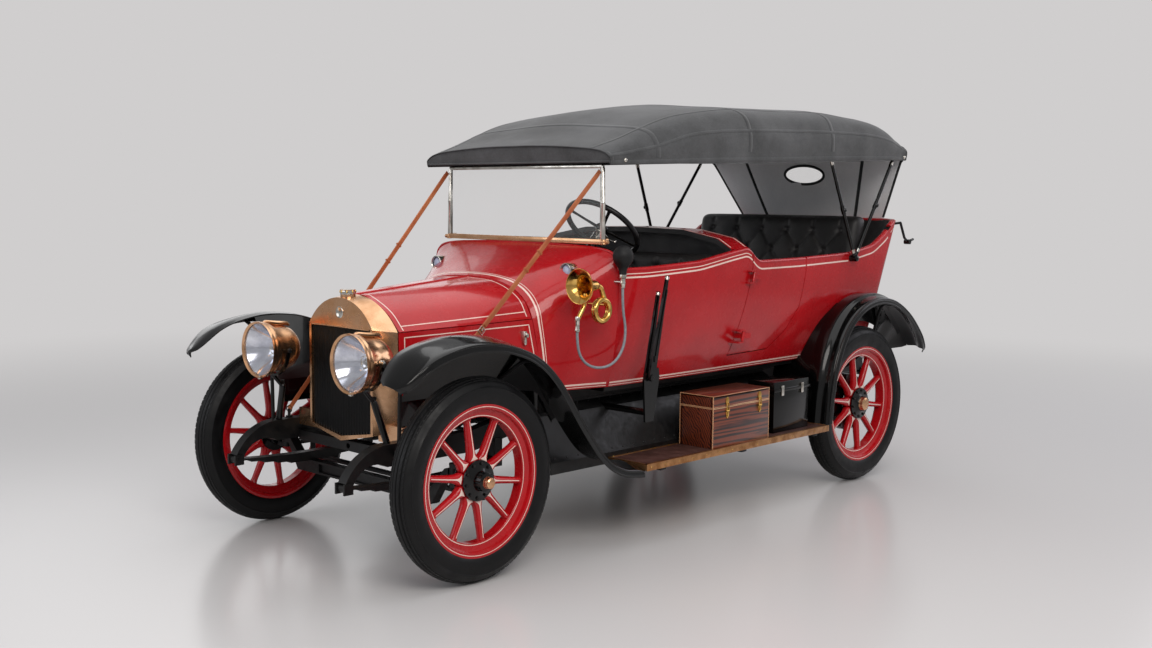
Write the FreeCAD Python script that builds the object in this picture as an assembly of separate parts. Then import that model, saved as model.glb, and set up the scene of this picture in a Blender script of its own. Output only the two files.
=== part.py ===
import FreeCAD, Part
import os
from math import asin, cos, hypot, pi, radians, sin, tan

# Open touring car with a folding hood, standing on its four wheels.
# Millimetres. +X forward, +Y to the car's left, +Z up, origin on the ground
# below the middle of the car. Every station is given as a distance behind the
# front axle, and station() turns it into X.

V = FreeCAD.Vector
UP = V(0, 0, 1)

# Running gear
FRONT_AXLE_X = 1521.5
WHEELBASE = 2785.0
TRACK = 1370.0
TYRE_RADIUS = 410.0
TYRE_WIDTH = 120.0
TYRE_SIDES = 60
HUB_SIDES = 30
TYRE_SEAT_RADIUS = 300.0
TYRE_SEAT_WIDTH = 90.0
RIM_EDGE_RADIUS = 283.0
FELLOE_INNER_RADIUS = 250.0
FELLOE_WIDTH = 46.0
SPOKES = 10
SPOKE_ROOT_WIDTH = 44.0
SPOKE_TIP_WIDTH = 30.0
SPOKE_DEPTH = 40.0
HUB_RADIUS = 52.0
HUB_FLANGE_RADIUS = 82.0
HUB_FLANGE_THICKNESS = 8.0
HUB_INNER_REACH = 60.0
HUB_FACE_REACH = 33.0
FRONT_CAP_RADIUS = 31.0
FRONT_CAP_REACH = 106.0
REAR_CAP_RADIUS = 40.0
REAR_CAP_REACH = 71.0
BRAKE_DRUM_RADIUS = 150.0
BRAKE_DRUM_WIDTH = 40.0
SPINDLE_RADIUS = 20.0
SPINDLE_REACH = 24.0
RUN_GAP = 0.08
SEAT_GAP = 0.3

# Steering
KINGPIN_Y = 575.0
KINGPIN_RADIUS = 11.0
KINGPIN_BOSS_RADIUS = 22.0
KINGPIN_BOSS_HEIGHT = 60.0
KNUCKLE_EAR = 18.0
STEERING_ARM = 150.0
TIE_ROD_Z = 300.0
TIE_ROD_RADIUS = 12.0
TIE_ROD_PIN_RADIUS = 7.0
STEERING_WHEEL_RADIUS = 194.0
STEERING_RIM_RADIUS = 13.0
STEERING_RIM_SIDES = 40
STEERING_WHEEL_BEHIND = 1185.0
STEERING_WHEEL_Y = 300.0
STEERING_WHEEL_Z = 1362.0
COLUMN_RISE_DEG = 46.7
COLUMN_RADIUS = 19.0
COLUMN_LENGTH = 1010.0
STEERING_HUB_DEPTH = 22.0

# Axles and springs
AXLE_BEAM_TOP = 330.0
AXLE_BEAM_DEPTH = 56.0
AXLE_BEAM_WIDTH = 44.0
AXLE_TUBE_RADIUS = 38.0
DIFFERENTIAL_RADIUS = 135.0
SPRING_Y = 380.0
SPRING_WIDTH = 44.0
SPRING_LEAF = 8.0
SPRING_LEAVES = 5
LEAF_STEP = 0.17
FRONT_SPRING_HALF = 405.0
FRONT_SPRING_EYE_Z = 388.0
REAR_SPRING_HALF = 540.0
REAR_SPRING_EYE_Z = 498.0
SPRING_EYE_RADIUS = 16.0

# Chassis
RAIL_Y = 380.0
RAIL_WIDTH = 50.0
RAIL_TOP = 600.0
RAIL_DEPTH = 90.0
RAIL_FRONT_DROP = 66.0
RAIL_END_BEHIND = 3330.0
CRANK_HOLE_RADIUS = 12.0

# Body
BODY_WALL = 26.0
SCUTTLE_WALL = 14.0
BODY_BOTTOM = 665.0
BODY_BELT = 1190.0
BODY_TOP = 1460.0
BODY_TAIL_BEHIND = 3100.0
BODY_TAIL_RAKE = 0.43
BODY_TAIL_CORNER = 200.0
BULKHEAD_BEHIND = 610.0
SCUTTLE_MID_BEHIND = 785.0
SCREEN_BEHIND = 955.0
DASH_BEHIND = 925.0
REAR_PANEL_BEHIND = 2760.0
FLOOR_TOP = 690.0
FLOOR_BOTTOM = 640.0
PANEL_SHEET = 4.0

# Bonnet and radiator
BONNET_FRONT_AHEAD = 45.0
BONNET_SIDE_BOTTOM = 612.0
RADIATOR_FACE_AHEAD = 127.0
RADIATOR_HALF_WIDTH = 215.0
RADIATOR_SHOULDER_Z = 970.0
RADIATOR_TOP_Z = 1092.0
RADIATOR_SIDE_BOTTOM_Z = 530.0
RADIATOR_POINT_Z = 484.0
RADIATOR_SHELL = 14.0
RADIATOR_REAR_HALF_WIDTH = 280.0
RADIATOR_FINS = 22
FILLER_RADIUS = 32.0
FILLER_HEIGHT = 42.0
LEAF_GAP = 1.2
BONNET_HINGE_RADIUS = 5.0

# Doors
DOOR_GAP = 5.0
DOOR_RELIEF = 2.5
DOOR_RELIEF_ANGLES = (8.0, 16.0, 24.0, 32.0)
REAR_DOOR_HINGE_Y = 666.0
FRONT_DOOR_HINGE_Y = 630.0
DOOR_BARREL_RADIUS = 8.0
DOOR_PIN_RADIUS = 4.0
DOOR_BARREL_LENGTH = 46.0
DOOR_EAR = 8.0
DOOR_EAR_CLEAR = 2.5

# Seats
FRONT_SEAT_TOP = 985.0
REAR_SEAT_TOP = 1000.0
CUSHION_THICKNESS = 150.0
SEAT_BACK_THICKNESS = 120.0
DECK_FRONT_BEHIND = 1760.0
DECK_REAR_BEHIND = 1905.0
DECK_THICKNESS = 24.0

# Windscreen and hood
SCREEN_HALF_WIDTH = 508.0
SCREEN_BOTTOM = 1296.0
SCREEN_TOP = 1653.0
SCREEN_POST_RADIUS = 9.0
SCREEN_GLASS = 6.0
HOOD_CLOTH = 8.0
HOOD_IRON_RADIUS = 9.0
HOOD_IRON_TOP_Y = 641.0
HOOD_BOWS = (1180.0, 1830.0, 2543.0, 3196.0)
HOOD_BOW_WIDTH = 34.0
HOOD_BOW_DEPTH = 20.0
HOOD_BOW_LOW = 1700.0
CURTAIN_CLOTH = 6.0
CURTAIN_TOP_BEHIND = 3281.0
CURTAIN_LOW_BEHIND = 3384.0
CURTAIN_LOW_Z = 1368.2
CURTAIN_TOP_HALF = 640.0
CURTAIN_LOW_HALF = 470.0
CURTAIN_WINDOW_RADIUS = 110.0
CURTAIN_WINDOW_Z = 1620.0
HOOD_REST_RADIUS = 7.0
HOOD_REST_LINE = ((3240.0, 520.0, 1335.0), (3352.0, 600.0, 1352.0), (3392.0, 604.0, 1268.0),
                  (3428.0, 604.0, 1244.0), (3486.0, 604.0, 1256.0))
HOOD_BOSS_RADIUS = 17.0
HOOD_PIVOT_BEHIND = 2774.0
HOOD_PIVOT_Z = 1177.0
HOOD_PIVOT_Y = 667.0
STRAP_TOP_BEHIND = 938.0
STRAP_FOOT_AHEAD = 112.0
STRAP_FOOT_Y = 394.0
STRAP_HOOK_HEIGHT = 34.0
STRAP_WIDTH = 22.0
STRAP_THICKNESS = 4.0

# Fenders and boards
CAR_HALF_WIDTH = 800.0
FENDER_SHEET = 5.0
FENDER_INNER_Y = 600.0
FENDER_OUTER_Y = 790.0
FENDER_LIP = 26.0
BOARD_TOP = 355.0
BOARD_THICKNESS = 30.0
BOARD_FRONT_BEHIND = 925.0
BOARD_REAR_BEHIND = 2358.0
BOARD_INNER_Y = 575.0

# Boxes on the running board
TOOL_BOX_FRONT_BEHIND = 1410.0
TOOL_BOX_LENGTH = 440.0
TOOL_BOX_OUTER_Y = CAR_HALF_WIDTH - 15.0
TOOL_BOX_DEPTH = 190.0
TOOL_BOX_HEIGHT = 245.0
TOOL_BOX_WALL = 16.0
LID_HEIGHT = 58.0
LID_HINGE_OUT = 8.0
LID_BARREL_RADIUS = 6.0
LID_BARREL_LENGTH = 44.0
LID_PIN_RADIUS = 3.0
BATTERY_BOX_FRONT_BEHIND = 1950.0
BATTERY_BOX_LENGTH = 300.0

# Lamps and horn
HEADLAMP_AHEAD = 330.0
HEADLAMP_Y = 316.0
HEADLAMP_Z = 859.0
HEADLAMP_RADIUS = 121.0
HEADLAMP_DEPTH = 180.0
LAMP_WALL = 4.0
LAMP_SIDES = 36
YOKE_BACK = 80.0
YOKE_CLEAR = 6.0
YOKE_THICKNESS = 9.0
SIDE_LAMP_BEHIND = 838.0
SIDE_LAMP_Y = 398.0
SIDE_LAMP_Z = 1179.0
SIDE_LAMP_RADIUS = 36.0
HORN_BELL_RADIUS = 77.0
HORN_BULB_RADIUS = 45.0
HORN_SIDES = 24
HORN_Y = 635.0
HORN_BEHIND = 661.0
HORN_Z = 1133.0
HORN_BULB_BEHIND = 942.0
HORN_BULB_Z = 1253.0
HOSE_DIAMETER = 12.0
LEVER_BEHIND = 1034.0
LEVER_Y = 716.0
LEVER_PIVOT_Z = 716.0
LEVER_SHAFT_Z = 560.0
LEVER_SHAFT_RADIUS = 15.0


def station(behind):
    """X of a place that lies this far behind the front axle."""
    return FRONT_AXLE_X - behind


def box(x0, x1, y0, y1, z0, z1):
    return Part.makeBox(abs(x1 - x0), abs(y1 - y0), abs(z1 - z0), V(min(x0, x1), min(y0, y1), min(z0, z1)))


def rod(start, end, radius):
    return Part.makeCylinder(radius, (end - start).Length, start, end - start)


def polygon_face(points):
    return Part.Face(Part.makePolygon(points + [points[0]]))


def side_plate(outline, y0, y1):
    """A plate with an (x, z) outline, from y0 to y1."""
    face = polygon_face([V(x, y0, z) for x, z in outline])
    return face.extrude(V(0, y1 - y0, 0))


def cross_plate(outline, x0, x1):
    """A plate with a (y, z) outline, from x0 to x1."""
    face = polygon_face([V(x0, y, z) for y, z in outline])
    return face.extrude(V(x1 - x0, 0, 0))


def ring(profile, centre, axis=V(0, 1, 0), sides=0):
    """A (radius, along the axis) outline turned about the axis, smooth or with a number of flat sides."""
    if sides:
        turned = faceted_ring(profile, sides)
    else:
        face = polygon_face([V(radius, along, 0) for radius, along in profile])
        turned = face.revolve(V(0, 0, 0), V(0, 1, 0), 360)
    turned.Placement = FreeCAD.Placement(centre, FreeCAD.Rotation(V(0, 1, 0), axis))
    return turned


def faceted_ring(profile, sides):
    """The same turned form with flat sides, for the big rings whose smooth mesh would be heavy."""
    rows = []
    for number in range(sides):
        turn = 2 * pi * number / sides
        rows.append([V(radius * cos(turn), along, radius * sin(turn)) for radius, along in profile])
    faces = []
    for this_row, next_row in zip(rows, rows[1:] + rows[:1]):
        for a, b, c, d in zip(this_row, this_row[1:] + this_row[:1], next_row[1:] + next_row[:1], next_row):
            corners = [a, b]
            corners += [c] if (c - b).Length > 1e-6 else []
            corners += [d] if (d - a).Length > 1e-6 else []
            if len(corners) > 2:
                faces.append(polygon_face(corners))
    solid = Part.Solid(Part.Shell(faces))
    if solid.Volume < 0:
        solid.reverse()
    return solid


def mirrored(shape):
    return shape.mirror(V(0, 0, 0), V(0, 1, 0))


def both_sides(shape):
    return [shape, mirrored(shape)]


def curve(points):
    """One smooth edge through the points."""
    if len(points) == 2:
        return Part.LineSegment(points[0], points[1]).toShape()
    spline = Part.BSplineCurve()
    spline.interpolate(points)
    return spline.toShape()


def offset_points(points, distance):
    """The (u, v) points moved to the right of their path."""
    moved = []
    last = len(points) - 1
    for index, (u, v) in enumerate(points):
        before = points[max(index - 1, 0)]
        after = points[min(index + 1, last)]
        du, dv = after[0] - before[0], after[1] - before[1]
        length = hypot(du, dv)
        moved.append((u + distance * dv / length, v - distance * du / length))
    return moved


def band_wire(x, outer, thickness):
    """A closed strip in the plane at x: the (y, z) curve and its offset."""
    inner = offset_points(outer, thickness)
    top = [V(x, y, z) for y, z in outer]
    low = [V(x, y, z) for y, z in inner]
    return Part.makePolygon(top + low[::-1] + [top[0]])


def loft(wires, ruled=False):
    return Part.makeLoft(wires, True, ruled)


def fused(shapes):
    return shapes[0].multiFuse(shapes[1:])


def save(node, *shapes):
    """Write one STEP file for a node; its solids don't touch."""
    solids = [solid for shape in shapes for solid in shape.Solids]
    whole = solids[0] if len(solids) == 1 else Part.makeCompound(solids)
    whole.exportStep("parts/" + node + ".step")
    print(node, len(solids), "solids", round(whole.Volume / 1e6, 2), "litres", whole.isValid())


# Wheels

def tyre(centre):
    half_seat = TYRE_SEAT_WIDTH / 2
    half = TYRE_WIDTH / 2
    shoulder = TYRE_RADIUS - 18
    profile = [(TYRE_SEAT_RADIUS, -half_seat), (TYRE_SEAT_RADIUS + 45, -half), (shoulder, -half * 0.77),
               (TYRE_RADIUS, 0), (shoulder, half * 0.77), (TYRE_SEAT_RADIUS + 45, half),
               (TYRE_SEAT_RADIUS, half_seat)]
    return ring(profile, centre, sides=TYRE_SIDES)


def spoke(angle):
    """One tapered wooden spoke with chamfered corners, from the hub out to the felloe."""
    def section(z, width, depth):
        corner = width * 0.28
        w, d = width / 2, depth / 2
        points = [(w, d - corner), (w - corner, d), (corner - w, d), (-w, d - corner),
                  (-w, corner - d), (corner - w, -d), (w - corner, -d), (w, corner - d)]
        loop = [V(x, y, z) for x, y in points]
        return Part.makePolygon(loop + [loop[0]])
    arm = loft([section(HUB_RADIUS - 6, SPOKE_ROOT_WIDTH, SPOKE_DEPTH),
                section(FELLOE_INNER_RADIUS + 4, SPOKE_TIP_WIDTH, SPOKE_DEPTH * 0.9)], True)
    arm.rotate(V(0, 0, 0), V(0, 1, 0), angle)
    return arm


def wheel(centre, cap_radius, cap_reach, has_drum):
    """Left-hand wooden wheel: felloe and rim, spokes, hub with its flange and cap."""
    seat = TYRE_SEAT_RADIUS - SEAT_GAP
    half_seat = TYRE_SEAT_WIDTH / 2
    half_felloe = FELLOE_WIDTH / 2
    felloe = ring([(seat, -half_seat), (RIM_EDGE_RADIUS, -half_seat), (FELLOE_INNER_RADIUS, -half_felloe),
                   (FELLOE_INNER_RADIUS, half_felloe), (RIM_EDGE_RADIUS, half_seat), (seat, half_seat)],
                  V(0, 0, 0), sides=TYRE_SIDES)
    bore = SPINDLE_RADIUS + RUN_GAP
    hub = ring([(bore, -HUB_INNER_REACH), (HUB_RADIUS, -HUB_INNER_REACH),
                (HUB_RADIUS, HUB_FACE_REACH - HUB_FLANGE_THICKNESS),
                (HUB_FLANGE_RADIUS, HUB_FACE_REACH - HUB_FLANGE_THICKNESS),
                (HUB_FLANGE_RADIUS, HUB_FACE_REACH),
                (cap_radius * 1.25, HUB_FACE_REACH), (cap_radius, HUB_FACE_REACH + 12),
                (cap_radius, cap_reach - 8), (cap_radius * 0.6, cap_reach), (0, cap_reach),
                (0, SPINDLE_REACH + 6), (bore, SPINDLE_REACH + 6)], V(0, 0, 0), sides=HUB_SIDES)
    spokes = [spoke(index * 360.0 / SPOKES) for index in range(SPOKES)]
    parts = [felloe, hub] + spokes
    if has_drum:
        drum_face = -half_felloe - 8
        parts.append(ring([(bore + 1, drum_face), (BRAKE_DRUM_RADIUS, drum_face),
                           (BRAKE_DRUM_RADIUS, drum_face - BRAKE_DRUM_WIDTH),
                           (bore + 1, drum_face - BRAKE_DRUM_WIDTH)], V(0, 0, 0), sides=HUB_SIDES))
    whole = fused(parts)
    bore_depth = HUB_INNER_REACH + SPINDLE_REACH + 6
    whole = whole.cut(Part.makeCylinder(bore, bore_depth, V(0, -HUB_INNER_REACH, 0),
                                        V(0, 1, 0)))
    whole.translate(centre)
    return whole


def wheels():
    for axle, behind in (("front", 0.0), ("rear", WHEELBASE)):
        centre = V(station(behind), TRACK / 2, TYRE_RADIUS)
        cap_radius, cap_reach = (FRONT_CAP_RADIUS, FRONT_CAP_REACH) if axle == "front" else \
            (REAR_CAP_RADIUS, REAR_CAP_REACH)
        left_tyre = tyre(centre)
        left_wheel = wheel(centre, cap_radius, cap_reach, axle == "rear")
        save("tyre_" + axle + "_left", left_tyre)
        save("tyre_" + axle + "_right", mirrored(left_tyre))
        save("wheel_" + axle + "_left", left_wheel)
        save("wheel_" + axle + "_right", mirrored(left_wheel))


# Axles, springs and steering

def front_axle():
    """Dropped beam with a bored boss for the kingpin at each end."""
    x = FRONT_AXLE_X
    low = AXLE_BEAM_TOP - AXLE_BEAM_DEPTH
    end_top = TYRE_RADIUS + 24
    end_low = TYRE_RADIUS - 24
    neck = KINGPIN_Y - KINGPIN_BOSS_RADIUS + 6
    bend = 70.0
    flat = neck - bend - 30
    outline = [(-neck, end_top), (-neck, end_low), (-neck + 30, end_low), (-flat, low), (flat, low),
               (neck - 30, end_low), (neck, end_low), (neck, end_top), (neck - 20, end_top),
               (flat - 20, AXLE_BEAM_TOP), (20 - flat, AXLE_BEAM_TOP), (20 - neck, end_top)]
    beam = cross_plate(outline, x - AXLE_BEAM_WIDTH / 2, x + AXLE_BEAM_WIDTH / 2)
    web = 16.0
    lip = 9.0
    for face in (-1, 1):
        inner, outer = sorted((x + face * web / 2, x + face * AXLE_BEAM_WIDTH))
        beam = beam.cut(box(inner, outer, -300, 300, low + lip, AXLE_BEAM_TOP - lip))
    half = KINGPIN_BOSS_HEIGHT / 2
    for side in (-1, 1):
        foot = V(x, side * KINGPIN_Y, TYRE_RADIUS - half)
        beam = beam.fuse(Part.makeCylinder(KINGPIN_BOSS_RADIUS, KINGPIN_BOSS_HEIGHT, foot))
        beam = beam.cut(Part.makeCylinder(KINGPIN_RADIUS + RUN_GAP, KINGPIN_BOSS_HEIGHT, foot))
    return beam.removeSplitter()


def knuckle():
    """Left knuckle: kingpin in two ears, spindle for the wheel and steering arm."""
    x, y = FRONT_AXLE_X, KINGPIN_Y
    half = KINGPIN_BOSS_HEIGHT / 2
    low = TYRE_RADIUS - half - SEAT_GAP - KNUCKLE_EAR
    high = TYRE_RADIUS + half + SEAT_GAP
    post_in, post_out = y + KINGPIN_BOSS_RADIUS + 4, y + KINGPIN_BOSS_RADIUS + 22
    pieces = [box(x - 20, x + 20, post_in, post_out, low, high + KNUCKLE_EAR),
              Part.makeCylinder(KINGPIN_RADIUS, high + KNUCKLE_EAR - low, V(x, y, low))]
    for z in (low, high):
        pieces.append(Part.makeCylinder(KINGPIN_BOSS_RADIUS, KNUCKLE_EAR, V(x, y, z)))
        pieces.append(box(x - 20, x + 20, y, post_in + 2, z, z + KNUCKLE_EAR))
    wheel_y = TRACK / 2
    collar_out = wheel_y - HUB_INNER_REACH - SEAT_GAP
    pieces.append(rod(V(x, post_in + 2, TYRE_RADIUS), V(x, collar_out, TYRE_RADIUS), SPINDLE_RADIUS + 12))
    spindle_end = V(x, wheel_y + SPINDLE_REACH, TYRE_RADIUS)
    pieces.append(rod(V(x, post_in + 2, TYRE_RADIUS), spindle_end, SPINDLE_RADIUS))
    arm_x = x - STEERING_ARM
    pieces.append(box(arm_x, x - 4, y - 9, y + 9, low, low + KNUCKLE_EAR))
    pieces.append(Part.makeCylinder(13, low + KNUCKLE_EAR - TIE_ROD_Z - 14, V(arm_x, y, TIE_ROD_Z + 14)))
    pieces.append(Part.makeCylinder(TIE_ROD_PIN_RADIUS, 30, V(arm_x, y, TIE_ROD_Z - 14)))
    return fused(pieces)


def tie_rod():
    x = FRONT_AXLE_X - STEERING_ARM
    pieces = [rod(V(x, -KINGPIN_Y, TIE_ROD_Z), V(x, KINGPIN_Y, TIE_ROD_Z), TIE_ROD_RADIUS)]
    eye_low = TIE_ROD_Z - 13
    for side in (-1, 1):
        pieces.append(Part.makeCylinder(TIE_ROD_PIN_RADIUS + 10, 26, V(x, side * KINGPIN_Y, eye_low)))
    bar = fused(pieces)
    for side in (-1, 1):
        low_end = V(x, side * KINGPIN_Y, eye_low - 10)
        bar = bar.cut(Part.makeCylinder(TIE_ROD_PIN_RADIUS + RUN_GAP, 60, low_end))
    return bar


def rear_axle():
    """Tubes, differential case and the spindles for the rear wheels."""
    x, z = station(WHEELBASE), TYRE_RADIUS
    tube_end = TRACK / 2 - HUB_INNER_REACH - SEAT_GAP
    drum_in = FELLOE_WIDTH / 2 + 8 + BRAKE_DRUM_WIDTH
    tube_end = min(tube_end, TRACK / 2 - drum_in - SEAT_GAP)
    case = ring([(0, -95), (AXLE_TUBE_RADIUS + 10, -95), (DIFFERENTIAL_RADIUS, -38),
                 (DIFFERENTIAL_RADIUS, 38), (AXLE_TUBE_RADIUS + 10, 95), (0, 95)], V(x, 0, z), sides=HUB_SIDES)
    tube = rod(V(x, -tube_end, z), V(x, tube_end, z), AXLE_TUBE_RADIUS)
    spindle_end = TRACK / 2 + SPINDLE_REACH
    spindle = rod(V(x, -spindle_end, z), V(x, spindle_end, z), SPINDLE_RADIUS)
    pads = []
    for side in (-1, 1):
        y = side * SPRING_Y
        pads.append(box(x - 45, x + 45, y - 30, y + 30, z, z + AXLE_TUBE_RADIUS + 8))
    return fused([case, tube, spindle] + pads)


def leaf_spring(centre_x, seat_z, half_length, eye_z):
    """Semi-elliptic spring: leaves that shorten downwards, with an eye at each end."""
    top = seat_z + SPRING_LEAVES * SPRING_LEAF
    rise = eye_z - top
    bow = (half_length ** 2 + rise ** 2) / (2 * rise)
    y0 = SPRING_Y - SPRING_WIDTH / 2

    def on_leaf(turn, depth):
        radius = bow + depth
        return V(centre_x + radius * sin(turn), y0, top + bow - radius * cos(turn))

    def arc(first, last, depth):
        middle = (first + last) / 2
        return Part.Arc(on_leaf(first, depth), on_leaf(middle, depth), on_leaf(last, depth)).toShape()

    ends = [asin(half_length * (1 - LEAF_STEP * number) / bow) for number in range(SPRING_LEAVES)]
    edges = [arc(-ends[0], ends[0], 0), arc(-ends[-1], ends[-1], SPRING_LEAVES * SPRING_LEAF)]
    for side in (-1, 1):
        for number, turn in enumerate(ends):
            low = (number + 1) * SPRING_LEAF
            edges.append(Part.makeLine(on_leaf(side * turn, low - SPRING_LEAF), on_leaf(side * turn, low)))
            if number + 1 < SPRING_LEAVES:
                edges.append(arc(side * turn, side * ends[number + 1], low))
    leaves = Part.Face(Part.Wire(Part.__sortEdges__(edges))).extrude(V(0, SPRING_WIDTH, 0))
    eyes = [rod(V(centre_x + end * half_length, y0, eye_z - 4),
                V(centre_x + end * half_length, y0 + SPRING_WIDTH, eye_z - 4), SPRING_EYE_RADIUS)
            for end in (-1, 1)]
    return fused([leaves] + eyes)


def leaf_springs():
    front = leaf_spring(FRONT_AXLE_X, AXLE_BEAM_TOP + SEAT_GAP, FRONT_SPRING_HALF, FRONT_SPRING_EYE_Z)
    rear = leaf_spring(station(WHEELBASE), TYRE_RADIUS + AXLE_TUBE_RADIUS + 8 + SEAT_GAP, REAR_SPRING_HALF,
                       REAR_SPRING_EYE_Z)
    return both_sides(front) + both_sides(rear)


def chassis_frame():
    """Two side rails with dumb irons, joined by cross members, with spring hangers."""
    front_top = RAIL_TOP - RAIL_FRONT_DROP
    eye_x = FRONT_AXLE_X + FRONT_SPRING_HALF
    eye_z = FRONT_SPRING_EYE_Z - 4
    hanger = SPRING_EYE_RADIUS + 6
    y0, y1 = RAIL_Y - RAIL_WIDTH / 2, RAIL_Y + RAIL_WIDTH / 2
    end_x = station(RAIL_END_BEHIND)
    rise_front, rise_back = station(250), station(620)
    top = [V(end_x, y0, RAIL_TOP), V(rise_back, y0, RAIL_TOP), V(rise_front, y0, front_top),
           V(FRONT_AXLE_X + 205, y0, front_top)]
    nose_top = [V(FRONT_AXLE_X + 205, y0, front_top), V(FRONT_AXLE_X + 350, y0, front_top - 52),
                V(eye_x + hanger, y0, eye_z)]
    nose_low = [V(eye_x - hanger, y0, eye_z), V(FRONT_AXLE_X + 318, y0, front_top - 82),
                V(FRONT_AXLE_X + 205, y0, front_top - RAIL_DEPTH)]
    low = [V(FRONT_AXLE_X + 205, y0, front_top - RAIL_DEPTH), V(rise_front, y0, front_top - RAIL_DEPTH),
           V(rise_back, y0, RAIL_TOP - RAIL_DEPTH), V(end_x, y0, RAIL_TOP - RAIL_DEPTH)]
    edges = [Part.makePolygon(top).Edges, [Part.Arc(*nose_top).toShape()],
             [Part.makeLine(nose_top[-1], nose_low[0])], [Part.Arc(*nose_low).toShape()],
             Part.makePolygon(low).Edges, [Part.makeLine(low[-1], top[0])]]
    outline = Part.Wire([edge for group in edges for edge in group])
    rail = Part.Face(outline).extrude(V(0, y1 - y0, 0))
    rear_low = RAIL_TOP - RAIL_DEPTH
    for x, z, cheek_top in ((eye_x, eye_z, eye_z + hanger),
                            (station(FRONT_SPRING_HALF), FRONT_SPRING_EYE_Z - 4, front_top - RAIL_DEPTH + 40),
                            (station(WHEELBASE - REAR_SPRING_HALF), REAR_SPRING_EYE_Z - 4, rear_low + 14),
                            (station(WHEELBASE + REAR_SPRING_HALF), REAR_SPRING_EYE_Z - 4, rear_low + 14)):
        gap = SPRING_WIDTH / 2 + SEAT_GAP
        cheek = 9.0
        for y in (RAIL_Y - gap - cheek, RAIL_Y + gap):
            rail = rail.fuse(box(x - hanger, x + hanger, y, y + cheek, z - hanger, cheek_top))
        slot = box(x - hanger - 2, x + hanger + 2, RAIL_Y - gap, RAIL_Y + gap, z - hanger - 2, z + hanger)
        rail = rail.cut(slot)
        rail = rail.fuse(rod(V(x, RAIL_Y - gap - cheek - 4, z), V(x, RAIL_Y - gap, z), 8))
    members = []
    for behind, top_z, depth in ((-60.0, RADIATOR_POINT_Z - 6, 44.0), (1290.0, RAIL_TOP - 8, 42.0),
                                 (1700.0, RAIL_TOP - 10, 60.0), (2300.0, RAIL_TOP - 10, 60.0),
                                 (3280.0, RAIL_TOP - 10, 60.0)):
        x = station(behind)
        members.append(box(x - 28, x + 28, -y0, y0, top_z - depth, top_z))
    crank_z = RADIATOR_POINT_Z - 6 - 22
    crank_hole = rod(V(station(-20), 0, crank_z), V(station(-100), 0, crank_z), CRANK_HOLE_RADIUS)
    members[0] = members[0].cut(crank_hole)
    save("side_rails", *both_sides(rail))
    save("cross_members", *members)


def engine_block():
    """The engine as a plain block on two pairs of arms that reach the rails."""
    reach = RAIL_Y - RAIL_WIDTH / 2 - SEAT_GAP
    arms = [box(station(behind), station(behind + 40), -reach, reach, 505, 530)
            for behind in (110.0, 500.0)]
    return fused([box(station(70), station(560), -130, 130, 500, 900)] + arms)


def driveline():
    """Gearbox and the enclosed shaft back to the differential, with the exhaust beside it."""
    shaft_front = V(station(1180), 0, 500)
    shaft_back = V(station(WHEELBASE) + DIFFERENTIAL_RADIUS + 2, 0, TYRE_RADIUS + 8)
    gearbox = fused([box(station(760), station(1180), -95, 95, 430, 600),
                     rod(V(station(560 + SEAT_GAP), 0, 540), V(station(765), 0, 540), 60),
                     rod(shaft_front + V(10, 0, 0), shaft_back, 34)])
    return [gearbox]


# Body

BODY_MID = (BODY_BOTTOM + BODY_BELT) / 2

# Rows of (behind, half width at the bottom, half way up, at the belt and at the top)
SIDE_SECTIONS = (
    (SCREEN_BEHIND, 545.0, 592.0, 602.0, 600.0),
    (1250.0, 560.0, 622.0, 638.0, 636.0),
    (2000.0, 565.0, 632.0, 642.0, 637.0),
    (2650.0, 560.0, 629.0, 641.0, 632.0),
    (3460.0, 545.0, 606.0, 622.0, 606.0),
)

# Half outlines (y, z) of the scuttle, from its lower edge over the shoulder to the centre line
SCUTTLE_FRONT_SIDE = ((470.0, BODY_BOTTOM), (447.0, 830.0), (415.0, 965.0))
SCUTTLE_FRONT_ARCH = ((415.0, 965.0), (380.0, 1040.0), (318.0, 1096.0), (200.0, 1138.0), (0.0, 1153.0))
SCUTTLE_MID_SIDE = ((500.0, BODY_BOTTOM), (502.0, 860.0), (492.0, 1050.0))
SCUTTLE_MID_ARCH = ((492.0, 1050.0), (470.0, 1128.0), (400.0, 1180.0), (230.0, 1212.0), (0.0, 1220.0))
SCUTTLE_REAR_SIDE = ((545.0, BODY_BOTTOM), (592.0, BODY_MID), (602.0, BODY_BELT))
SCUTTLE_REAR_ARCH = ((602.0, BODY_BELT), (580.0, 1248.0), (505.0, 1279.0), (260.0, 1293.0), (0.0, 1297.0))


def side_section(x, bottom_half, mid_half, belt_half, top_half, inset, floor_z):
    """Closed outline across the body: bowed sides, flat top and bottom."""
    right_low = V(x, inset - bottom_half, floor_z)
    right_belt = V(x, inset - belt_half, BODY_BELT)
    right_top = V(x, inset - top_half, BODY_TOP)
    left_low, left_belt, left_top = [V(x, -p.y, p.z) for p in (right_low, right_belt, right_top)]
    edges = [Part.Arc(left_low, V(x, mid_half - inset, BODY_MID), left_belt).toShape(),
             Part.makeLine(left_belt, left_top), Part.makeLine(left_top, right_top),
             Part.makeLine(right_top, right_belt),
             Part.Arc(right_belt, V(x, inset - mid_half, BODY_MID), right_low).toShape(),
             Part.makeLine(right_low, left_low)]
    return Part.Wire(edges)


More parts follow.
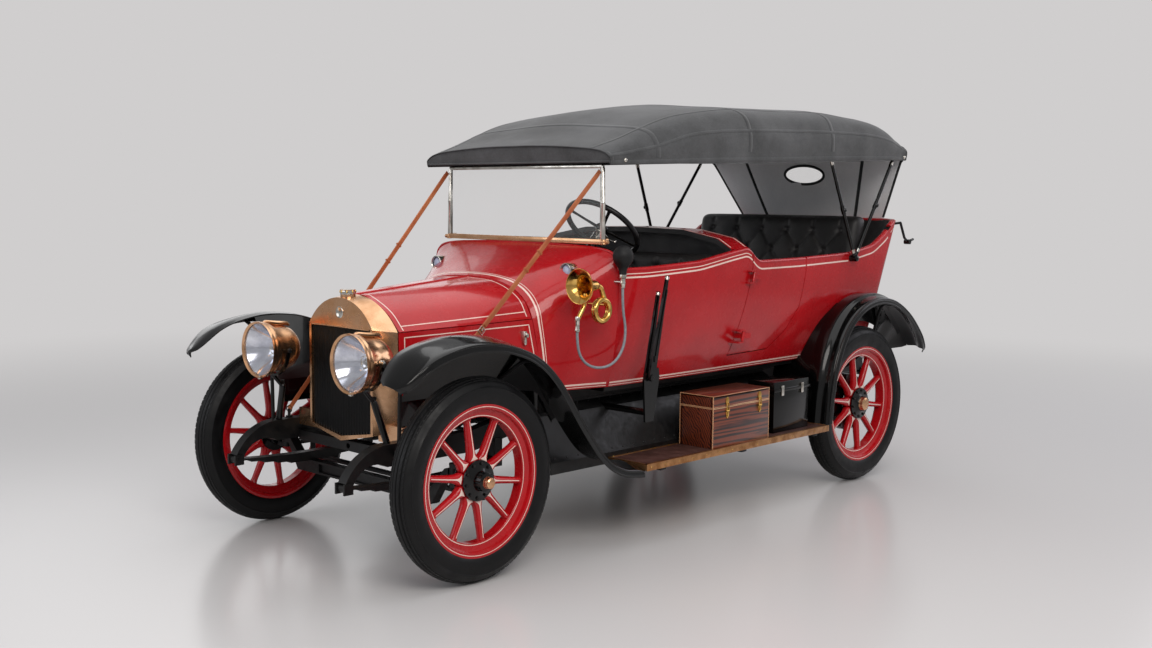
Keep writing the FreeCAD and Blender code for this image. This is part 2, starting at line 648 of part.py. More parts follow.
def tail_plan(z, inset):
    """Plan outline with rounded rear corners, wider than the body everywhere else."""
    rear = station(BODY_TAIL_BEHIND + (z - BODY_BOTTOM) * BODY_TAIL_RAKE) + inset
    half = 620.0 - inset
    corner = BODY_TAIL_CORNER - inset / 2
    crown = 12.0
    front = station(SCREEN_BEHIND - 200)
    flare = 60.0
    left_end = V(rear + corner + flare, half + 34, z)
    mid_corner = V(rear + corner * 0.29 + crown, half - corner * 0.29, z)
    points = [V(rear + crown, half - corner, z), mid_corner, left_end]
    right = [V(p.x, -p.y, p.z) for p in points]
    front_left, front_right = V(front, half + 160, z), V(front, -half - 160, z)
    edges = [Part.Arc(points[0], points[1], points[2]).toShape(), Part.makeLine(left_end, front_left),
             Part.makeLine(front_left, front_right), Part.makeLine(front_right, right[2]),
             Part.Arc(right[2], right[1], right[0]).toShape(),
             Part.Arc(right[0], V(rear, 0, z), points[0]).toShape()]
    return Part.Wire(edges)


def body_form(inset, floor_z):
    """Solid of the body behind the windscreen, drawn in by inset on its sides and tail."""
    sections = [side_section(station(row[0]), *row[1:], inset, floor_z) for row in SIDE_SECTIONS]
    length_form = loft(sections)
    tail_form = loft([tail_plan(floor_z - 1, inset), tail_plan(BODY_TOP + 1, inset)], True)
    return length_form.common(tail_form)


def scuttle_form(inset, floor_z):
    wires = []
    for behind, side, arch in ((BULKHEAD_BEHIND, SCUTTLE_FRONT_SIDE, SCUTTLE_FRONT_ARCH),
                               (SCUTTLE_MID_BEHIND, SCUTTLE_MID_SIDE, SCUTTLE_MID_ARCH),
                               (SCREEN_BEHIND, SCUTTLE_REAR_SIDE, SCUTTLE_REAR_ARCH)):
        x = station(behind)
        low, mid, shoulder = side
        left_side = [(low[0] - inset, floor_z), (mid[0] - inset, mid[1])]
        left_side.append((shoulder[0] - inset, shoulder[1]))
        narrow = 1 - inset / shoulder[0]
        lower = inset / (arch[-1][1] - shoulder[1])
        over = [left_side[2]] + [(y * narrow, z - lower * (z - shoulder[1])) for y, z in arch[1:]]
        left = [V(x, y, z) for y, z in left_side]
        right = [V(x, -y, z) for y, z in left_side]
        roof = [V(x, y, z) for y, z in over] + [V(x, -y, z) for y, z in over[-2::-1]]
        edges = [Part.Arc(*left).toShape(), curve(roof), Part.Arc(*right[::-1]).toShape(),
                 Part.makeLine(right[0], left[0])]
        wires.append(Part.Wire(edges))
    return loft(wires)


RIM_LINE = ((SCREEN_BEHIND, 1190.0), (1120.0, 1190.0), (1480.0, 1206.0), (1740.0, 1243.0), (1865.0, 1258.0))
RIM_DROP = ((1865.0, 1258.0), (1905.0, 1225.0), (1945.0, 1190.0))
RIM_REAR = ((1945.0, 1190.0), (2300.0, 1190.0), (2770.0, 1201.0), (3000.0, 1235.0), (3140.0, 1300.0),
            (3225.0, 1366.0))
RIM_TAIL_Z = 1371.0


def above_rim():
    """Everything above the top edge of the body sides, as a solid across the car."""
    y = -CAR_HALF_WIDTH
    def edge(points):
        return curve([V(station(behind), y, z) for behind, z in points])
    tail = V(station(3700), y, RIM_TAIL_Z)
    rise_end = V(station(RIM_REAR[-1][0]), y, RIM_REAR[-1][1])
    roof_back = V(station(3700), y, BODY_TOP + 200)
    roof_front = V(station(SCREEN_BEHIND), y, BODY_TOP + 200)
    start = V(station(RIM_LINE[0][0]), y, RIM_LINE[0][1])
    roof = Part.makePolygon([rise_end, tail, roof_back, roof_front, start])
    edges = [edge(RIM_LINE), edge(RIM_DROP), edge(RIM_REAR)] + roof.Edges
    return Part.Face(Part.Wire(edges)).extrude(V(0, 2 * CAR_HALF_WIDTH, 0))


REAR_DOOR = ((1900.0, 1330.0), (1894.0, 1170.0), (1770.0, 738.0), (2100.0, 744.0), (2225.0, 830.0),
             (2318.0, 945.0), (2362.0, 1130.0), (2366.0, 1330.0))
FRONT_DOOR = ((1015.0, 1330.0), (1015.0, 760.0), (1035.0, 738.0), (1420.0, 738.0), (1470.0, 780.0),
              (1500.0, 1330.0))
REAR_HINGE = ((1876.0, 1120.0), (1795.0, 838.0), REAR_DOOR_HINGE_Y)
FRONT_HINGE = ((1009.0, 1120.0), (1009.0, 838.0), FRONT_DOOR_HINGE_Y)


def door_prism(outline, side, shrink):
    """The door's outline through the left or right wall; shrink pulls its edges in."""
    points = [V(station(behind), 0, z) for behind, z in outline]
    wire = Part.makePolygon(points + [points[0]])
    if shrink:
        wire = wire.makeOffset2D(-shrink)
    face = Part.Face(wire)
    reach = (CAR_HALF_WIDTH - 300) * side
    prism = face.extrude(V(0, reach, 0))
    prism.translate(V(0, 300 * side, 0))
    return prism


def hinge_axis(hinge, side):
    """Lower and upper end of the line that a door's two hinges share."""
    high, low, y = hinge
    return V(station(low[0]), side * y, low[1]), V(station(high[0]), side * y, high[1])


def hinge_barrels(hinge, side):
    low, high = hinge_axis(hinge, side)
    along = (high - low).normalize()
    half = along * (DOOR_BARREL_LENGTH / 2)
    return [(middle - half, middle + half, along) for middle in (low, high)]


def door(walls, cabin, outer, outline, hinge, side):
    """A door cut from the wall, with straps out to its two hinge barrels."""
    panel = walls.common(door_prism(outline, side, DOOR_GAP))
    low, high = hinge_axis(hinge, side)
    sill = walls.cut(door_prism(outline, side, 0))
    sill = sill.common(box(low.x - 420, low.x + 80, -900, 900, 0, low.z - 60))
    for angle in DOOR_RELIEF_ANGLES:
        passed = sill.rotated(low, high - low, side * angle)
        passed.translate(V(0, 0, DOOR_RELIEF))
        panel = panel.cut(passed)
    jamb = outer.cut(door_prism(outline, side, 0))
    pieces = [panel]
    for start, end, along in hinge_barrels(hinge, side):
        pieces.append(rod(start, end, DOOR_BARREL_RADIUS))
        middle = (start + end) * 0.5
        strap = box(middle.x - 60, middle.x, side * (hinge[2] - 62), side * (hinge[2] + 3), middle.z - 12,
                    middle.z + 12)
        pieces.append(strap.cut(cabin).cut(jamb))
    whole = fused(pieces)
    for start, end, along in hinge_barrels(hinge, side):
        whole = whole.cut(rod(start - along * 5, end + along * 5, DOOR_PIN_RADIUS + RUN_GAP))
    return whole


def hinge_ears(hinge, side, outer):
    """Pins for a door's barrels, on ears that stand on the body side."""
    ears = []
    for start, end, along in hinge_barrels(hinge, side):
        past = along * (DOOR_EAR + DOOR_EAR_CLEAR)
        pin = rod(start - past, end + past, DOOR_PIN_RADIUS)
        pieces = [pin]
        for foot, way in ((start, -1), (end, 1)):
            centre = foot + along * (way * (DOOR_EAR / 2 + DOOR_EAR_CLEAR))
            pieces.append(box(centre.x - 7, centre.x + 34, side * (hinge[2] - 60), side * (hinge[2] + 6),
                              centre.z - DOOR_EAR / 2 + 1, centre.z + DOOR_EAR / 2 - 1))
        ears.append(fused(pieces).cut(outer))
    return ears


def body():
    """Scuttle, side walls and tail, with the doors cut out of the sides."""
    outer = body_form(0.0, BODY_BOTTOM)
    inner = body_form(BODY_WALL, BODY_BOTTOM - 30)
    walls = outer.cut(inner).cut(above_rim())
    ahead = box(station(SCREEN_BEHIND), station(SCREEN_BEHIND) + 500, -900, 900, 0, 2000)
    walls = walls.cut(ahead)
    behind_split = box(station(REAR_PANEL_BEHIND), station(4000), -900, 900, 0, 2000)
    tail = walls.common(behind_split)
    sides = walls.cut(behind_split)
    left = sides.common(box(station(4000), station(0), 100, 900, 0, 2000))
    right = sides.common(box(station(4000), station(0), -900, -100, 0, 2000))
    left_wall = left.cut(door_prism(REAR_DOOR, 1, 0))
    right_wall = right.cut(door_prism(REAR_DOOR, -1, 0)).cut(door_prism(FRONT_DOOR, -1, 0))
    hinge_seat = body_form(-SEAT_GAP, BODY_BOTTOM)
    ears = [hinge_ears(REAR_HINGE, 1, hinge_seat), hinge_ears(REAR_HINGE, -1, hinge_seat),
            hinge_ears(FRONT_HINGE, -1, hinge_seat)]
    save("body_sides", left_wall, right_wall)
    save("body_tail", tail)
    save("door_hinges", *[ear for group in ears for ear in group])
    save("door_rear_left", door(left, inner, hinge_seat, REAR_DOOR, REAR_HINGE, 1))
    save("door_rear_right", door(right, inner, hinge_seat, REAR_DOOR, REAR_HINGE, -1))
    save("door_front_right", door(right, inner, hinge_seat, FRONT_DOOR, FRONT_HINGE, -1))
    scuttle = scuttle_form(0.0, BODY_BOTTOM).cut(scuttle_form(SCUTTLE_WALL, BODY_BOTTOM - 30))
    bulkhead = box(station(BULKHEAD_BEHIND), station(BULKHEAD_BEHIND + 20), -900, 900, 0, 2000)
    bulkhead = bulkhead.common(scuttle_form(0.0, BODY_BOTTOM))
    hub, down = steering_line()[:2]
    passage = rod(hub + down * COLUMN_LENGTH, hub + down * 200, COLUMN_RADIUS + SEAT_GAP)
    save("scuttle", fused([scuttle, bulkhead]).cut(passage).cut(steering_box(SEAT_GAP)))
    dash_space = scuttle_form(SCUTTLE_WALL + 1.0, BODY_BOTTOM)
    board = dash_space.common(box(station(DASH_BEHIND), station(DASH_BEHIND + 14), -700, 700, 1010, 1500))
    save("dashboard", board.cut(passage))
    cavity = body_form(BODY_WALL + SEAT_GAP, FLOOR_BOTTOM)
    save("floor", floor(cavity).cut(passage).cut(steering_box(SEAT_GAP)))
    divider(cavity)
    seats(cavity)
    return outer


def floor(cavity):
    """Floor boards between the walls, the sills under them and the two seat boxes."""
    boards = cavity.common(box(station(3300), station(SCREEN_BEHIND), -900, 900, FLOOR_BOTTOM, FLOOR_TOP))
    front_x = station(BULKHEAD_BEHIND + 20 + SEAT_GAP)
    toe_board = box(front_x, station(SCREEN_BEHIND), -440, 440, FLOOR_BOTTOM, FLOOR_TOP)
    sills = [box(station(3050), front_x, side * (RAIL_Y - 22), side * (RAIL_Y + 22),
                 RAIL_TOP + SEAT_GAP, FLOOR_BOTTOM + 2) for side in (-1, 1)]
    front_box = cavity.common(box(station(1290), station(1740), -560, 560, FLOOR_TOP - 2,
                                  FRONT_SEAT_TOP - CUSHION_THICKNESS))
    rear_box = cavity.common(box(station(2560), station(3080), -560, 560, FLOOR_TOP - 2,
                                 REAR_SEAT_TOP - CUSHION_THICKNESS))
    return fused([boards, toe_board, front_box, rear_box] + sills)


DECK_LINE = ((-613.0, 1255.0), (-530.0, 1303.0), (-320.0, 1342.0), (0.0, 1350.0), (320.0, 1342.0),
             (530.0, 1303.0), (613.0, 1255.0))


def divider(cavity):
    """Panel behind the front seat, with the crowned deck over it."""
    face = band_wire(station(DECK_REAR_BEHIND), DECK_LINE, DECK_THICKNESS)
    deck = Part.Face(face).extrude(V(DECK_REAR_BEHIND - DECK_FRONT_BEHIND, 0, 0))
    low = [(y, FLOOR_TOP + SEAT_GAP) for y in (-580.0, 580.0)]
    top = [(y, z - DECK_THICKNESS / 2) for y, z in DECK_LINE]
    x = station(DECK_REAR_BEHIND)
    foot = [V(x, *top[-1]), V(x, *low[1]), V(x, *low[0]), V(x, *top[0])]
    wire = Part.Wire([curve([V(x, y, z) for y, z in top]), Part.makePolygon(foot)])
    panel = Part.Face(wire).extrude(V(18, 0, 0))
    whole = fused([deck, panel]).common(cavity)
    save("front_seat_deck", whole)


def cushion(x0, x1, half_width, z0, z1, corner):
    block = box(x0, x1, -half_width, half_width, z0, z1)
    upright = [edge for edge in block.Edges if abs(edge.Vertexes[0].Point.x - edge.Vertexes[1].Point.x) < 1
               and abs(edge.Vertexes[0].Point.y - edge.Vertexes[1].Point.y) < 1]
    return block.makeFillet(corner, upright)


def seat_back(x_low, z_low, lean, height, half_width):
    """A back cushion that leans back by lean over its height."""
    outline = [(x_low, z_low), (x_low - SEAT_BACK_THICKNESS, z_low),
               (x_low - SEAT_BACK_THICKNESS - lean, z_low + height), (x_low - lean, z_low + height)]
    return side_plate(outline, -half_width, half_width)


def seats(cavity):
    front_z = FRONT_SEAT_TOP - CUSHION_THICKNESS + SEAT_GAP
    rear_z = REAR_SEAT_TOP - CUSHION_THICKNESS + SEAT_GAP
    front = cushion(station(1265), station(1740), 560, front_z, FRONT_SEAT_TOP, 30)
    rear = cushion(station(2520), station(3010), 560, rear_z, REAR_SEAT_TOP, 30)
    save("seat_cushions", front, rear)
    front_back = seat_back(station(1640), FRONT_SEAT_TOP + SEAT_GAP, 20, 250, 560)
    rear_back = seat_back(station(2920), REAR_SEAT_TOP + SEAT_GAP, 100, 400, 540)
    save("seat_backs", front_back, rear_back.common(cavity))


# Bonnet and radiator

BONNET_SIDE_FRONT = ((288.0, 958.0), (291.0, 800.0), (286.0, BONNET_SIDE_BOTTOM))
BONNET_SIDE_REAR = ((407.0, 980.0), (447.0, 830.0), (470.0, BONNET_SIDE_BOTTOM))
LEAF_FRONT = ((0.0, 1100.0), (72.0, 1097.0), (203.0, 1039.0), (288.0, 963.0))
LEAF_REAR = ((0.0, 1149.0), (200.0, 1134.0), (341.0, 1075.0), (405.0, 985.0))


def leaf_points(row):
    """The leaf's outline with its first point moved clear of the centre hinge."""
    return [(BONNET_HINGE_RADIUS + SEAT_GAP, row[0][1] - SEAT_GAP)] + list(row[1:])


def bonnet_leaf():
    """Left top leaf of the bonnet, from the centre hinge out to the shoulder."""
    front = station(-BONNET_FRONT_AHEAD + LEAF_GAP)
    back = station(BULKHEAD_BEHIND - LEAF_GAP)
    return loft([band_wire(front, leaf_points(LEAF_FRONT), PANEL_SHEET),
                 band_wire(back, leaf_points(LEAF_REAR), PANEL_SHEET)])


def bonnet_side():
    """Fixed left side panel under the leaf."""
    front = station(-BONNET_FRONT_AHEAD + SEAT_GAP)
    back = station(BULKHEAD_BEHIND - SEAT_GAP)
    return loft([band_wire(front, BONNET_SIDE_FRONT, PANEL_SHEET),
                 band_wire(back, BONNET_SIDE_REAR, PANEL_SHEET)])


def bonnet():
    leaf = bonnet_leaf()
    end_gap = SEAT_GAP + 0.4
    hinge = rod(V(station(-BONNET_FRONT_AHEAD + end_gap), 0, LEAF_FRONT[0][1]),
                V(station(BULKHEAD_BEHIND - end_gap), 0, LEAF_REAR[0][1]), BONNET_HINGE_RADIUS)
    save("bonnet_leaf_left", leaf)
    save("bonnet_leaf_right", mirrored(leaf))
    save("bonnet_sides", *both_sides(bonnet_side()), hinge)


def radiator_outline(x, half_width, shoulder_z, top_z, side_bottom_z, point_z):
    """Front view of the radiator: arched top, straight sides and a shallow point below."""
    shoulder = V(x, half_width, shoulder_z)
    other = V(x, -half_width, shoulder_z)
    foot = V(x, half_width, side_bottom_z)
    point = V(x, 0, point_z)
    other_foot = V(x, -half_width, side_bottom_z)
    return Part.Wire([Part.Arc(shoulder, V(x, 0, top_z), other).toShape(),
                      Part.makeLine(other, other_foot), Part.makeLine(other_foot, point),
                      Part.makeLine(point, foot), Part.makeLine(foot, shoulder)])


def radiator():
    """Shell with header tank and filler, and the finned core inside it."""
    face_x = FRONT_AXLE_X + RADIATOR_FACE_AHEAD
    back_x = FRONT_AXLE_X + BONNET_FRONT_AHEAD
    front = radiator_outline(face_x, RADIATOR_HALF_WIDTH, RADIATOR_SHOULDER_Z, RADIATOR_TOP_Z,
                             RADIATOR_SIDE_BOTTOM_Z, RADIATOR_POINT_Z)
    rear = radiator_outline(back_x, RADIATOR_REAR_HALF_WIDTH, RADIATOR_SHOULDER_Z - 10,
                            LEAF_FRONT[0][1] + 2,
                            RADIATOR_SIDE_BOTTOM_Z + 20, RADIATOR_POINT_Z + 40)
    shell = loft([rear, front], True)
    core_half = RADIATOR_HALF_WIDTH - RADIATOR_SHELL
    window = [V(face_x, core_half, RADIATOR_SHOULDER_Z), V(face_x, -core_half, RADIATOR_SHOULDER_Z),
              V(face_x, -core_half, RADIATOR_SIDE_BOTTOM_Z + 8), V(face_x, 0, RADIATOR_POINT_Z + 20),
              V(face_x, core_half, RADIATOR_SIDE_BOTTOM_Z + 8)]
    opening = polygon_face([p + V(5, 0, 0) for p in window]).extrude(V(-200, 0, 0))
    shell = shell.cut(opening)
    filler_x = back_x + FILLER_RADIUS + 6
    neck_z = RADIATOR_TOP_Z - 6
    filler = Part.makeCylinder(FILLER_RADIUS * 0.7, 20, V(filler_x, 0, neck_z - 10))
    cap = Part.makeCylinder(FILLER_RADIUS, FILLER_HEIGHT - 12, V(filler_x, 0, neck_z + 8))
    rail_face = RAIL_Y - RAIL_WIDTH / 2 - SEAT_GAP
    lugs = [box(back_x + 14, back_x + 40, side * core_half, side * rail_face, RADIATOR_SIDE_BOTTOM_Z - 26,
                RADIATOR_SIDE_BOTTOM_Z + 50) for side in (-1, 1)]
    shell = fused([shell, filler, cap] + lugs)
    core_window = [(p.y - (SEAT_GAP if p.y > 0 else -SEAT_GAP if p.y < 0 else 0),
                    p.z + (SEAT_GAP if p.z < 900 else -SEAT_GAP)) for p in window]
    core = cross_plate(core_window, back_x + 4, face_x - 10)
    pitch = 2 * core_half / RADIATOR_FINS
    for number in range(RADIATOR_FINS):
        y = -core_half + pitch * (number + 0.5)
        core = core.cut(box(face_x - 14, face_x, y - pitch * 0.3, y + pitch * 0.3, RADIATOR_POINT_Z, 975))
    save("radiator_shell", shell)
    save("radiator_core", core)


# Fenders and boards

# Rows of (behind, z, slope in degrees) down each fender's crown line
FRONT_FENDER = ((-450.0, 828.0, 52.0), (-320.0, 931.0, 28.0), (-150.0, 976.0, 7.0), (0.0, 979.0, -4.0),
                (150.0, 952.0, -17.0), (290.0, 892.0, -31.0), (420.0, 778.0, -50.0), (560.0, 590.0, -54.0),
                (690.0, 440.0, -40.0), (800.0, 376.0, -20.0),
                (BOARD_FRONT_BEHIND - SEAT_GAP, BOARD_TOP - 1, 0.0))
REAR_FENDER = ((2350.0, BOARD_TOP + SEAT_GAP, 90.0), (2372.0, 520.0, 80.0), (2420.0, 690.0, 68.0),
               (2520.0, 850.0, 48.0), (2660.0, 952.0, 25.0), (2830.0, 992.0, 3.0), (3000.0, 972.0, -17.0),
               (3160.0, 894.0, -34.0), (3290.0, 782.0, -46.0), (3375.0, 672.0, -56.0))


def fender(rows, inner_y, droop):
    """A curved strip that follows the wheel, crowned across and turned down at its outer edge."""
    wires = []
    for behind, z, slope in rows:
        normal = V(sin(radians(slope)), 0, cos(radians(slope)))
        origin = V(station(behind), 0, z)
        across = [(inner_y, -4.0), (inner_y + 60, 0.0), (FENDER_OUTER_Y - 50, -droop * 0.55),
                  (FENDER_OUTER_Y - 8, -droop), (FENDER_OUTER_Y, -droop - FENDER_LIP)]
        top = [origin + normal * rise + V(0, y, 0) for y, rise in across]
        low = [origin + normal * rise + V(0, y, 0) for y, rise in offset_points(across, FENDER_SHEET)]
        wires.append(Part.makePolygon(top + low[::-1] + [top[0]]))
    return loft(wires)


def fenders():
    front = fender(FRONT_FENDER, FENDER_INNER_Y, 26.0)
    rear = fender(REAR_FENDER, FENDER_INNER_Y + 48, 26.0)
    save("front_fenders", *both_sides(front))
    save("rear_fenders", *both_sides(rear))


def boards():
    front = station(BOARD_FRONT_BEHIND)
    rear = station(BOARD_REAR_BEHIND)
    board = box(front, rear, BOARD_INNER_Y, CAR_HALF_WIDTH, BOARD_TOP - BOARD_THICKNESS, BOARD_TOP)
    save("running_boards", *both_sides(board))
    sheet = FENDER_SHEET
    outline = [(BOARD_INNER_Y - SEAT_GAP - sheet, BOARD_TOP - BOARD_THICKNESS),
               (BOARD_INNER_Y - SEAT_GAP, BOARD_TOP - BOARD_THICKNESS),
               (BOARD_INNER_Y - SEAT_GAP, BOARD_TOP + 20),
               (470.0, 560.0), (RAIL_Y + RAIL_WIDTH / 2 + SEAT_GAP + sheet, 590.0),
               (RAIL_Y + RAIL_WIDTH / 2 + SEAT_GAP, 590.0), (470.0 - sheet, 556.0),
               (BOARD_INNER_Y - SEAT_GAP - sheet, BOARD_TOP + 18)]
    apron = cross_plate(outline, station(560), station(2340))
    lever_x = station(LEVER_BEHIND)
    shaft_hole = rod(V(lever_x, 380, LEVER_SHAFT_Z), V(lever_x, 620, LEVER_SHAFT_Z),
                     LEVER_SHAFT_RADIUS + SEAT_GAP)
    save("splash_aprons", apron.cut(shaft_hole), mirrored(apron))


def boxes():
    """Wooden tool box with a hinged lid, and the plain battery box behind it."""
    front = station(TOOL_BOX_FRONT_BEHIND)
    rear = front - TOOL_BOX_LENGTH
    y1 = TOOL_BOX_OUTER_Y
    y0 = y1 - TOOL_BOX_DEPTH
    z0 = BOARD_TOP + SEAT_GAP
    split = BOARD_TOP + TOOL_BOX_HEIGHT - LID_HEIGHT
    top = BOARD_TOP + TOOL_BOX_HEIGHT
    wall = TOOL_BOX_WALL
    tub = box(front, rear, y0, y1, z0, split)
    tub = tub.cut(box(front - wall, rear + wall, y0 + wall, y1 - wall, z0 + wall, split + 5))
    lid = box(front, rear, y0, y1, split + SEAT_GAP, top)
    lid = lid.cut(box(front - wall, rear + wall, y0 + wall, y1 - wall, split - 5, top - wall))
    pin_y = y0 - LID_HINGE_OUT
    tub_parts, lid_parts = [tub], [lid]
    for x in (front - TOOL_BOX_LENGTH * 0.22, front - TOOL_BOX_LENGTH * 0.78):
        half = LID_BARREL_LENGTH / 2
        tub_parts.append(rod(V(x - half - 9, pin_y, split), V(x + half + 9, pin_y, split), LID_PIN_RADIUS))
        for inner, outer in ((x - half - 9, x - half - 1), (x + half + 1, x + half + 9)):
            tub_parts.append(rod(V(inner, pin_y, split), V(outer, pin_y, split), LID_BARREL_RADIUS))
            tub_parts.append(box(inner, outer, pin_y - LID_BARREL_RADIUS, y0 + 1, split - 22, split))
        lid_parts.append(rod(V(x - half, pin_y, split), V(x + half, pin_y, split), LID_BARREL_RADIUS))
        leaf_top = split + LID_BARREL_RADIUS
        lid_parts.append(box(x - half, x + half, pin_y, y0 + 1, split + SEAT_GAP, leaf_top))
    lid = fused(lid_parts)
    lid = lid.cut(rod(V(rear, pin_y, split), V(front, pin_y, split), LID_PIN_RADIUS + RUN_GAP))
    save("tool_box", fused(tub_parts))
    save("tool_box_lid", lid)
    front = station(BATTERY_BOX_FRONT_BEHIND)
    y0, y1 = TOOL_BOX_OUTER_Y - 195, TOOL_BOX_OUTER_Y - 40
    case = box(front, front - BATTERY_BOX_LENGTH, y0, y1, BOARD_TOP + SEAT_GAP, BOARD_TOP + 250)
    rim = box(front + 6, front - BATTERY_BOX_LENGTH - 6, y0 - 6, y1 + 6, BOARD_TOP + 200, BOARD_TOP + 216)
    save("battery_box", fused([case, rim]))


# Windscreen, hood and their irons

def windscreen():
    x = station(SCREEN_BEHIND) - 2
    w = SCREEN_HALF_WIDTH
    r = SCREEN_POST_RADIUS
    posts = [rod(V(x, side * w, SCREEN_BOTTOM + SEAT_GAP), V(x, side * (w - 8), SCREEN_TOP), r)
             for side in (-1, 1)]
    rails = [box(x - 10, x + 10, -w, w, SCREEN_BOTTOM + SEAT_GAP + 1, SCREEN_BOTTOM + 26),
             box(x - 8, x + 8, -w, w, SCREEN_TOP - 18, SCREEN_TOP)]
    frame = fused(posts + rails)
    half_glass = SCREEN_GLASS / 2
    glass = box(x - half_glass, x + half_glass, -w + r + 8, w - r - 8, SCREEN_BOTTOM + 26 + SEAT_GAP,
                SCREEN_TOP - 18 - SEAT_GAP)
    save("windscreen_frame", frame)
    save("windscreen_glass", glass)


# Rows of (behind, half width, lower edge z, side top z, shoulder z, centre z)
HOOD_SECTIONS = (
    (893.0, 600.0, 1655.0, 1690.0, 1722.0, 1745.0),
    (1150.0, 635.0, 1656.0, 1730.0, 1805.0, 1842.0),
    (1480.0, 655.0, 1658.0, 1800.0, 1895.0, 1945.0),
    (2050.0, 662.0, 1668.0, 1825.0, 1925.0, 1975.0),
    (2700.0, 668.0, 1684.0, 1828.0, 1925.0, 1972.0),
    (3050.0, 668.0, 1692.0, 1810.0, 1890.0, 1925.0),
    (3290.0, 655.0, 1698.0, 1752.0, 1786.0, 1806.0))


def hood_line(row):
    """Outer outline of the hood across the car, as (y, z) points from right to left."""
    half, low, side_top, shoulder, crown = row[1:]
    right = [(-half, low), (-half + 3, side_top), (-half + 90, shoulder)]
    right.append((-half * 0.4, (shoulder + crown) / 2 + 8))
    return right + [(0.0, crown)] + [(-y, z) for y, z in right[::-1]]


def hood_cloth():
    """Cloth roof with its turned-down sides, as one curved sheet."""
    return loft([band_wire(station(row[0]), hood_line(row), HOOD_CLOTH) for row in HOOD_SECTIONS])


def hood_form(inset):
    """The room under the hood, inset from its outside and reaching well below its edges."""
    floor_z = HOOD_SECTIONS[0][2] - 350
    wires = []
    for row in HOOD_SECTIONS:
        x = station(row[0])
        line = [V(x, y, z) for y, z in offset_points(hood_line(row), inset)]
        right, left = V(x, line[0].y, floor_z), V(x, line[-1].y, floor_z)
        wires.append(Part.makePolygon(line + [left, right, line[0]]))
    return loft(wires)


def hood():
    """Cloth, rear curtain, and the bows with the folding irons that carry them."""
    save("hood_cloth", hood_cloth())
    room = hood_form(HOOD_CLOTH + SEAT_GAP)
    bow_inside = hood_form(HOOD_CLOTH + SEAT_GAP + HOOD_BOW_DEPTH)
    top_x, low_x = station(CURTAIN_TOP_BEHIND), station(CURTAIN_LOW_BEHIND)
    low_z = CURTAIN_LOW_Z
    bend_z = HOOD_SECTIONS[-1][2]
    t = CURTAIN_CLOTH
    sheet = side_plate([(top_x, 1850), (top_x, bend_z), (low_x, low_z), (low_x - t, low_z),
                        (top_x - t, bend_z), (top_x - t, 1850)], -700, 700)
    upper = sheet.common(box(top_x - 2 * t, top_x + 2 * t, -700, 700, bend_z + 20, 1850)).common(room)
    shape = cross_plate([(-CURTAIN_LOW_HALF, low_z - 5), (CURTAIN_LOW_HALF, low_z - 5),
                         (CURTAIN_TOP_HALF, bend_z + 25), (-CURTAIN_TOP_HALF, bend_z + 25)],
                        top_x + 20, low_x - 40)
    lower = sheet.common(shape).cut(box(top_x - 2 * t, top_x + 2 * t, -700, 700, bend_z + 20, 1850))
    window = Part.makeCylinder(CURTAIN_WINDOW_RADIUS, 200, V(low_x - 50, 0, CURTAIN_WINDOW_Z), V(1, 0, 0))
    save("hood_curtain", fused([upper, lower]).cut(window))
    bows = []
    for behind in HOOD_BOWS:
        x = station(behind)
        slab = box(x - HOOD_BOW_WIDTH / 2, x + HOOD_BOW_WIDTH / 2, -700, 700, HOOD_BOW_LOW, 2000)
        bows.append(room.common(slab).cut(bow_inside))
    save("hood_bows", *bows[:-2])
    pivot = V(station(HOOD_PIVOT_BEHIND), HOOD_PIVOT_Y, HOOD_PIVOT_Z)
    legs = [rod(pivot, V(station(behind), HOOD_IRON_TOP_Y, HOOD_BOW_LOW + 30), HOOD_IRON_RADIUS)
            for behind in HOOD_BOWS[-2:]]
    boss = rod(pivot - V(0, 60, 0), pivot + V(0, 10, 0), HOOD_BOSS_RADIUS)
    boss = boss.cut(body_form(-SEAT_GAP, BODY_BOTTOM))
    save("hood_irons", fused(both_sides(fused([*legs, boss])) + bows[-2:]))


def hood_rests():
    """Irons at the rear corners that the folded hood lies on, each with a forked swivel."""
    line = [V(station(behind), y, z) for behind, y, z in HOOD_REST_LINE]
    rest = fused([rod(a, b, HOOD_REST_RADIUS) for a, b in zip(line, line[1:])]
                 + [Part.makeSphere(HOOD_REST_RADIUS, point) for point in line[1:]])
    hub = line[-2]
    swivel = rod(hub - V(0, 16, 0), hub + V(0, 16, 0), HOOD_REST_RADIUS * 2)
    return fused([rest, swivel]).cut(body_form(-SEAT_GAP, BODY_BOTTOM))


def bar(start, end, width, thickness):
    """A flat strap from start to end, lying nearly upright in the car's length."""
    block = Part.makeBox((end - start).Length, thickness, width, V(0, -thickness / 2, -width / 2))
    block.Placement = FreeCAD.Placement(start, FreeCAD.Rotation(V(1, 0, 0), end - start))
    return block


def hood_straps():
    """Leather strap that holds the hood forward, from the screen post to a hook on the rail."""
    top = V(station(STRAP_TOP_BEHIND), SCREEN_HALF_WIDTH - 8, SCREEN_TOP - 30)
    rail_top = RAIL_TOP - RAIL_FRONT_DROP + SEAT_GAP
    hook = V(station(-STRAP_FOOT_AHEAD), STRAP_FOOT_Y, rail_top + STRAP_HOOK_HEIGHT)
    strap = bar(top, hook, STRAP_WIDTH, STRAP_THICKNESS)
    stud = Part.makeCylinder(7, STRAP_HOOK_HEIGHT + 12, V(hook.x, hook.y, rail_top))
    return fused([strap, stud])


# Lamps and horn

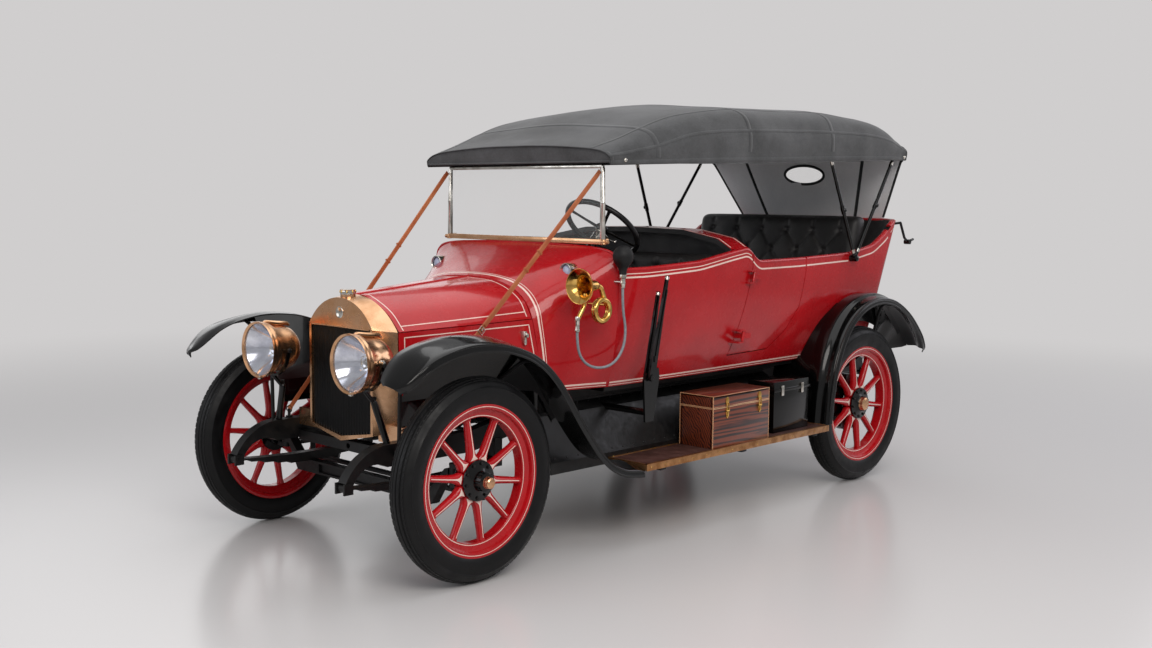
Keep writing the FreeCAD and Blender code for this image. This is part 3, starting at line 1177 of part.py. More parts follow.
def headlamps():
    """Open-fronted lamps with their glasses, each in a yoke on a post from the rail."""
    x = FRONT_AXLE_X + HEADLAMP_AHEAD
    r = HEADLAMP_RADIUS
    d = HEADLAMP_DEPTH
    t = LAMP_WALL
    outer = [(r, 0), (r, -30), (r * 0.86, -62), (r * 0.80, -d * 0.72), (r * 0.55, -d), (0, -d)]
    inner = [(0, -d + t), (r * 0.55 - t, -d + t), (r * 0.80 - t, -d * 0.72), (r * 0.86 - t, -60),
             (r - t, -28), (r - t, 0)]
    centre = V(x, HEADLAMP_Y, HEADLAMP_Z)
    lamp = ring(outer + inner, centre, V(1, 0, 0), LAMP_SIDES)
    glass_radius = (r - t) * cos(pi / LAMP_SIDES) - SEAT_GAP
    glass = Part.makeCylinder(glass_radius, 5, V(x - 14, HEADLAMP_Y, HEADLAMP_Z), V(1, 0, 0))
    save("headlamps", *both_sides(lamp))
    save("headlamp_glasses", *both_sides(glass))
    yoke_radius = r * 0.86 + YOKE_CLEAR
    yoke = ring([(yoke_radius, -8), (yoke_radius + YOKE_THICKNESS, -8), (yoke_radius + YOKE_THICKNESS, 8),
                 (yoke_radius, 8)], centre - V(YOKE_BACK, 0, 0), V(1, 0, 0), LAMP_SIDES)
    yoke = yoke.cut(box(x - YOKE_BACK - 20, x, 0, 900, HEADLAMP_Z + 8, HEADLAMP_Z + 300))
    pins = rod(centre - V(YOKE_BACK, yoke_radius + 4, 0), centre - V(YOKE_BACK, -yoke_radius - 4, 0), 6)
    rail_top = RAIL_TOP - RAIL_FRONT_DROP + SEAT_GAP
    foot = V(station(-180), RAIL_Y, rail_top - 20)
    fork = V(x - YOKE_BACK, HEADLAMP_Y, HEADLAMP_Z - yoke_radius - YOKE_THICKNESS / 2)
    stem = rod(foot, V(station(-200), HEADLAMP_Y, 690), 14)
    arm = rod(V(station(-200), HEADLAMP_Y, 690), fork, 10)
    knee = Part.makeSphere(14, V(station(-200), HEADLAMP_Y, 690))
    gap_form = [(0, SEAT_GAP)] + [(radius + SEAT_GAP, along) for radius, along in outer[:-1]]
    gap_form.append((0, -d - SEAT_GAP))
    lamp_form = ring(gap_form, centre, V(1, 0, 0), LAMP_SIDES)
    stand = fused([stem, arm, knee, yoke, pins]).cut(lamp_form)
    rail_form = box(station(-100), station(-300), 300, 460, 300, rail_top)
    save("lamp_stands", *both_sides(stand.cut(rail_form)))


def side_lamps():
    """Round lamps let into the scuttle, each seated on its curved skin."""
    x = station(SIDE_LAMP_BEHIND)
    lamp = Part.makeCylinder(SIDE_LAMP_RADIUS, 60, V(x - 40, SIDE_LAMP_Y, SIDE_LAMP_Z), V(1, 0, 0))
    return both_sides(lamp.cut(scuttle_form(-SEAT_GAP, BODY_BOTTOM)))


def levers():
    """Hand brake and gear lever outside the left side, each side of a quadrant plate."""
    x = station(LEVER_BEHIND)
    pivot = V(x, LEVER_Y, LEVER_PIVOT_Z)
    def blade(y, top_behind, top_z, root_width, tip_width):
        tip_x = station(top_behind)
        outline = [(x - root_width / 2, LEVER_PIVOT_Z), (tip_x - tip_width / 2, top_z),
                   (tip_x + tip_width / 2, top_z), (x + root_width / 2, LEVER_PIVOT_Z)]
        return side_plate(outline, y - 5, y + 5)
    brake = blade(LEVER_Y + 12, 1134.0, 1163.0, 42.0, 16.0)
    gear = blade(LEVER_Y - 14, 1104.0, 1093.0, 42.0, 16.0)
    pin = rod(pivot - V(0, 24, 0), pivot + V(0, 22, 0), 15)
    post = side_plate([(x - 28, 520), (x + 28, 520), (x + 40, LEVER_PIVOT_Z - 10),
                       (x + 20, LEVER_PIVOT_Z + 22), (x - 60, LEVER_PIVOT_Z + 40),
                       (x - 66, LEVER_PIVOT_Z)], LEVER_Y - 6, LEVER_Y + 4)
    shaft = rod(V(x, RAIL_Y + RAIL_WIDTH / 2 + SEAT_GAP, LEVER_SHAFT_Z), V(x, LEVER_Y, LEVER_SHAFT_Z),
                LEVER_SHAFT_RADIUS)
    return fused([brake, gear, pin, post, shaft])


def horn():
    """Brass horn: flared bell, looped tube and the connector for the hose, on a bracket."""
    y = HORN_Y
    bell_x, bell_z = station(HORN_BEHIND), HORN_Z
    r = HORN_BELL_RADIUS
    wall = 3.0
    profile = [(r, 0), (r * 0.72, -16), (r * 0.46, -46), (r * 0.30, -100), (0, -120), (0, -120 + 4 * wall),
               (r * 0.30 - wall, -98), (r * 0.46 - wall, -44), (r * 0.72 - wall, -13), (r - wall, 0)]
    bell = ring(profile, V(bell_x, y, bell_z), V(1, 0, 0), HORN_SIDES)
    loop_centre = V(station(HORN_BEHIND + 143), y, bell_z - 110)
    section = [(46 + 13 * cos(radians(angle)), 13 * sin(radians(angle))) for angle in range(0, 360, 60)]
    loop = ring(section, loop_centre, sides=HORN_SIDES)
    link = rod(V(bell_x - 112, y, bell_z), loop_centre + V(-20, 0, 44), 12)
    tube_end = V(station(HOSE_ROUTE[0][0]), y, HOSE_ROUTE[0][1] + 60)
    down_tube = rod(V(bell_x - 40, y, bell_z - 30), tube_end, 10)
    connector = Part.makeCylinder(11, 66, V(station(HOSE_ROUTE[0][0]), y, HOSE_ROUTE[0][1]))
    bracket = rod(loop_centre + V(40, 0, 20), loop_centre + V(40, -160, 20), 7)
    seat = scuttle_form(-SEAT_GAP, BODY_BOTTOM)
    return fused([bell, loop, link, down_tube, connector, bracket]).cut(seat)


def horn_bulb():
    """Rubber bulb with its neck, on a clip that reaches back to the body side."""
    x, z = station(HORN_BULB_BEHIND), HORN_BULB_Z
    r = HORN_BULB_RADIUS
    neck_z = HOSE_ROUTE[-1][1]
    profile = [(0, r), (r * 0.6, r * 0.8), (r * 0.95, r * 0.35), (r * 0.95, -r * 0.35), (r * 0.6, -r * 0.85),
               (15, -r * 1.35), (11, neck_z - z), (0, neck_z - z)]
    bulb = ring(profile, V(x, HORN_Y, z), UP, HORN_SIDES)
    clip = rod(V(x, HORN_Y, neck_z + 26), V(x, HORN_Y - 90, neck_z + 26), 6)
    seat = scuttle_form(-SEAT_GAP, BODY_BOTTOM)
    return fused([bulb, clip]).cut(seat)


# Points (behind, z) of the horn's hose, hanging in the plane of the horn
HOSE_ROUTE = ((650.0, 940.0), (650.0, 866.0), (699.0, 799.0), (788.0, 770.0), (886.0, 780.0), (952.0, 842.0),
              (968.0, 930.0), (942.0, 1022.0), (942.0, 1112.0))


def horn_hose():
    """The hose as straight runs joined by tangent arcs."""
    points = [V(station(behind), HORN_Y, z) for behind, z in HOSE_ROUTE]
    edges = []
    start = points[0]
    for before, corner, after in zip(points, points[1:], points[2:]):
        run = min((corner - before).Length, (after - corner).Length)
        into = (corner - before).normalize()
        out = (after - corner).normalize()
        turn = into.getAngle(out)
        radius = 0.45 * run / tan(turn / 2)
        reach = 0.45 * run
        first, last = corner - into * reach, corner + out * reach
        middle_way = (out - into).normalize()
        middle = corner + middle_way * (hypot(radius, reach) - radius)
        edges.append(Part.makeLine(start, first))
        edges.append(Part.Arc(first, middle, last).toShape())
        start = last
        print("hose radius", round(radius))
    edges.append(Part.makeLine(start, points[-1]))
    path = Part.Wire(edges)
    section = Part.Wire([Part.makeCircle(HOSE_DIAMETER / 2, points[0], points[1] - points[0])])
    tube = path.makePipeShell([section], True, False)
    expected = pi * (HOSE_DIAMETER / 2) ** 2 * path.Length
    print("hose length", round(path.Length), "volume ratio", round(tube.Volume / expected, 4))
    return tube


def steering_line():
    """Centre of the steering wheel, the way down the column, and the column's top."""
    rise = radians(COLUMN_RISE_DEG)
    down = V(cos(rise), 0, -sin(rise))
    hub = V(station(STEERING_WHEEL_BEHIND), STEERING_WHEEL_Y, STEERING_WHEEL_Z)
    return hub, down, hub + down * (STEERING_HUB_DEPTH + SEAT_GAP)


def steering_box(room=0.0):
    """The box at the column's foot, on the inside of the left rail, or the room it needs."""
    hub, down = steering_line()[:2]
    foot = hub + down * COLUMN_LENGTH
    rail_face = RAIL_Y - RAIL_WIDTH / 2 - SEAT_GAP
    return box(foot.x - 60 - room, foot.x + 70 + room, STEERING_WHEEL_Y - 50 - room, rail_face,
               foot.z - 90 - room, foot.z + 20 + room)


def steering_column():
    """Column down to its steering box."""
    hub, down, top = steering_line()
    return fused([rod(top, hub + down * COLUMN_LENGTH, COLUMN_RADIUS), steering_box()])


def steering_wheel():
    """Rim, hub and four spokes, turning about the column."""
    hub, down, top = steering_line()
    reach = STEERING_WHEEL_RADIUS - STEERING_RIM_RADIUS
    rim_points = [(reach + STEERING_RIM_RADIUS * cos(radians(angle)),
                   STEERING_RIM_RADIUS * sin(radians(angle))) for angle in range(0, 360, 60)]
    rim = ring(rim_points, V(0, 0, 0), UP, STEERING_RIM_SIDES)
    pieces = [rim, Part.makeCylinder(32, STEERING_HUB_DEPTH + 10, V(0, 0, -STEERING_HUB_DEPTH))]
    for number in range(4):
        angle = radians(45 + 90 * number)
        pieces.append(rod(V(0, 0, -6), V(reach * cos(angle), reach * sin(angle), 0), 8))
    whole = fused(pieces)
    whole.Placement = FreeCAD.Placement(hub, FreeCAD.Rotation(UP, down * -1))
    return whole


os.makedirs("parts", exist_ok=True)
wheels()
save("front_axle", front_axle())
left_knuckle = knuckle()
save("knuckle_left", left_knuckle)
save("knuckle_right", mirrored(left_knuckle))
save("tie_rod", tie_rod())
save("rear_axle", rear_axle())
save("leaf_springs", *leaf_springs())
chassis_frame()
save("engine_block", engine_block())
save("driveline", *driveline())
body()
bonnet()
radiator()
fenders()
boards()
boxes()
windscreen()
hood()
save("hood_straps", *both_sides(hood_straps()))
save("hood_rests", *both_sides(hood_rests()))
headlamps()
save("side_lamps", *side_lamps())
save("horn", horn())
save("horn_bulb", horn_bulb())
save("horn_hose", horn_hose())
save("hand_levers", levers())
save("steering_column", steering_column())
save("steering_wheel", steering_wheel())
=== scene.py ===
from math import ceil, cos, pi, radians, sin, sqrt

import bmesh
import bpy
import numpy as np
from mathutils import Matrix, Vector
from mathutils.bvhtree import BVHTree


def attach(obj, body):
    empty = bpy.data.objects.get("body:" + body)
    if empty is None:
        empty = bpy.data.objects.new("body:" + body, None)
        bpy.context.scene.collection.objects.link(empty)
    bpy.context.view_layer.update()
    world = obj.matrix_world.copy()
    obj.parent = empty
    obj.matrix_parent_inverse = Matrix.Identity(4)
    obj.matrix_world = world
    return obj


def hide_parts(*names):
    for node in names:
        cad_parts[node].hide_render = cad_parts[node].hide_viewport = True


# The looks of an open touring car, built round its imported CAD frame. Metres, +X forward,
# +Y to the car's left, +Z up. Places along the car are given, as in the part's source, by
# how far they lie behind the front axle.

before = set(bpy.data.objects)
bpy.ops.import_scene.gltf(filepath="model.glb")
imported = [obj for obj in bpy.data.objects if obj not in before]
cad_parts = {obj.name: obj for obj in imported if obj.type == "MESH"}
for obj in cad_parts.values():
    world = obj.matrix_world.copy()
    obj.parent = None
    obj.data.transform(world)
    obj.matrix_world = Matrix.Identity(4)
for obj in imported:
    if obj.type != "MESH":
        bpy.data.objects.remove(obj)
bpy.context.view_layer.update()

AXLE_X = 1.5215
WHEELBASE = 2.785
HALF_TRACK = 0.685
TYRE_RADIUS = 0.410
UP = Vector((0, 0, 1))
AHEAD = Vector((1, 0, 0))
SIDES = ((1, "left"), (-1, "right"))
scene = bpy.context.scene


def at(behind, y, z):
    """A place given by its distance behind the front axle, in metres."""
    return Vector((AXLE_X - behind, y, z))


def around(count):
    """Evenly spaced angles round a full turn."""
    return [2 * pi * i / count for i in range(count)]


# Shapes are pairs of vertices and faces, put together before they become a piece

def joined(*shapes):
    verts, faces = [], []
    for shape_verts, shape_faces in shapes:
        start = len(verts)
        verts += [Vector(v) for v in shape_verts]
        faces += [tuple(i + start for i in face) for face in shape_faces]
    return verts, faces


def moved(shape, matrix):
    verts, faces = shape
    verts = [matrix @ Vector(v) for v in verts]
    if matrix.determinant() < 0:
        faces = [face[::-1] for face in faces]
    return verts, faces


def other_side(shape):
    return moved(shape, Matrix.Scale(-1, 4, (0, 1, 0)))


def both(shape):
    return joined(shape, other_side(shape))


def turned_to(origin, axis, spin_from=None):
    """Placement that takes local +Z to the axis and local +X near to spin_from."""
    z = Vector(axis).normalized()
    x = Vector(spin_from) if spin_from is not None else z.orthogonal()
    x = (x - z * x.dot(z)).normalized()
    y = z.cross(x)
    return Matrix.Translation(Vector(origin)) @ Matrix((x, y, z)).transposed().to_4x4()


def grid(rows, close_u=False, close_v=False, cap=False):
    """Quads between rows of points. close_u joins last row to first, close_v joins each row's ends."""
    count = len(rows[0])
    verts = [Vector(p) for row in rows for p in row]
    faces = []
    for r in range(len(rows) if close_u else len(rows) - 1):
        for c in range(count if close_v else count - 1):
            a, b = r * count + c, r * count + (c + 1) % count
            r2 = (r + 1) % len(rows)
            faces.append((a, b, r2 * count + (c + 1) % count, r2 * count + c))
    if cap:
        faces.append(tuple(range(count))[::-1])
        faces.append(tuple((len(rows) - 1) * count + c for c in range(count)))
    return verts, faces


def lathe(profile, origin=(0, 0, 0), axis=(0, 0, 1), steps=64, closed=False, sweep=2 * pi):
    """A (radius, along) profile turned about the axis. closed joins its last point to its first."""
    whole = abs(sweep - 2 * pi) < 1e-6
    rows = []
    for i in range(steps if whole else steps + 1):
        turn = sweep * i / steps
        rows.append([Vector((r * cos(turn), r * sin(turn), along)) for r, along in profile])
    shape = grid(rows, close_u=whole, close_v=closed)
    return moved(shape, turned_to(origin, axis))


def smooth_path(points, per_span=8, closed=False):
    """A Catmull-Rom line through the points."""
    points = [Vector(p) for p in points]
    count = len(points)
    line = []
    for i in range(count if closed else count - 1):
        p1, p2 = points[i], points[(i + 1) % count]
        p0 = points[i - 1] if closed or i else p1 * 2 - p2
        p3 = points[(i + 2) % count] if closed or i + 2 < count else p2 * 2 - p1
        for step in range(per_span):
            t = step / per_span
            line.append(0.5 * (2 * p1 + (p2 - p0) * t + (2 * p0 - 5 * p1 + 4 * p2 - p3) * t * t
                               + (3 * p1 - p0 - 3 * p2 + p3) * t * t * t))
    if not closed:
        line.append(points[-1])
    return line


def frames_along(path, closed=False, start_side=None):
    """Steady side and normal directions along a path."""
    count = len(path)
    tangents = []
    for i in range(count):
        before = path[i - 1] if closed or i else path[0]
        after = path[(i + 1) % count] if closed or i + 1 < count else path[-1]
        tangents.append((after - before).normalized())
    side = Vector(start_side) if start_side is not None else tangents[0].orthogonal()
    out = []
    for tangent in tangents:
        side = (side - tangent * side.dot(tangent)).normalized()
        out.append((tangent, side, tangent.cross(side)))
    return out


def sweep(path, section, closed=False, start_side=None, scales=None, cap=True):
    """A closed (side, normal) section drawn along a path."""
    rows = []
    for i, (p, (tangent, side, normal)) in enumerate(zip(path, frames_along(path, closed, start_side))):
        k = scales[i] if scales else 1.0
        rows.append([p + side * (u * k) + normal * (v * k) for u, v in section])
    return grid(rows, close_u=closed, close_v=True, cap=cap and not closed)


def round_section(radius, sides=12):
    return [(radius * cos(a), radius * sin(a)) for a in around(sides)]


def flat_section(width, thickness, corner=None):
    """Rectangle with cut corners, width along the side direction."""
    w, t = width / 2, thickness / 2
    c = min(t, w) * 0.5 if corner is None else corner
    return [(w, c - t), (w, t - c), (w - c, t), (c - w, t), (-w, t - c), (-w, c - t), (c - w, -t),
            (w - c, -t)]


def tube(path, radius, sides=12, closed=False, scales=None):
    return sweep([Vector(p) for p in path], round_section(radius, sides), closed, scales=scales)


def block(low, high, bevel=0.0, segments=2):
    """A box between two corners with rounded edges."""
    bm = bmesh.new()
    bmesh.ops.create_cube(bm, size=1.0)
    low, high = Vector(low), Vector(high)
    for v in bm.verts:
        v.co = Vector([low[i] + (v.co[i] + 0.5) * (high[i] - low[i]) for i in range(3)])
    if bevel:
        bmesh.ops.bevel(bm, geom=bm.edges[:], offset=bevel, segments=segments, affect="EDGES", profile=0.5)
    return from_bmesh(bm)


def plate(outline, thickness, matrix=Matrix(), bevel=0.0, segments=2):
    """A flat (x, y) outline with thickness along local Z, edges rounded, placed by the matrix."""
    bm = bmesh.new()
    face = bm.faces.new([bm.verts.new((x, y, 0)) for x, y in outline])
    bm.normal_update()
    if face.normal.z < 0:
        face.normal_flip()
    lid = bmesh.ops.extrude_face_region(bm, geom=[face])
    bmesh.ops.translate(bm, verts=[v for v in lid["geom"] if isinstance(v, bmesh.types.BMVert)],
                        vec=(0, 0, thickness))
    bmesh.ops.recalc_face_normals(bm, faces=bm.faces[:])
    if bevel:
        rim = [e for e in bm.edges if len(e.link_faces) == 2 and e.calc_face_angle(0) > 0.6]
        bmesh.ops.bevel(bm, geom=rim, offset=bevel, segments=segments, affect="EDGES", profile=0.5)
    return moved(from_bmesh(bm), matrix)


def from_bmesh(bm):
    bm.verts.ensure_lookup_table()
    bm.verts.index_update()
    shape = [v.co.copy() for v in bm.verts], [tuple(v.index for v in f.verts) for f in bm.faces]
    bm.free()
    return shape


def piece(name, shape, material, body="root", stands_for=(), angle=35, fix_normals=False):
    """Makes the mesh object, smooth up to the given angle, and ties it to its body and its CAD nodes."""
    mesh = bpy.data.meshes.new(name)
    verts, faces = shape
    mesh.from_pydata([tuple(v) for v in verts], [], faces)
    return dress(name, mesh, material, body, stands_for, angle, fix_normals)


def dress(name, mesh, material, body="root", stands_for=(), angle=35, fix_normals=False):
    bm = bmesh.new()
    bm.from_mesh(mesh)
    bmesh.ops.remove_doubles(bm, verts=bm.verts[:], dist=1e-6)
    if fix_normals:
        bmesh.ops.recalc_face_normals(bm, faces=bm.faces[:])
    bm.to_mesh(mesh)
    bm.free()
    mesh.shade_smooth()
    mesh.set_sharp_from_angle(angle=radians(angle))
    for m in material if isinstance(material, (list, tuple)) else [material]:
        mesh.materials.append(m)
    obj = bpy.data.objects.new(name, mesh)
    scene.collection.objects.link(obj)
    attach(obj, body)
    if stands_for:
        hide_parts(*stands_for)
    return obj


def carried(name, node, material, body="root", angle=32):
    """A copy of a CAD node with its loose triangles merged and shaded smooth, standing for the node."""
    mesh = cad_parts[node].data.copy()
    mesh.materials.clear()
    if "custom_normal" in mesh.attributes:
        mesh.attributes.remove(mesh.attributes["custom_normal"])
    obj = dress(name, mesh, material, body, [node], angle)
    return finished(obj, ("WEIGHTED_NORMAL", {"mode": "FACE_AREA", "keep_sharp": True, "weight": 90}))


def finished(obj, *modifiers):
    """Adds modifiers given as (type, settings) and applies them."""
    for kind, settings in modifiers:
        modifier = obj.modifiers.new(kind, kind)
        for key, value in settings.items():
            setattr(modifier, key, value)
    baked = bpy.data.meshes.new_from_object(obj.evaluated_get(bpy.context.evaluated_depsgraph_get()))
    obj.modifiers.clear()
    obj.data = baked
    return obj


# Camera: off the front left corner at about eye height, as in the photograph

camera = bpy.data.cameras.new("camera")
camera.lens = 41.77
camera.sensor_width = 36.0
camera.shift_x = 0.1099
camera.shift_y = -0.0059
camera.clip_start = 0.1
camera.clip_end = 100
viewer = bpy.data.objects.new("camera", camera)
scene.collection.objects.link(viewer)
look = Vector((-0.6692, -0.7366, -0.0980)).normalized()
across = look.cross(UP).normalized()
viewer.matrix_world = (Matrix.Translation((5.0623, 4.4418, 1.5585))
                       @ Matrix((across, across.cross(look), -look)).transposed().to_4x4())
scene.camera = viewer


# Finishes

def colour(code):
    """An sRGB hex colour as linear red, green, blue and alpha."""
    channels = [int(code[i:i + 2], 16) / 255 for i in (1, 3, 5)]
    return tuple(c / 12.92 if c <= 0.04045 else ((c + 0.055) / 1.055) ** 2.4 for c in channels) + (1.0,)


def add(tree, kind, settings=None, sockets=None):
    """Adds a node, with its settings, and its inputs by name or number as values or links."""
    made = tree.nodes.new(kind)
    for key, value in (settings or {}).items():
        setattr(made, key, value)
    for key, value in (sockets or {}).items():
        if isinstance(value, bpy.types.NodeSocket):
            tree.links.new(value, made.inputs[key])
        else:
            made.inputs[key].default_value = value
    return made


def finish(name, base, **settings):
    """A new material on the standard surface shader. Returns it with its tree and shader."""
    material = bpy.data.materials.new(name)
    material.use_nodes = True
    tree = material.node_tree
    shader = tree.nodes["Principled BSDF"]
    shader.inputs["Base Color"].default_value = colour(base)
    for key, value in settings.items():
        shader.inputs[key.replace("_", " ")].default_value = value
    return material, tree, shader


def places(tree, scale=1.0, stretch=(1, 1, 1), turn=(0, 0, 0)):
    """Object coordinates, scaled so that 1 is one metre divided by scale."""
    where = add(tree, "ShaderNodeTexCoord").outputs["Object"]
    return add(tree, "ShaderNodeMapping", None, {"Vector": where, "Scale": [scale * s for s in stretch],
                                                 "Rotation": turn}).outputs["Vector"]


def noise(tree, where, detail=4.0, rough=0.5):
    return add(tree, "ShaderNodeTexNoise", None, {"Vector": where, "Scale": 1.0, "Detail": detail,
                                                  "Roughness": rough}).outputs["Fac"]


def shades(tree, fac, *stops):
    """Colour ramp with stops of (position, hex colour)."""
    ramp = add(tree, "ShaderNodeValToRGB", None, {"Fac": fac})
    while len(ramp.color_ramp.elements) < len(stops):
        ramp.color_ramp.elements.new(0.5)
    for element, (position, code) in zip(ramp.color_ramp.elements, stops):
        element.position = position
        element.color = colour(code)
    return ramp.outputs["Color"]


def spread(tree, fac, low, high, from_low=0.3, from_high=0.7):
    """A pattern's value moved into the range low to high."""
    return add(tree, "ShaderNodeMapRange", None, {"Value": fac, "From Min": from_low, "From Max": from_high,
                                                  "To Min": low, "To Max": high}).outputs["Result"]


def bumps(tree, shader, height, depth_mm, strength=1.0, under=None):
    """Relief of the given depth from a 0 to 1 pattern."""
    sockets = {"Height": height, "Strength": strength, "Distance": depth_mm / 1000}
    if under is not None:
        sockets["Normal"] = under
    made = add(tree, "ShaderNodeBump", None, sockets).outputs["Normal"]
    tree.links.new(made, shader.inputs["Normal"])
    return made


def coach_paint(name, base, dark, roughness=0.22, varnish=0.5):
    """Brushed coach enamel under varnish: long soft waves, and dust that dulls the gloss in places."""
    material, tree, shader = finish(name, base, Coat_Weight=varnish, Coat_Roughness=0.05,
                                    Specular_IOR_Level=0.2)
    patches = noise(tree, places(tree, 3.0), 5.0, 0.6)
    tree.links.new(shades(tree, patches, (0.3, dark), (0.7, base)), shader.inputs["Base Color"])
    dust = noise(tree, places(tree, 14.0), 6.0, 0.65)
    tree.links.new(spread(tree, dust, roughness - 0.05, roughness + 0.1), shader.inputs["Roughness"])
    bumps(tree, shader, noise(tree, places(tree, 22.0, (0.5, 1, 1)), 2.0), 0.12, 0.35)
    return material


def polished(name, bright, dull, roughness=0.14, scale=9.0):
    """Hand polished brass or nickel: brighter where it is rubbed, dull stains, hairline scratches."""
    material, tree, shader = finish(name, bright, Metallic=1.0)
    stains = noise(tree, places(tree, scale), 6.0, 0.6)
    tree.links.new(shades(tree, stains, (0.35, dull), (0.6, bright)), shader.inputs["Base Color"])
    tree.links.new(spread(tree, stains, roughness + 0.16, roughness, 0.3, 0.6), shader.inputs["Roughness"])
    hairs = noise(tree, places(tree, 700.0, (0.05, 1, 1)), 2.0)
    bumps(tree, shader, hairs, 0.02, 0.25)
    return material


def black_metal(name, base="#09090a", roughness=0.42, grime="#191613"):
    """Forged and painted steel with road dust in patches."""
    material, tree, shader = finish(name, base, Specular_IOR_Level=0.35)
    dirt = noise(tree, places(tree, 30.0), 6.0, 0.7)
    tree.links.new(shades(tree, dirt, (0.45, base), (0.8, grime)), shader.inputs["Base Color"])
    tree.links.new(spread(tree, dirt, roughness - 0.12, roughness + 0.2), shader.inputs["Roughness"])
    bumps(tree, shader, noise(tree, places(tree, 240.0), 4.0), 0.15, 0.5)
    return material


def hide(name, base, light, grain_mm=2.2, roughness=0.45, depth=0.35):
    """Upholstery hide: pebbled grain, paler and smoother where it is rubbed."""
    material, tree, shader = finish(name, base, Specular_IOR_Level=0.45)
    cells = add(tree, "ShaderNodeTexVoronoi", {"feature": "DISTANCE_TO_EDGE"},
                {"Vector": places(tree, 1000 / grain_mm), "Scale": 1.0}).outputs["Distance"]
    rub = noise(tree, places(tree, 7.0), 4.0)
    tree.links.new(shades(tree, rub, (0.4, base), (0.75, light)), shader.inputs["Base Color"])
    tree.links.new(spread(tree, rub, roughness + 0.12, roughness - 0.1), shader.inputs["Roughness"])
    bumps(tree, shader, spread(tree, cells, 0, 1, 0.0, 0.25), depth, 0.6)
    return material


def cloth(name, base, light, thread_mm=1.6, roughness=0.95, depth=0.3, sheen=0.25):
    """Plain woven duck: crossing threads on the cloth's own lines, fading in patches."""
    material, tree, shader = finish(name, base, Specular_IOR_Level=0.25, Sheen_Weight=sheen,
                                    Sheen_Roughness=0.5, Roughness=roughness)
    where = places(tree, 1.0)
    pitch = 1000 / thread_mm
    waves = [add(tree, "ShaderNodeTexWave", {"wave_type": "BANDS", "bands_direction": way},
                 {"Vector": where, "Scale": pitch / 2 / pi, "Distortion": 0.6, "Detail": 1.0,
                  "Detail Scale": 2.0}).outputs["Fac"] for way in ("X", "Y")]
    weave = add(tree, "ShaderNodeMath", {"operation": "MULTIPLY"},
                {0: waves[0], 1: waves[1]}).outputs["Value"]
    fade = noise(tree, places(tree, 4.0), 6.0, 0.62)
    fine = noise(tree, places(tree, 120.0), 3.0)
    both_fades = add(tree, "ShaderNodeMath", {"operation": "MULTIPLY_ADD"},
                     {0: fine, 1: 0.3, 2: fade}).outputs["Value"]
    tree.links.new(shades(tree, both_fades, (0.45, base), (0.85, light)), shader.inputs["Base Color"])
    bumps(tree, shader, weave, depth, 0.7)
    return material


def plank(name, dark, mid, light, along="X", ring_mm=14.0, roughness=0.35, gloss=0.5):
    """Varnished wood: long figure in growth rings, with fine pores along the grain."""
    material, tree, shader = finish(name, mid, Coat_Weight=gloss, Coat_Roughness=0.12)
    stretch = {"X": (0.06, 1, 1), "Y": (1, 0.06, 1), "Z": (1, 1, 0.06)}[along]
    bent = places(tree, 1000 / ring_mm, stretch)
    wander = noise(tree, bent, 4.0, 0.6)
    rings = add(tree, "ShaderNodeTexWave", {"wave_type": "RINGS", "rings_direction": along},
                {"Vector": bent, "Scale": 0.55, "Distortion": 11.0, "Detail": 4.0,
                 "Detail Scale": 0.8}).outputs["Fac"]
    figure = add(tree, "ShaderNodeMath", {"operation": "MULTIPLY_ADD"},
                 {0: wander, 1: 0.6, 2: rings}).outputs["Value"]
    tree.links.new(shades(tree, figure, (0.2, dark), (0.6, mid), (1.0, light)), shader.inputs["Base Color"])
    pores = noise(tree, places(tree, 900.0, stretch), 2.0)
    tree.links.new(spread(tree, pores, roughness - 0.06, roughness + 0.1), shader.inputs["Roughness"])
    bumps(tree, shader, pores, 0.08, 0.5)
    return material


def rubber(name, base, worn, roughness=0.5, scale=18.0):
    """Vulcanised rubber: even black, greyed where it is scuffed."""
    material, tree, shader = finish(name, base, Specular_IOR_Level=0.25)
    scuffs = noise(tree, places(tree, scale), 6.0, 0.65)
    tree.links.new(shades(tree, scuffs, (0.45, base), (0.85, worn)), shader.inputs["Base Color"])
    tree.links.new(spread(tree, scuffs, roughness - 0.1, roughness + 0.2), shader.inputs["Roughness"])
    bumps(tree, shader, noise(tree, places(tree, 300.0), 3.0), 0.1, 0.4)
    return material


def clear_glass(name, tint="#f4f8f8", roughness=0.02):
    """Thin plate glass: mostly see-through, with its reflections kept and faint smears."""
    material, tree, shader = finish(name, tint, IOR=1.5, Alpha=0.06)
    smears = noise(tree, places(tree, 12.0, (1, 1, 0.4)), 4.0)
    tree.links.new(spread(tree, smears, roughness, roughness + 0.08), shader.inputs["Roughness"])
    return material


red = coach_paint("red_coach_enamel", "#b8131b", "#a20d14", 0.24)
black = coach_paint("black_stove_enamel", "#060606", "#040404", 0.14, 0.35)
cream = coach_paint("cream_lining_paint", "#f0d9cf", "#e3c4b8", 0.35)
iron = black_metal("chassis_black_iron")
greasy = black_metal("oily_cast_iron", "#232224", 0.5, "#3a352e")
copper = polished("copper_brass", "#e0b28c", "#c1926a", 0.2)
brass = polished("polished_brass", "#e6bd6c", "#b88a44", 0.12, 16.0)
nickel = polished("nickel_plate", "#d8d4cc", "#a9a49a", 0.12, 20.0)
silvered = polished("silvered_reflector", "#dcdfe8", "#b5b8c6", 0.07, 14.0)
black_hide = hide("black_buttoned_hide", "#151415", "#2a2828")
strap_hide = hide("tan_strap_leather", "#a3552f", "#c47a4d", 1.6, 0.5, 0.2)
duck = cloth("charcoal_hood_duck", "#333435", "#515254")
# The curtain cloth's pale colour is painted light: it is lightened to stand in for light coming through the
# cloth
curtain_cloth_painted_light = cloth("grey_curtain_cloth", "#dbdcde", "#ececed", 1.8)
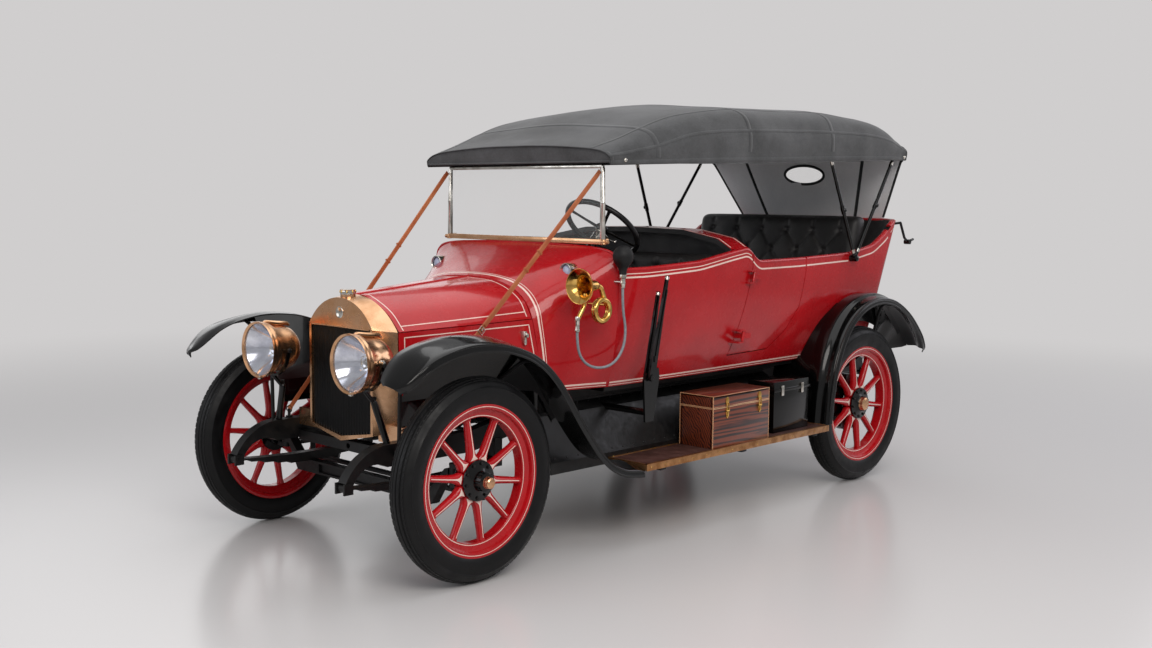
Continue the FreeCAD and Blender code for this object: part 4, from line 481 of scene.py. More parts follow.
mahogany = plank("mahogany_box_board", "#150706", "#3c140d", "#74341c", ring_mm=22.0)
bench_wood = plank("ash_body_wood", "#6d4a2a", "#94683c", "#b58a58")
lino = rubber("brown_board_linoleum", "#3f2722", "#5a3d36", 0.5)
tyre_rubber = rubber("black_tyre_rubber", "#060607", "#0f0f10", 0.42)
rim_black = rubber("black_wheel_rim", "#161617", "#2b2b2c", 0.3, 26.0)
strap_black = cloth("black_edge_binding", "#1d1e1f", "#37393a", 1.2)
window_film = clear_glass("curtain_window_film", "#e8ebe6", 0.12)
bulb_rubber = rubber("horn_bulb_rubber", "#151516", "#242425", 0.5, 30.0)
hose_rubber = rubber("grey_horn_hose", "#7d8389", "#989da2", 0.45, 60.0)
glass = clear_glass("windscreen_plate_glass", "#cfd8d8")
lamp_glass = clear_glass("lamp_glass", "#f2f4f8")


# Studio: pale floor, soft lamps and an even pale surround

SURROUND = "#d0cece"


def studio():
    world = bpy.data.worlds.new("studio")
    scene.world = world
    world.use_nodes = True
    tree = world.node_tree
    lit = tree.nodes["Background"]
    lit.inputs["Color"].default_value = colour("#f0f0f2")
    lit.inputs["Strength"].default_value = 0.42
    seen = add(tree, "ShaderNodeBackground", None, {"Color": colour(SURROUND), "Strength": 1.0})
    rays = add(tree, "ShaderNodeLightPath").outputs
    direct = add(tree, "ShaderNodeMath", {"operation": "MAXIMUM"}, {0: rays["Is Camera Ray"],
                                                                   1: rays["Is Transmission Ray"]})
    mirrored = add(tree, "ShaderNodeMath", {"operation": "MULTIPLY_ADD"}, {0: rays["Is Glossy Ray"], 1: 0.15,
                                                                          2: direct.outputs["Value"]})
    mixed = add(tree, "ShaderNodeMixShader", None, {0: mirrored.outputs["Value"],
                                                    1: lit.outputs["Background"],
                                                    2: seen.outputs["Background"]})
    tree.links.new(mixed.outputs["Shader"], tree.nodes["World Output"].inputs["Surface"])
    scene.view_settings.view_transform = "Standard"

    floor_shape = grid([[Vector((x, y, 0)) for y in np.linspace(-60, 60, 3)]
                        for x in np.linspace(-60, 60, 3)])
    mesh = bpy.data.meshes.new("studio_floor")
    mesh.from_pydata([tuple(v) for v in floor_shape[0]], [], [face[::-1] for face in floor_shape[1]])
    sheet = bpy.data.objects.new("studio_floor", mesh)
    scene.collection.objects.link(sheet)
    material, tree, shader = finish("pale_studio_floor", "#cfcdcd", Roughness=0.22, Specular_IOR_Level=0.5)
    where = add(tree, "ShaderNodeTexCoord").outputs["Object"]
    away = add(tree, "ShaderNodeVectorMath", {"operation": "LENGTH"}, {0: where}).outputs["Value"]
    seen = add(tree, "ShaderNodeLightPath").outputs["Is Camera Ray"]
    far = add(tree, "ShaderNodeMapRange", {"interpolation_type": "SMOOTHSTEP"},
              {"Value": away, "From Min": 2.6, "From Max": 9.0, "To Min": 0.0,
               "To Max": 1.0}).outputs["Result"]
    fade = add(tree, "ShaderNodeMath", {"operation": "MULTIPLY"}, {0: far, 1: seen}).outputs["Value"]
    plain = add(tree, "ShaderNodeEmission", None, {"Color": colour(SURROUND),
                                                   "Strength": 1.0}).outputs["Emission"]
    mixed = add(tree, "ShaderNodeMixShader", None, {0: fade, 1: shader.outputs["BSDF"], 2: plain})
    tree.links.new(mixed.outputs["Shader"], tree.nodes["Material Output"].inputs["Surface"])
    mesh.materials.append(material)

    for name, place, size, power, tint in (
            ("key", (3.6, 5.2, 4.8), 5.0, 250, "#fffaf5"),
            ("fill", (6.5, -2.0, 2.8), 5.0, 80, "#f5f8ff"),
            ("top", (-0.5, 0.5, 6.0), 9.0, 190, "#ffffff"),
            ("rim", (-6.0, 2.5, 3.2), 5.0, 70, "#f7f5ff"),
            ("back", (-2.5, -6.5, 3.2), 6.0, 50, "#ffffff")):
        lamp = bpy.data.lights.new(name, "AREA")
        lamp.shape = "RECTANGLE"
        lamp.size, lamp.size_y = size, size * 0.6
        lamp.energy = power
        lamp.color = colour(tint)[:3]
        holder = bpy.data.objects.new(name, lamp)
        scene.collection.objects.link(holder)
        aim = (Vector((0, 0, 0.8)) - Vector(place)).normalized()
        holder.matrix_world = Matrix.Translation(place) @ aim.to_track_quat("-Z", "Y").to_matrix().to_4x4()


studio()


# The horn's hose, hanging between the horn and its bulb

HORN_Y = 0.635
HOSE_POINTS = ((0.650, 0.940), (0.650, 0.866), (0.699, 0.799), (0.788, 0.770), (0.886, 0.780), (0.952, 0.842),
               (0.968, 0.930), (0.942, 1.022), (0.942, 1.112))


def horn_hose():
    line = bpy.data.curves.new("horn_hose", "CURVE")
    line.dimensions = "3D"
    line.bevel_depth = 0.006
    line.bevel_resolution = 5
    line.resolution_u = 16
    line.use_fill_caps = True
    spline = line.splines.new("NURBS")
    spline.points.add(len(HOSE_POINTS) - 1)
    for point, (back, z) in zip(spline.points, HOSE_POINTS):
        point.co = (*at(back, HORN_Y, z), 1.0)
    spline.order_u = 3
    spline.use_endpoint_u = True
    line.materials.append(hose_rubber)
    hose = bpy.data.objects.new("horn_hose_run", line)
    scene.collection.objects.link(hose)
    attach(hose, "root")
    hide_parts("horn_hose")


horn_hose()


# Repeats: one small item put at every point, turned to face along the point's own direction

def repeater(name, item, material):
    """Geometry Nodes tree that puts the item on each point of its mesh, sized by the named inputs."""
    tree = bpy.data.node_groups.new(name, "GeometryNodeTree")
    tree.interface.new_socket("Points", in_out="INPUT", socket_type="NodeSocketGeometry")
    tree.interface.new_socket("Item", in_out="INPUT", socket_type="NodeSocketObject")
    tree.interface.new_socket("Item Size", in_out="INPUT", socket_type="NodeSocketVector")
    tree.interface.new_socket("Finish", in_out="INPUT", socket_type="NodeSocketMaterial")
    tree.interface.new_socket("Result", in_out="OUTPUT", socket_type="NodeSocketGeometry")
    entry = add(tree, "NodeGroupInput").outputs
    facing = add(tree, "GeometryNodeInputNamedAttribute", {"data_type": "FLOAT_VECTOR"}, {"Name": "facing"})
    along = add(tree, "GeometryNodeInputNamedAttribute", {"data_type": "FLOAT_VECTOR"}, {"Name": "along"})
    out_turn = add(tree, "FunctionNodeAlignRotationToVector", {"axis": "Z"},
                   {"Vector": facing.outputs["Attribute"]})
    turn = add(tree, "FunctionNodeAlignRotationToVector", {"axis": "X", "pivot_axis": "Z"},
               {"Rotation": out_turn.outputs["Rotation"], "Vector": along.outputs["Attribute"]})
    source = add(tree, "GeometryNodeObjectInfo", None, {"Object": entry["Item"]})
    spots = add(tree, "GeometryNodeMeshToPoints", None, {"Mesh": entry["Points"]})
    copies = add(tree, "GeometryNodeInstanceOnPoints", None,
                 {"Points": spots.outputs["Points"], "Instance": source.outputs["Geometry"],
                  "Rotation": turn.outputs["Rotation"], "Scale": entry["Item Size"]})
    real = add(tree, "GeometryNodeRealizeInstances", None, {"Geometry": copies.outputs["Instances"]})
    done = add(tree, "GeometryNodeSetMaterial", None, {"Geometry": real.outputs["Geometry"],
                                                      "Material": entry["Finish"]})
    add(tree, "NodeGroupOutput", None, {"Result": done.outputs["Geometry"]})
    holder = bpy.data.objects.new(name + "_item", shape_mesh(name + "_item", item))
    return tree, holder, material


def shape_mesh(name, shape):
    mesh = bpy.data.meshes.new(name)
    mesh.from_pydata([tuple(v) for v in shape[0]], [], shape[1])
    mesh.shade_smooth()
    mesh.set_sharp_from_angle(angle=radians(40))
    return mesh


def repeated(name, kit, spots, size, body="root"):
    """Runs a repeater on spots of (place, facing, along) and keeps the result as one plain mesh.
    size is one scale, or the width and height of each item."""
    tree, item, material = kit
    scale = (size, size, size)
    if isinstance(size, tuple):
        scale = (size[0], size[0], size[1] / max(v.co.z for v in item.data.vertices))
    mesh = bpy.data.meshes.new(name + "_spots")
    mesh.from_pydata([tuple(spot[0]) for spot in spots], [], [])
    for index, label in ((1, "facing"), (2, "along")):
        layer = mesh.attributes.new(label, "FLOAT_VECTOR", "POINT")
        layer.data.foreach_set("vector", [c for spot in spots for c in Vector(spot[index])])
    maker = bpy.data.objects.new(name + "_maker", mesh)
    scene.collection.objects.link(maker)
    scene.collection.objects.link(item)
    modifier = maker.modifiers.new("repeat", "NODES")
    modifier.node_group = tree
    names = {socket.name: socket.identifier
             for socket in tree.interface.items_tree if socket.in_out == "INPUT"}
    modifier[names["Item"]] = item
    modifier[names["Item Size"]] = scale
    modifier[names["Finish"]] = material
    view_layer = bpy.context.evaluated_depsgraph_get()
    result = bpy.data.meshes.new_from_object(maker.evaluated_get(view_layer))
    bpy.data.objects.remove(maker)
    scene.collection.objects.unlink(item)
    obj = bpy.data.objects.new(name, result)
    scene.collection.objects.link(obj)
    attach(obj, body)
    return obj


def hex_head(width=1.0, height=0.6):
    """Unit hexagon nut with a rounded top, base at z 0."""
    r = width / 2 / cos(pi / 6)
    rows = [[Vector((k * r * cos(pi * i / 3), k * r * sin(pi * i / 3), z)) for i in range(6)]
            for k, z in ((1, 0), (1, height * 0.8), (0.82, height))]
    return grid(rows, close_v=True, cap=True)


def round_head(width=1.0, height=0.4):
    """Unit domed head, base at z 0."""
    r = width / 2
    profile = [(r, 0), (r * 0.95, height * 0.45), (r * 0.7, height * 0.82), (r * 0.35, height * 0.98),
               (0, height)]
    return lathe(profile, steps=12)


nuts = repeater("hex_nuts", hex_head(), iron)
rivets = repeater("round_rivets", round_head(), black)
brass_pins = repeater("brass_pins", round_head(), brass)
nickel_screws = repeater("nickel_screws", round_head(1.0, 0.3), nickel)


# Wheels: wooden spokes mitred at the hub, red felloe with cream lining, black hub plate, copper cap

SPOKES = 10
TREAD_BLOCKS = 96

# Half section of the tyre: bead at the rim, bulged wall with a moulded rib, ribbed crown
TYRE_SECTION = [(0.3003, 0.040), (0.3012, 0.0460), (0.306, 0.0500), (0.318, 0.0545), (0.333, 0.0580),
                (0.346, 0.0592), (0.3600, 0.0580), (0.3660, 0.0577), (0.3675, 0.0590), (0.3700, 0.0588),
                (0.3715, 0.0562), (0.382, 0.0508), (0.3905, 0.0440), (0.3945, 0.0405), (0.3950, 0.0385),
                (0.3975, 0.0370), (0.4010, 0.0300), (0.4020, 0.0285), (0.4000, 0.0275), (0.4000, 0.0255),
                (0.4035, 0.0245), (0.4070, 0.0135), (0.4075, 0.0110), (0.4050, 0.0100), (0.4050, 0.0075),
                (0.4085, 0.0065), (0.4100, 0.0)]


def in_wheel(side, centre):
    """Placement of a wheel drawn about its own axle, local +Y outwards."""
    matrix = Matrix.Translation(centre)
    return matrix if side > 0 else matrix @ Matrix.Scale(-1, 4, (0, 1, 0))


def spoke_shape(angle):
    """Oval spoke that widens into a mitred foot at the hub and a tenon shoulder at the felloe."""
    rows = []
    for r, half_width, half_depth, power in ((0.050, 0.0165, 0.0205, 0.55), (0.074, 0.0240, 0.0205, 0.55),
                                             (0.084, 0.0262, 0.0200, 0.6), (0.096, 0.0215, 0.0195, 0.7),
                                             (0.112, 0.0172, 0.0195, 0.9), (0.135, 0.0158, 0.0195, 1.0),
                                             (0.190, 0.0142, 0.0182, 1.0), (0.232, 0.0132, 0.0168, 1.0),
                                             (0.244, 0.0150, 0.0180, 0.9), (0.256, 0.0165, 0.0190, 0.8)):
        row = []
        for i in range(20):
            a = 2 * pi * i / 20
            u = abs(cos(a)) ** power * (1 if cos(a) > 0 else -1) * half_width
            v = abs(sin(a)) ** power * (1 if sin(a) > 0 else -1) * half_depth
            row.append(Vector((u * cos(angle) + r * sin(angle), v, r * cos(angle) - u * sin(angle))))
        rows.append(row)
    return grid(rows, close_v=True, cap=True)


def spoke_stripe_and_crest_highlight(angle):
    """Cream lining that spreads into the mitre beside the hub plate, running on as a thin cream line down the
    spoke's face that is a painted highlight on its crest.
    """
    rows = []
    for r, half in ((0.0825, 0.0200), (0.088, 0.0140), (0.095, 0.0075), (0.105, 0.0036), (0.125, 0.0022),
                    (0.240, 0.0016)):
        depth = 0.0208 if r < 0.13 else 0.0208 - (r - 0.13) * 0.027
        rows.append([Vector((u * cos(angle) + r * sin(angle), depth - abs(u) * 0.10,
                             r * cos(angle) - u * sin(angle))) for u in (-half, 0.0, half)])
    return grid(rows)


def bead(radius, across, width, height):
    """Profile of a thin raised ring line facing outwards."""
    return [(radius - width / 2, across), (radius - width / 4, across + height),
            (radius + width / 4, across + height), (radius + width / 2, across)]


def tyre_shape():
    near = [(r, -y) for r, y in TYRE_SECTION]
    return lathe(near + TYRE_SECTION[-2::-1] + [(0.3003, 0.0)], axis=(0, 1, 0), steps=160, closed=True)


def tread_block():
    """Raised block between the grooves, along X, in units that the tread scales."""
    return block((-0.40, -0.14, -0.10), (0.40, 0.14, 0.085), 0.03, 1)


tread_blocks = repeater("tread_blocks", tread_block(), tyre_rubber)


def wheel(tag, side, front):
    body = "wheel_" + tag
    centre = Vector((AXLE_X if front else AXLE_X - WHEELBASE, side * HALF_TRACK, TYRE_RADIUS))
    place = in_wheel(side, centre)
    y = (0, 1, 0)

    piece(tag + "_tyre", moved(tyre_shape(), place), tyre_rubber, body, ["tyre_" + tag], 40, True)
    spots = []
    for across, radius, slope, shift in ((0.0345, 0.3978, 0.30, 0.0), (-0.0345, 0.3978, -0.30, 0.5),
                                         (0.0190, 0.4042, 0.16, 0.0), (-0.0190, 0.4042, -0.16, 0.5)):
        for i in range(TREAD_BLOCKS):
            a = 2 * pi * (i + shift) / TREAD_BLOCKS
            out = Vector((sin(a), slope, cos(a))).normalized()
            spots.append((place @ Vector((radius * sin(a), across, radius * cos(a))),
                          place.to_3x3() @ out, place.to_3x3() @ Vector((cos(a), 0, -sin(a)))))
    repeated(tag + "_tread", tread_blocks, spots, 0.0255, body)

    felloe = lathe([(0.2995, -0.0450), (0.3040, -0.0462), (0.3035, -0.0490), (0.2965, -0.0492),
                    (0.2840, -0.0440), (0.2800, -0.0300), (0.2520, -0.0235), (0.2500, -0.0215),
                    (0.2500, 0.0215), (0.2520, 0.0235), (0.2700, 0.0250), (0.2800, 0.0300), (0.2840, 0.0440),
                    (0.2965, 0.0492), (0.3035, 0.0490), (0.3040, 0.0462), (0.2995, 0.0450)], axis=y, steps=96,
                   closed=True)
    spokes = [spoke_shape(2 * pi * (i + 0.25) / SPOKES) for i in range(SPOKES)]
    piece(tag + "_felloe", moved(felloe, place), red, body, ["wheel_" + tag], 35, True)
    piece(tag + "_spokes", moved(joined(*spokes), place), red, body, (), 50, True)

    lines = [lathe(bead(0.2560, 0.0242, 0.0034, 0.0005), axis=y, steps=96),
             lathe(bead(0.2935, 0.0484, 0.0030, 0.0006), axis=y, steps=96)]
    # The thin cream line down each spoke's crest is a painted highlight; where it spreads at the hub it is
    # cream lining.
    lines += [spoke_stripe_and_crest_highlight(2 * pi * (i + 0.25) / SPOKES) for i in range(SPOKES)]
    piece(tag + "_lining", moved(joined(*lines), place), cream, body, (), 30)

    reach = 0.106 if front else 0.071
    cap_radius = 0.024 if front else 0.036
    plate_profile = [(0.0, 0.0255), (0.081, 0.0255), (0.0825, 0.0275), (0.0815, 0.0320), (0.060, 0.0345),
                     (0.050, 0.0380), (0.0405, 0.0420), (0.0380, 0.0470), (0.0375, reach - 0.030),
                     (cap_radius + 0.004, reach - 0.026)]
    hub = [lathe(plate_profile + [(0.0, reach - 0.026)], axis=y, steps=48),
           lathe([(0.0, -0.0595), (0.050, -0.0595), (0.052, -0.0570), (0.052, -0.0300), (0.080, -0.0270),
                  (0.082, -0.0240), (0.080, -0.0205), (0.0, -0.0205)], axis=y, steps=48)]
    if not front:
        hub.append(lathe([(0.0, -0.031), (0.148, -0.031), (0.150, -0.033), (0.150, -0.068), (0.148, -0.0705),
                          (0.140, -0.0705), (0.138, -0.066), (0.0, -0.064)], axis=y, steps=64))
    piece(tag + "_hub", moved(joined(*hub), place), black, body, (), 35, True)
    bolts = []
    for i in range(SPOKES):
        a = 2 * pi * (i + 0.75) / SPOKES
        bolts.append((place @ Vector((0.069 * sin(a), 0.0334, 0.069 * cos(a))),
                      place.to_3x3() @ Vector((0, 1, 0)), place.to_3x3() @ Vector((cos(a), 0, -sin(a)))))
    repeated(tag + "_hub_nuts", nuts, bolts, 0.0115, body)

    cap = [(0.0, reach - 0.034), (cap_radius + 0.002, reach - 0.034), (cap_radius + 0.003, reach - 0.030),
           (cap_radius + 0.001, reach - 0.027), (cap_radius * 0.96, reach - 0.014),
           (cap_radius * 0.9, reach - 0.006), (cap_radius * 0.7, reach - 0.0015), (cap_radius * 0.4, reach),
           (0.0, reach)]
    piece(tag + "_cap", moved(lathe(cap, axis=y, steps=40), place), copper, body, (), 30,
          True)


for wheel_tag, wheel_side, is_front in (("front_left", 1, True), ("front_right", -1, True),
                                        ("rear_left", 1, False), ("rear_right", -1, False)):
    wheel(wheel_tag, wheel_side, is_front)

# Body: enamel over the imported panels, hide inside, rolled rims, and cream lines cast onto the panels, with
# thin cream lines under the sill and foot lines as painted highlights

ray_trees = {}


def ray_tree(node):
    if node not in ray_trees:
        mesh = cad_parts[node].data
        ray_trees[node] = BVHTree.FromPolygons([v.co for v in mesh.vertices],
                                               [p.vertices for p in mesh.polygons])
    return ray_trees[node]


def cast_runs(node, rays, jump=0.04):
    """Unbroken runs of (place, outward normal) where rays of (start, way) meet the node."""
    runs, run = [], []
    for start, way in rays:
        place, normal, _, _ = ray_tree(node).ray_cast(start, way, 1.6)
        if run and (place is None or (place - run[-1][0]).length > jump):
            runs.append(run)
            run = []
        if place is not None:
            run.append((place, normal if normal.dot(way) < 0 else -normal))
    return [r for r in runs + [run] if len(r) > 2]


def strip_rows(run, section):
    """Rows of a (side, outward) section along a run, square to the surface."""
    rows = []
    for i, (place, normal) in enumerate(run):
        ahead = run[min(i + 1, len(run) - 1)][0] - run[max(i - 1, 0)][0]
        near = run[max(i - 2, 0):i + 3]
        out = sum((n for _, n in near), Vector()).normalized()
        side = out.cross(ahead).normalized()
        rows.append([place + side * u + out * v for u, v in section])
    return rows


def painted_line(name, rays, width, panels, rise=0.0006):
    """A painted line of the given width on each of the (node, body) panels that the rays meet."""
    section = [(width / 2, rise), (-width / 2, rise), (-width / 2, -0.0008), (width / 2, -0.0008)]
    for node, body in panels:
        shapes = [grid(strip_rows(run, section), close_v=True, cap=True) for run in cast_runs(node, rays)]
        if shapes:
            piece(name + "_" + node, joined(*shapes), cream, body, angle=50)


def line_points(points, step=0.01):
    """Even points along straight stretches."""
    out = []
    for a, b in zip(points, points[1:]):
        count = max(1, ceil((Vector(b) - Vector(a)).length / step))
        out += [Vector(a).lerp(Vector(b), i / count) for i in range(count)]
    return out + [Vector(points[-1])]


RIM = [(0.955, 1.190), (1.120, 1.190), (1.480, 1.206), (1.740, 1.243), (1.865, 1.258), (1.905, 1.225),
       (1.945, 1.190), (2.300, 1.190), (2.770, 1.201), (3.000, 1.235), (3.140, 1.300), (3.225, 1.366),
       (3.700, 1.371)]


def rim_z(behind, soft=0.032):
    """Height of the body's top edge, with its corners eased over a short length."""
    near = [behind + soft * (k / 6 - 1) for k in range(13)]
    return float(np.interp(near, [b for b, _ in RIM], [z for _, z in RIM]).mean())


TAIL_TURN = 2.80


def rim_rays(side, drop, start=0.956, steps=40):
    """Rays at the body's top edge, a little below it, along the side and round the tail to its middle."""
    rays = []
    behind = start
    while behind < TAIL_TURN:
        rays.append((at(behind, side * 1.2, rim_z(behind) - drop), Vector((0, -side, 0))))
        behind += 0.004 if 1.85 < behind < 1.96 else 0.012
    for i in range(steps + 1):
        turn = pi / 2 * i / steps
        way = Vector((sin(turn), -side * cos(turn), 0))
        z = 1.2
        for _ in range(4):
            start_at = at(TAIL_TURN, 0, z) - way * 1.2
            place = ray_tree("body_tail").ray_cast(start_at, way, 1.2)[0]
            if place is None:
                place = at(TAIL_TURN, side * 0.6, z)
            z = rim_z(AXLE_X - place.x) - drop
        rays.append((at(TAIL_TURN, 0, z) - way * 1.2, way))
    return rays


def level_rays(side, z, start, steps=40):
    """Rays at one height along the side and round the tail."""
    rays = []
    behind = start
    while behind < TAIL_TURN:
        rays.append((at(behind, side * 1.2, z), Vector((0, -side, 0))))
        behind += 0.02
    for i in range(steps + 1):
        turn = pi / 2 * i / steps
        way = Vector((sin(turn), -side * cos(turn), 0))
        rays.append((at(TAIL_TURN, 0, z) - way * 1.2, way))
    return rays


WALL = 0.026
SILL_Z = 0.684
SILL_FRONT = 0.958
WIDE_LINE = 0.0075
THIN_LINE = 0.003
THIN_GAP = 0.012


def rim_roll(name, node, body, rays, half_width, height):
    """The rounded cap along a wall's top edge, enamelled red."""
    shapes = []
    for run in cast_runs(node, rays):
        rows = []
        for i, (place, normal) in enumerate(run):
            out = Vector((normal.x, normal.y, 0)).normalized()
            ahead = (run[min(i + 1, len(run) - 1)][0] - run[max(i - 1, 0)][0]).normalized()
            up = out.cross(ahead)
            up = up if up.z > 0 else -up
            middle = place - out * (WALL / 2) + UP * 0.006
            rows.append([middle + out * (half_width * cos(a)) + up * (height * sin(a))
                         for a in [pi * k / 8 for k in range(9)]]
                        + [middle - out * half_width - up * 0.004, middle + out * half_width - up * 0.004])
        shapes.append(grid(rows, close_v=True, cap=True))
    if shapes:
        piece(name + "_" + node, joined(*shapes), red, body, angle=50, fix_normals=True)


def lined(obj, test, material):
    """Gives the faces that pass the test the second material."""
    obj.data.materials.append(material)
    for face in obj.data.polygons:
        if test(face.center, face.normal):
            face.material_index = 1
    return obj


def faces_in(centre, normal):
    """True for a face that looks inwards across the car, above the floor."""
    return normal.y * (1 if centre.y > 0 else -1) < -0.45 and centre.z > 0.7


panels = [("body_sides", "root"), ("body_tail", "root"), ("door_rear_left", "door_rear_left"),
          ("door_rear_right", "door_rear_right"), ("door_front_right", "door_front_right")]
lined(carried("body_side_panels", "body_sides", red), faces_in, black_hide)
lined(carried("body_tail_panel", "body_tail", red),
      lambda c, n: faces_in(c, n) or n.x > 0.5, black_hide)
for tag in ("rear_left", "rear_right", "front_right"):
    lined(carried("door_panel_" + tag, "door_" + tag, red, "door_" + tag), faces_in, black_hide)
lined(carried("scuttle_panel", "scuttle", red),
      lambda c, n: n.z < -0.3 and c.z > 0.8 or n.x < -0.6 and c.x > 0.8, iron)
lined(carried("front_seat_panel", "front_seat_deck", red),
      lambda c, n: abs(n.x) > 0.5, black_hide)

for side, tag in SIDES:
    edge = rim_rays(side, 0.008)
    upper = rim_rays(side, 0.020)
    lower = rim_rays(side, 0.036)
    for node, body in panels:
        if node[-5:] == "right" and side > 0 or node[-4:] == "left" and side < 0:
            continue
        rim_roll("rim_roll_" + tag, node, body, edge, 0.0150, 0.0095)
        painted_line("rim_line_" + tag, [r for r in upper if r[0].x > AXLE_X - 1.885], 0.0042, [(node, body)])
        painted_line("belt_line_" + tag, [r for r in lower if r[0].x < AXLE_X - 0.97], WIDE_LINE,
                     [(node, body)])
    foot = [(at(0.622 + 0.02 * i, side * 1.2, SILL_Z), Vector((0, -side, 0))) for i in range(18)]
    painted_line("foot_line_" + tag, foot, WIDE_LINE, [("scuttle", "root")])
    # A thin cream line under the foot line, painted as the highlight along the panel's lower edge
    thin_foot = [(start - UP * THIN_GAP, way) for start, way in foot]
    painted_line("thin_foot_line_" + tag, thin_foot, THIN_LINE, [("scuttle", "root")])
    painted_line("sill_line_" + tag, level_rays(side, SILL_Z, SILL_FRONT), WIDE_LINE, panels[:2])
    # A thin cream line under the sill line, painted as the highlight along the panels' lower edge
    painted_line("thin_sill_line_" + tag, level_rays(side, SILL_Z - THIN_GAP, SILL_FRONT), THIN_LINE,
                 panels[:2])

# Lines over the scuttle's front and the seat panel's two edges
arch = []
for i in range(121):
    turn = pi * (i / 120 * 1.30 - 0.15)
    way = Vector((0, -cos(turn), -sin(turn)))
    arch.append((at(0.634, 0, 0.84) - way * 0.9, way))
painted_line("scuttle_line", arch, 0.0085, [("scuttle", "root")])
painted_line("thin_scuttle_line", [(s - AHEAD * THIN_GAP, w) for s, w in arch], THIN_LINE,
             [("scuttle", "root")])
for behind in (1.775, 1.893):
    over = [(at(behind, 0.6 - 0.012 * i, 1.8), Vector((0, 0, -1))) for i in range(101)]
    painted_line("seat_panel_line_%d" % (behind * 1000), over, 0.006, [("front_seat_deck", "root")])

# A rolled bead round the scuttle's rear edge, under the windscreen
cowl = smooth_path([(-0.955, 0.600, 1.192), (-0.955, 0.580, 1.250), (-0.955, 0.505, 1.281),
                    (-0.955, 0.260, 1.295), (-0.955, 0.0, 1.299), (-0.955, -0.260, 1.295),
                    (-0.955, -0.505, 1.281), (-0.955, -0.580, 1.250), (-0.955, -0.600, 1.192)], 8)
cowl = [p + Vector((AXLE_X, 0, -0.005)) for p in cowl]
piece("scuttle_bead", tube(cowl, 0.0065, 10), red, angle=60)

# Hinges of the doors
carried("door_hinge_ears", "door_hinges", red, angle=10)

BONNET_FRONT, BONNET_LENGTH = -0.0437, 0.6524
LEAF_LINE = 0.0045
LEAF_FRONT = ((0.0062, 1.1000), (0.072, 1.0970), (0.203, 1.0390), (0.288, 0.9630))
LEAF_REAR = ((0.0062, 1.1490), (0.200, 1.1340), (0.341, 1.0750), (0.405, 0.9850))


def across_leaf(side, behind, first, last):
    """Rays down onto a leaf at one station, from near the hinge outwards."""
    rays = []
    for i in range(41):
        turn = radians(first + (last - first) * i / 40)
        way = Vector((0, -side * sin(turn), -cos(turn)))
        rays.append((at(behind, 0, 0.80) - way * 0.8, way))
    return rays


# Bonnet: leaves, side panels, the long centre hinge, framed with lines
for side, tag in SIDES:
    rows, under = [], []
    for i in range(25):
        t = i / 24
        line = smooth_path([(side * (LEAF_FRONT[k][0] * (1 - t) + LEAF_REAR[k][0] * t),
                             LEAF_FRONT[k][1] * (1 - t) + LEAF_REAR[k][1] * t, 0) for k in range(4)], 8)
        behind = BONNET_FRONT + BONNET_LENGTH * t
        rows.append([at(behind, p.x, p.y) for p in line])
        under.append([at(behind, p.x, p.y - 0.0022) for p in line])
    leaf_shape = grid([top + low[::-1] for top, low in zip(rows, under)], close_v=True, cap=True)
    top_leaf = lined(piece("bonnet_top_" + tag, leaf_shape, red, "bonnet_leaf_" + tag,
                           ["bonnet_leaf_" + tag], 40, True), lambda c, n: n.z < -0.2, iron)
    ray_trees["bonnet_leaf_" + tag] = BVHTree.FromPolygons([v.co for v in top_leaf.data.vertices],
                                                           [p.vertices for p in top_leaf.data.polygons])
lined(carried("bonnet_side_panels", "bonnet_sides", red, angle=32), faces_in, iron)
for side, tag in SIDES:
    leaf = [("bonnet_leaf_" + tag, "bonnet_leaf_" + tag)]
    painted_line("leaf_front_line_" + tag, across_leaf(side, -0.022, 4, 60), LEAF_LINE, leaf)
    painted_line("leaf_rear_line_" + tag, across_leaf(side, 0.588, 3, 64), LEAF_LINE, leaf)
    low_edge = []
    for i in range(80):
        t = i / 79
        behind = -0.022 + 0.61 * t
        low_edge.append((at(behind, side * (0.272 + 0.112 * t), 1.6), Vector((0, 0, -1))))
    painted_line("leaf_low_line_" + tag, low_edge, LEAF_LINE, leaf)
    frame_line = line_points([(-0.020, 0, 0.632), (-0.020, 0, 0.938), (0.588, 0, 0.958), (0.588, 0, 0.632),
                              (-0.020, 0, 0.632)])
    inward = [(at(p.x, side * 1.2, p.z), Vector((0, -side, 0))) for p in frame_line]
    painted_line("bonnet_side_line_" + tag, inward, LEAF_LINE, [("bonnet_sides", "root")])
    catch = at(0.545, side * 0.405, 0.905)
    piece("bonnet_catch_" + tag, joined(
        block(catch - Vector((0.007, 0.03, 0.03)), catch + Vector((0.007, 0.03, 0.03)), 0.003),
        lathe([(0, 0.0), (0.009, 0.001), (0.011, 0.006), (0.008, 0.011), (0, 0.013)],
              catch + Vector((0, side * 0.03, 0.012)), (0, side, 0), 16)), nickel)
piece("bonnet_hinge_cover", tube([at(-0.0435, 0, 1.1000), at(0.6085, 0, 1.1490)], 0.0054, 12), red,
      angle=60)

# Radiator: copper-brass surround, blank badge, black core of fine upright tubes

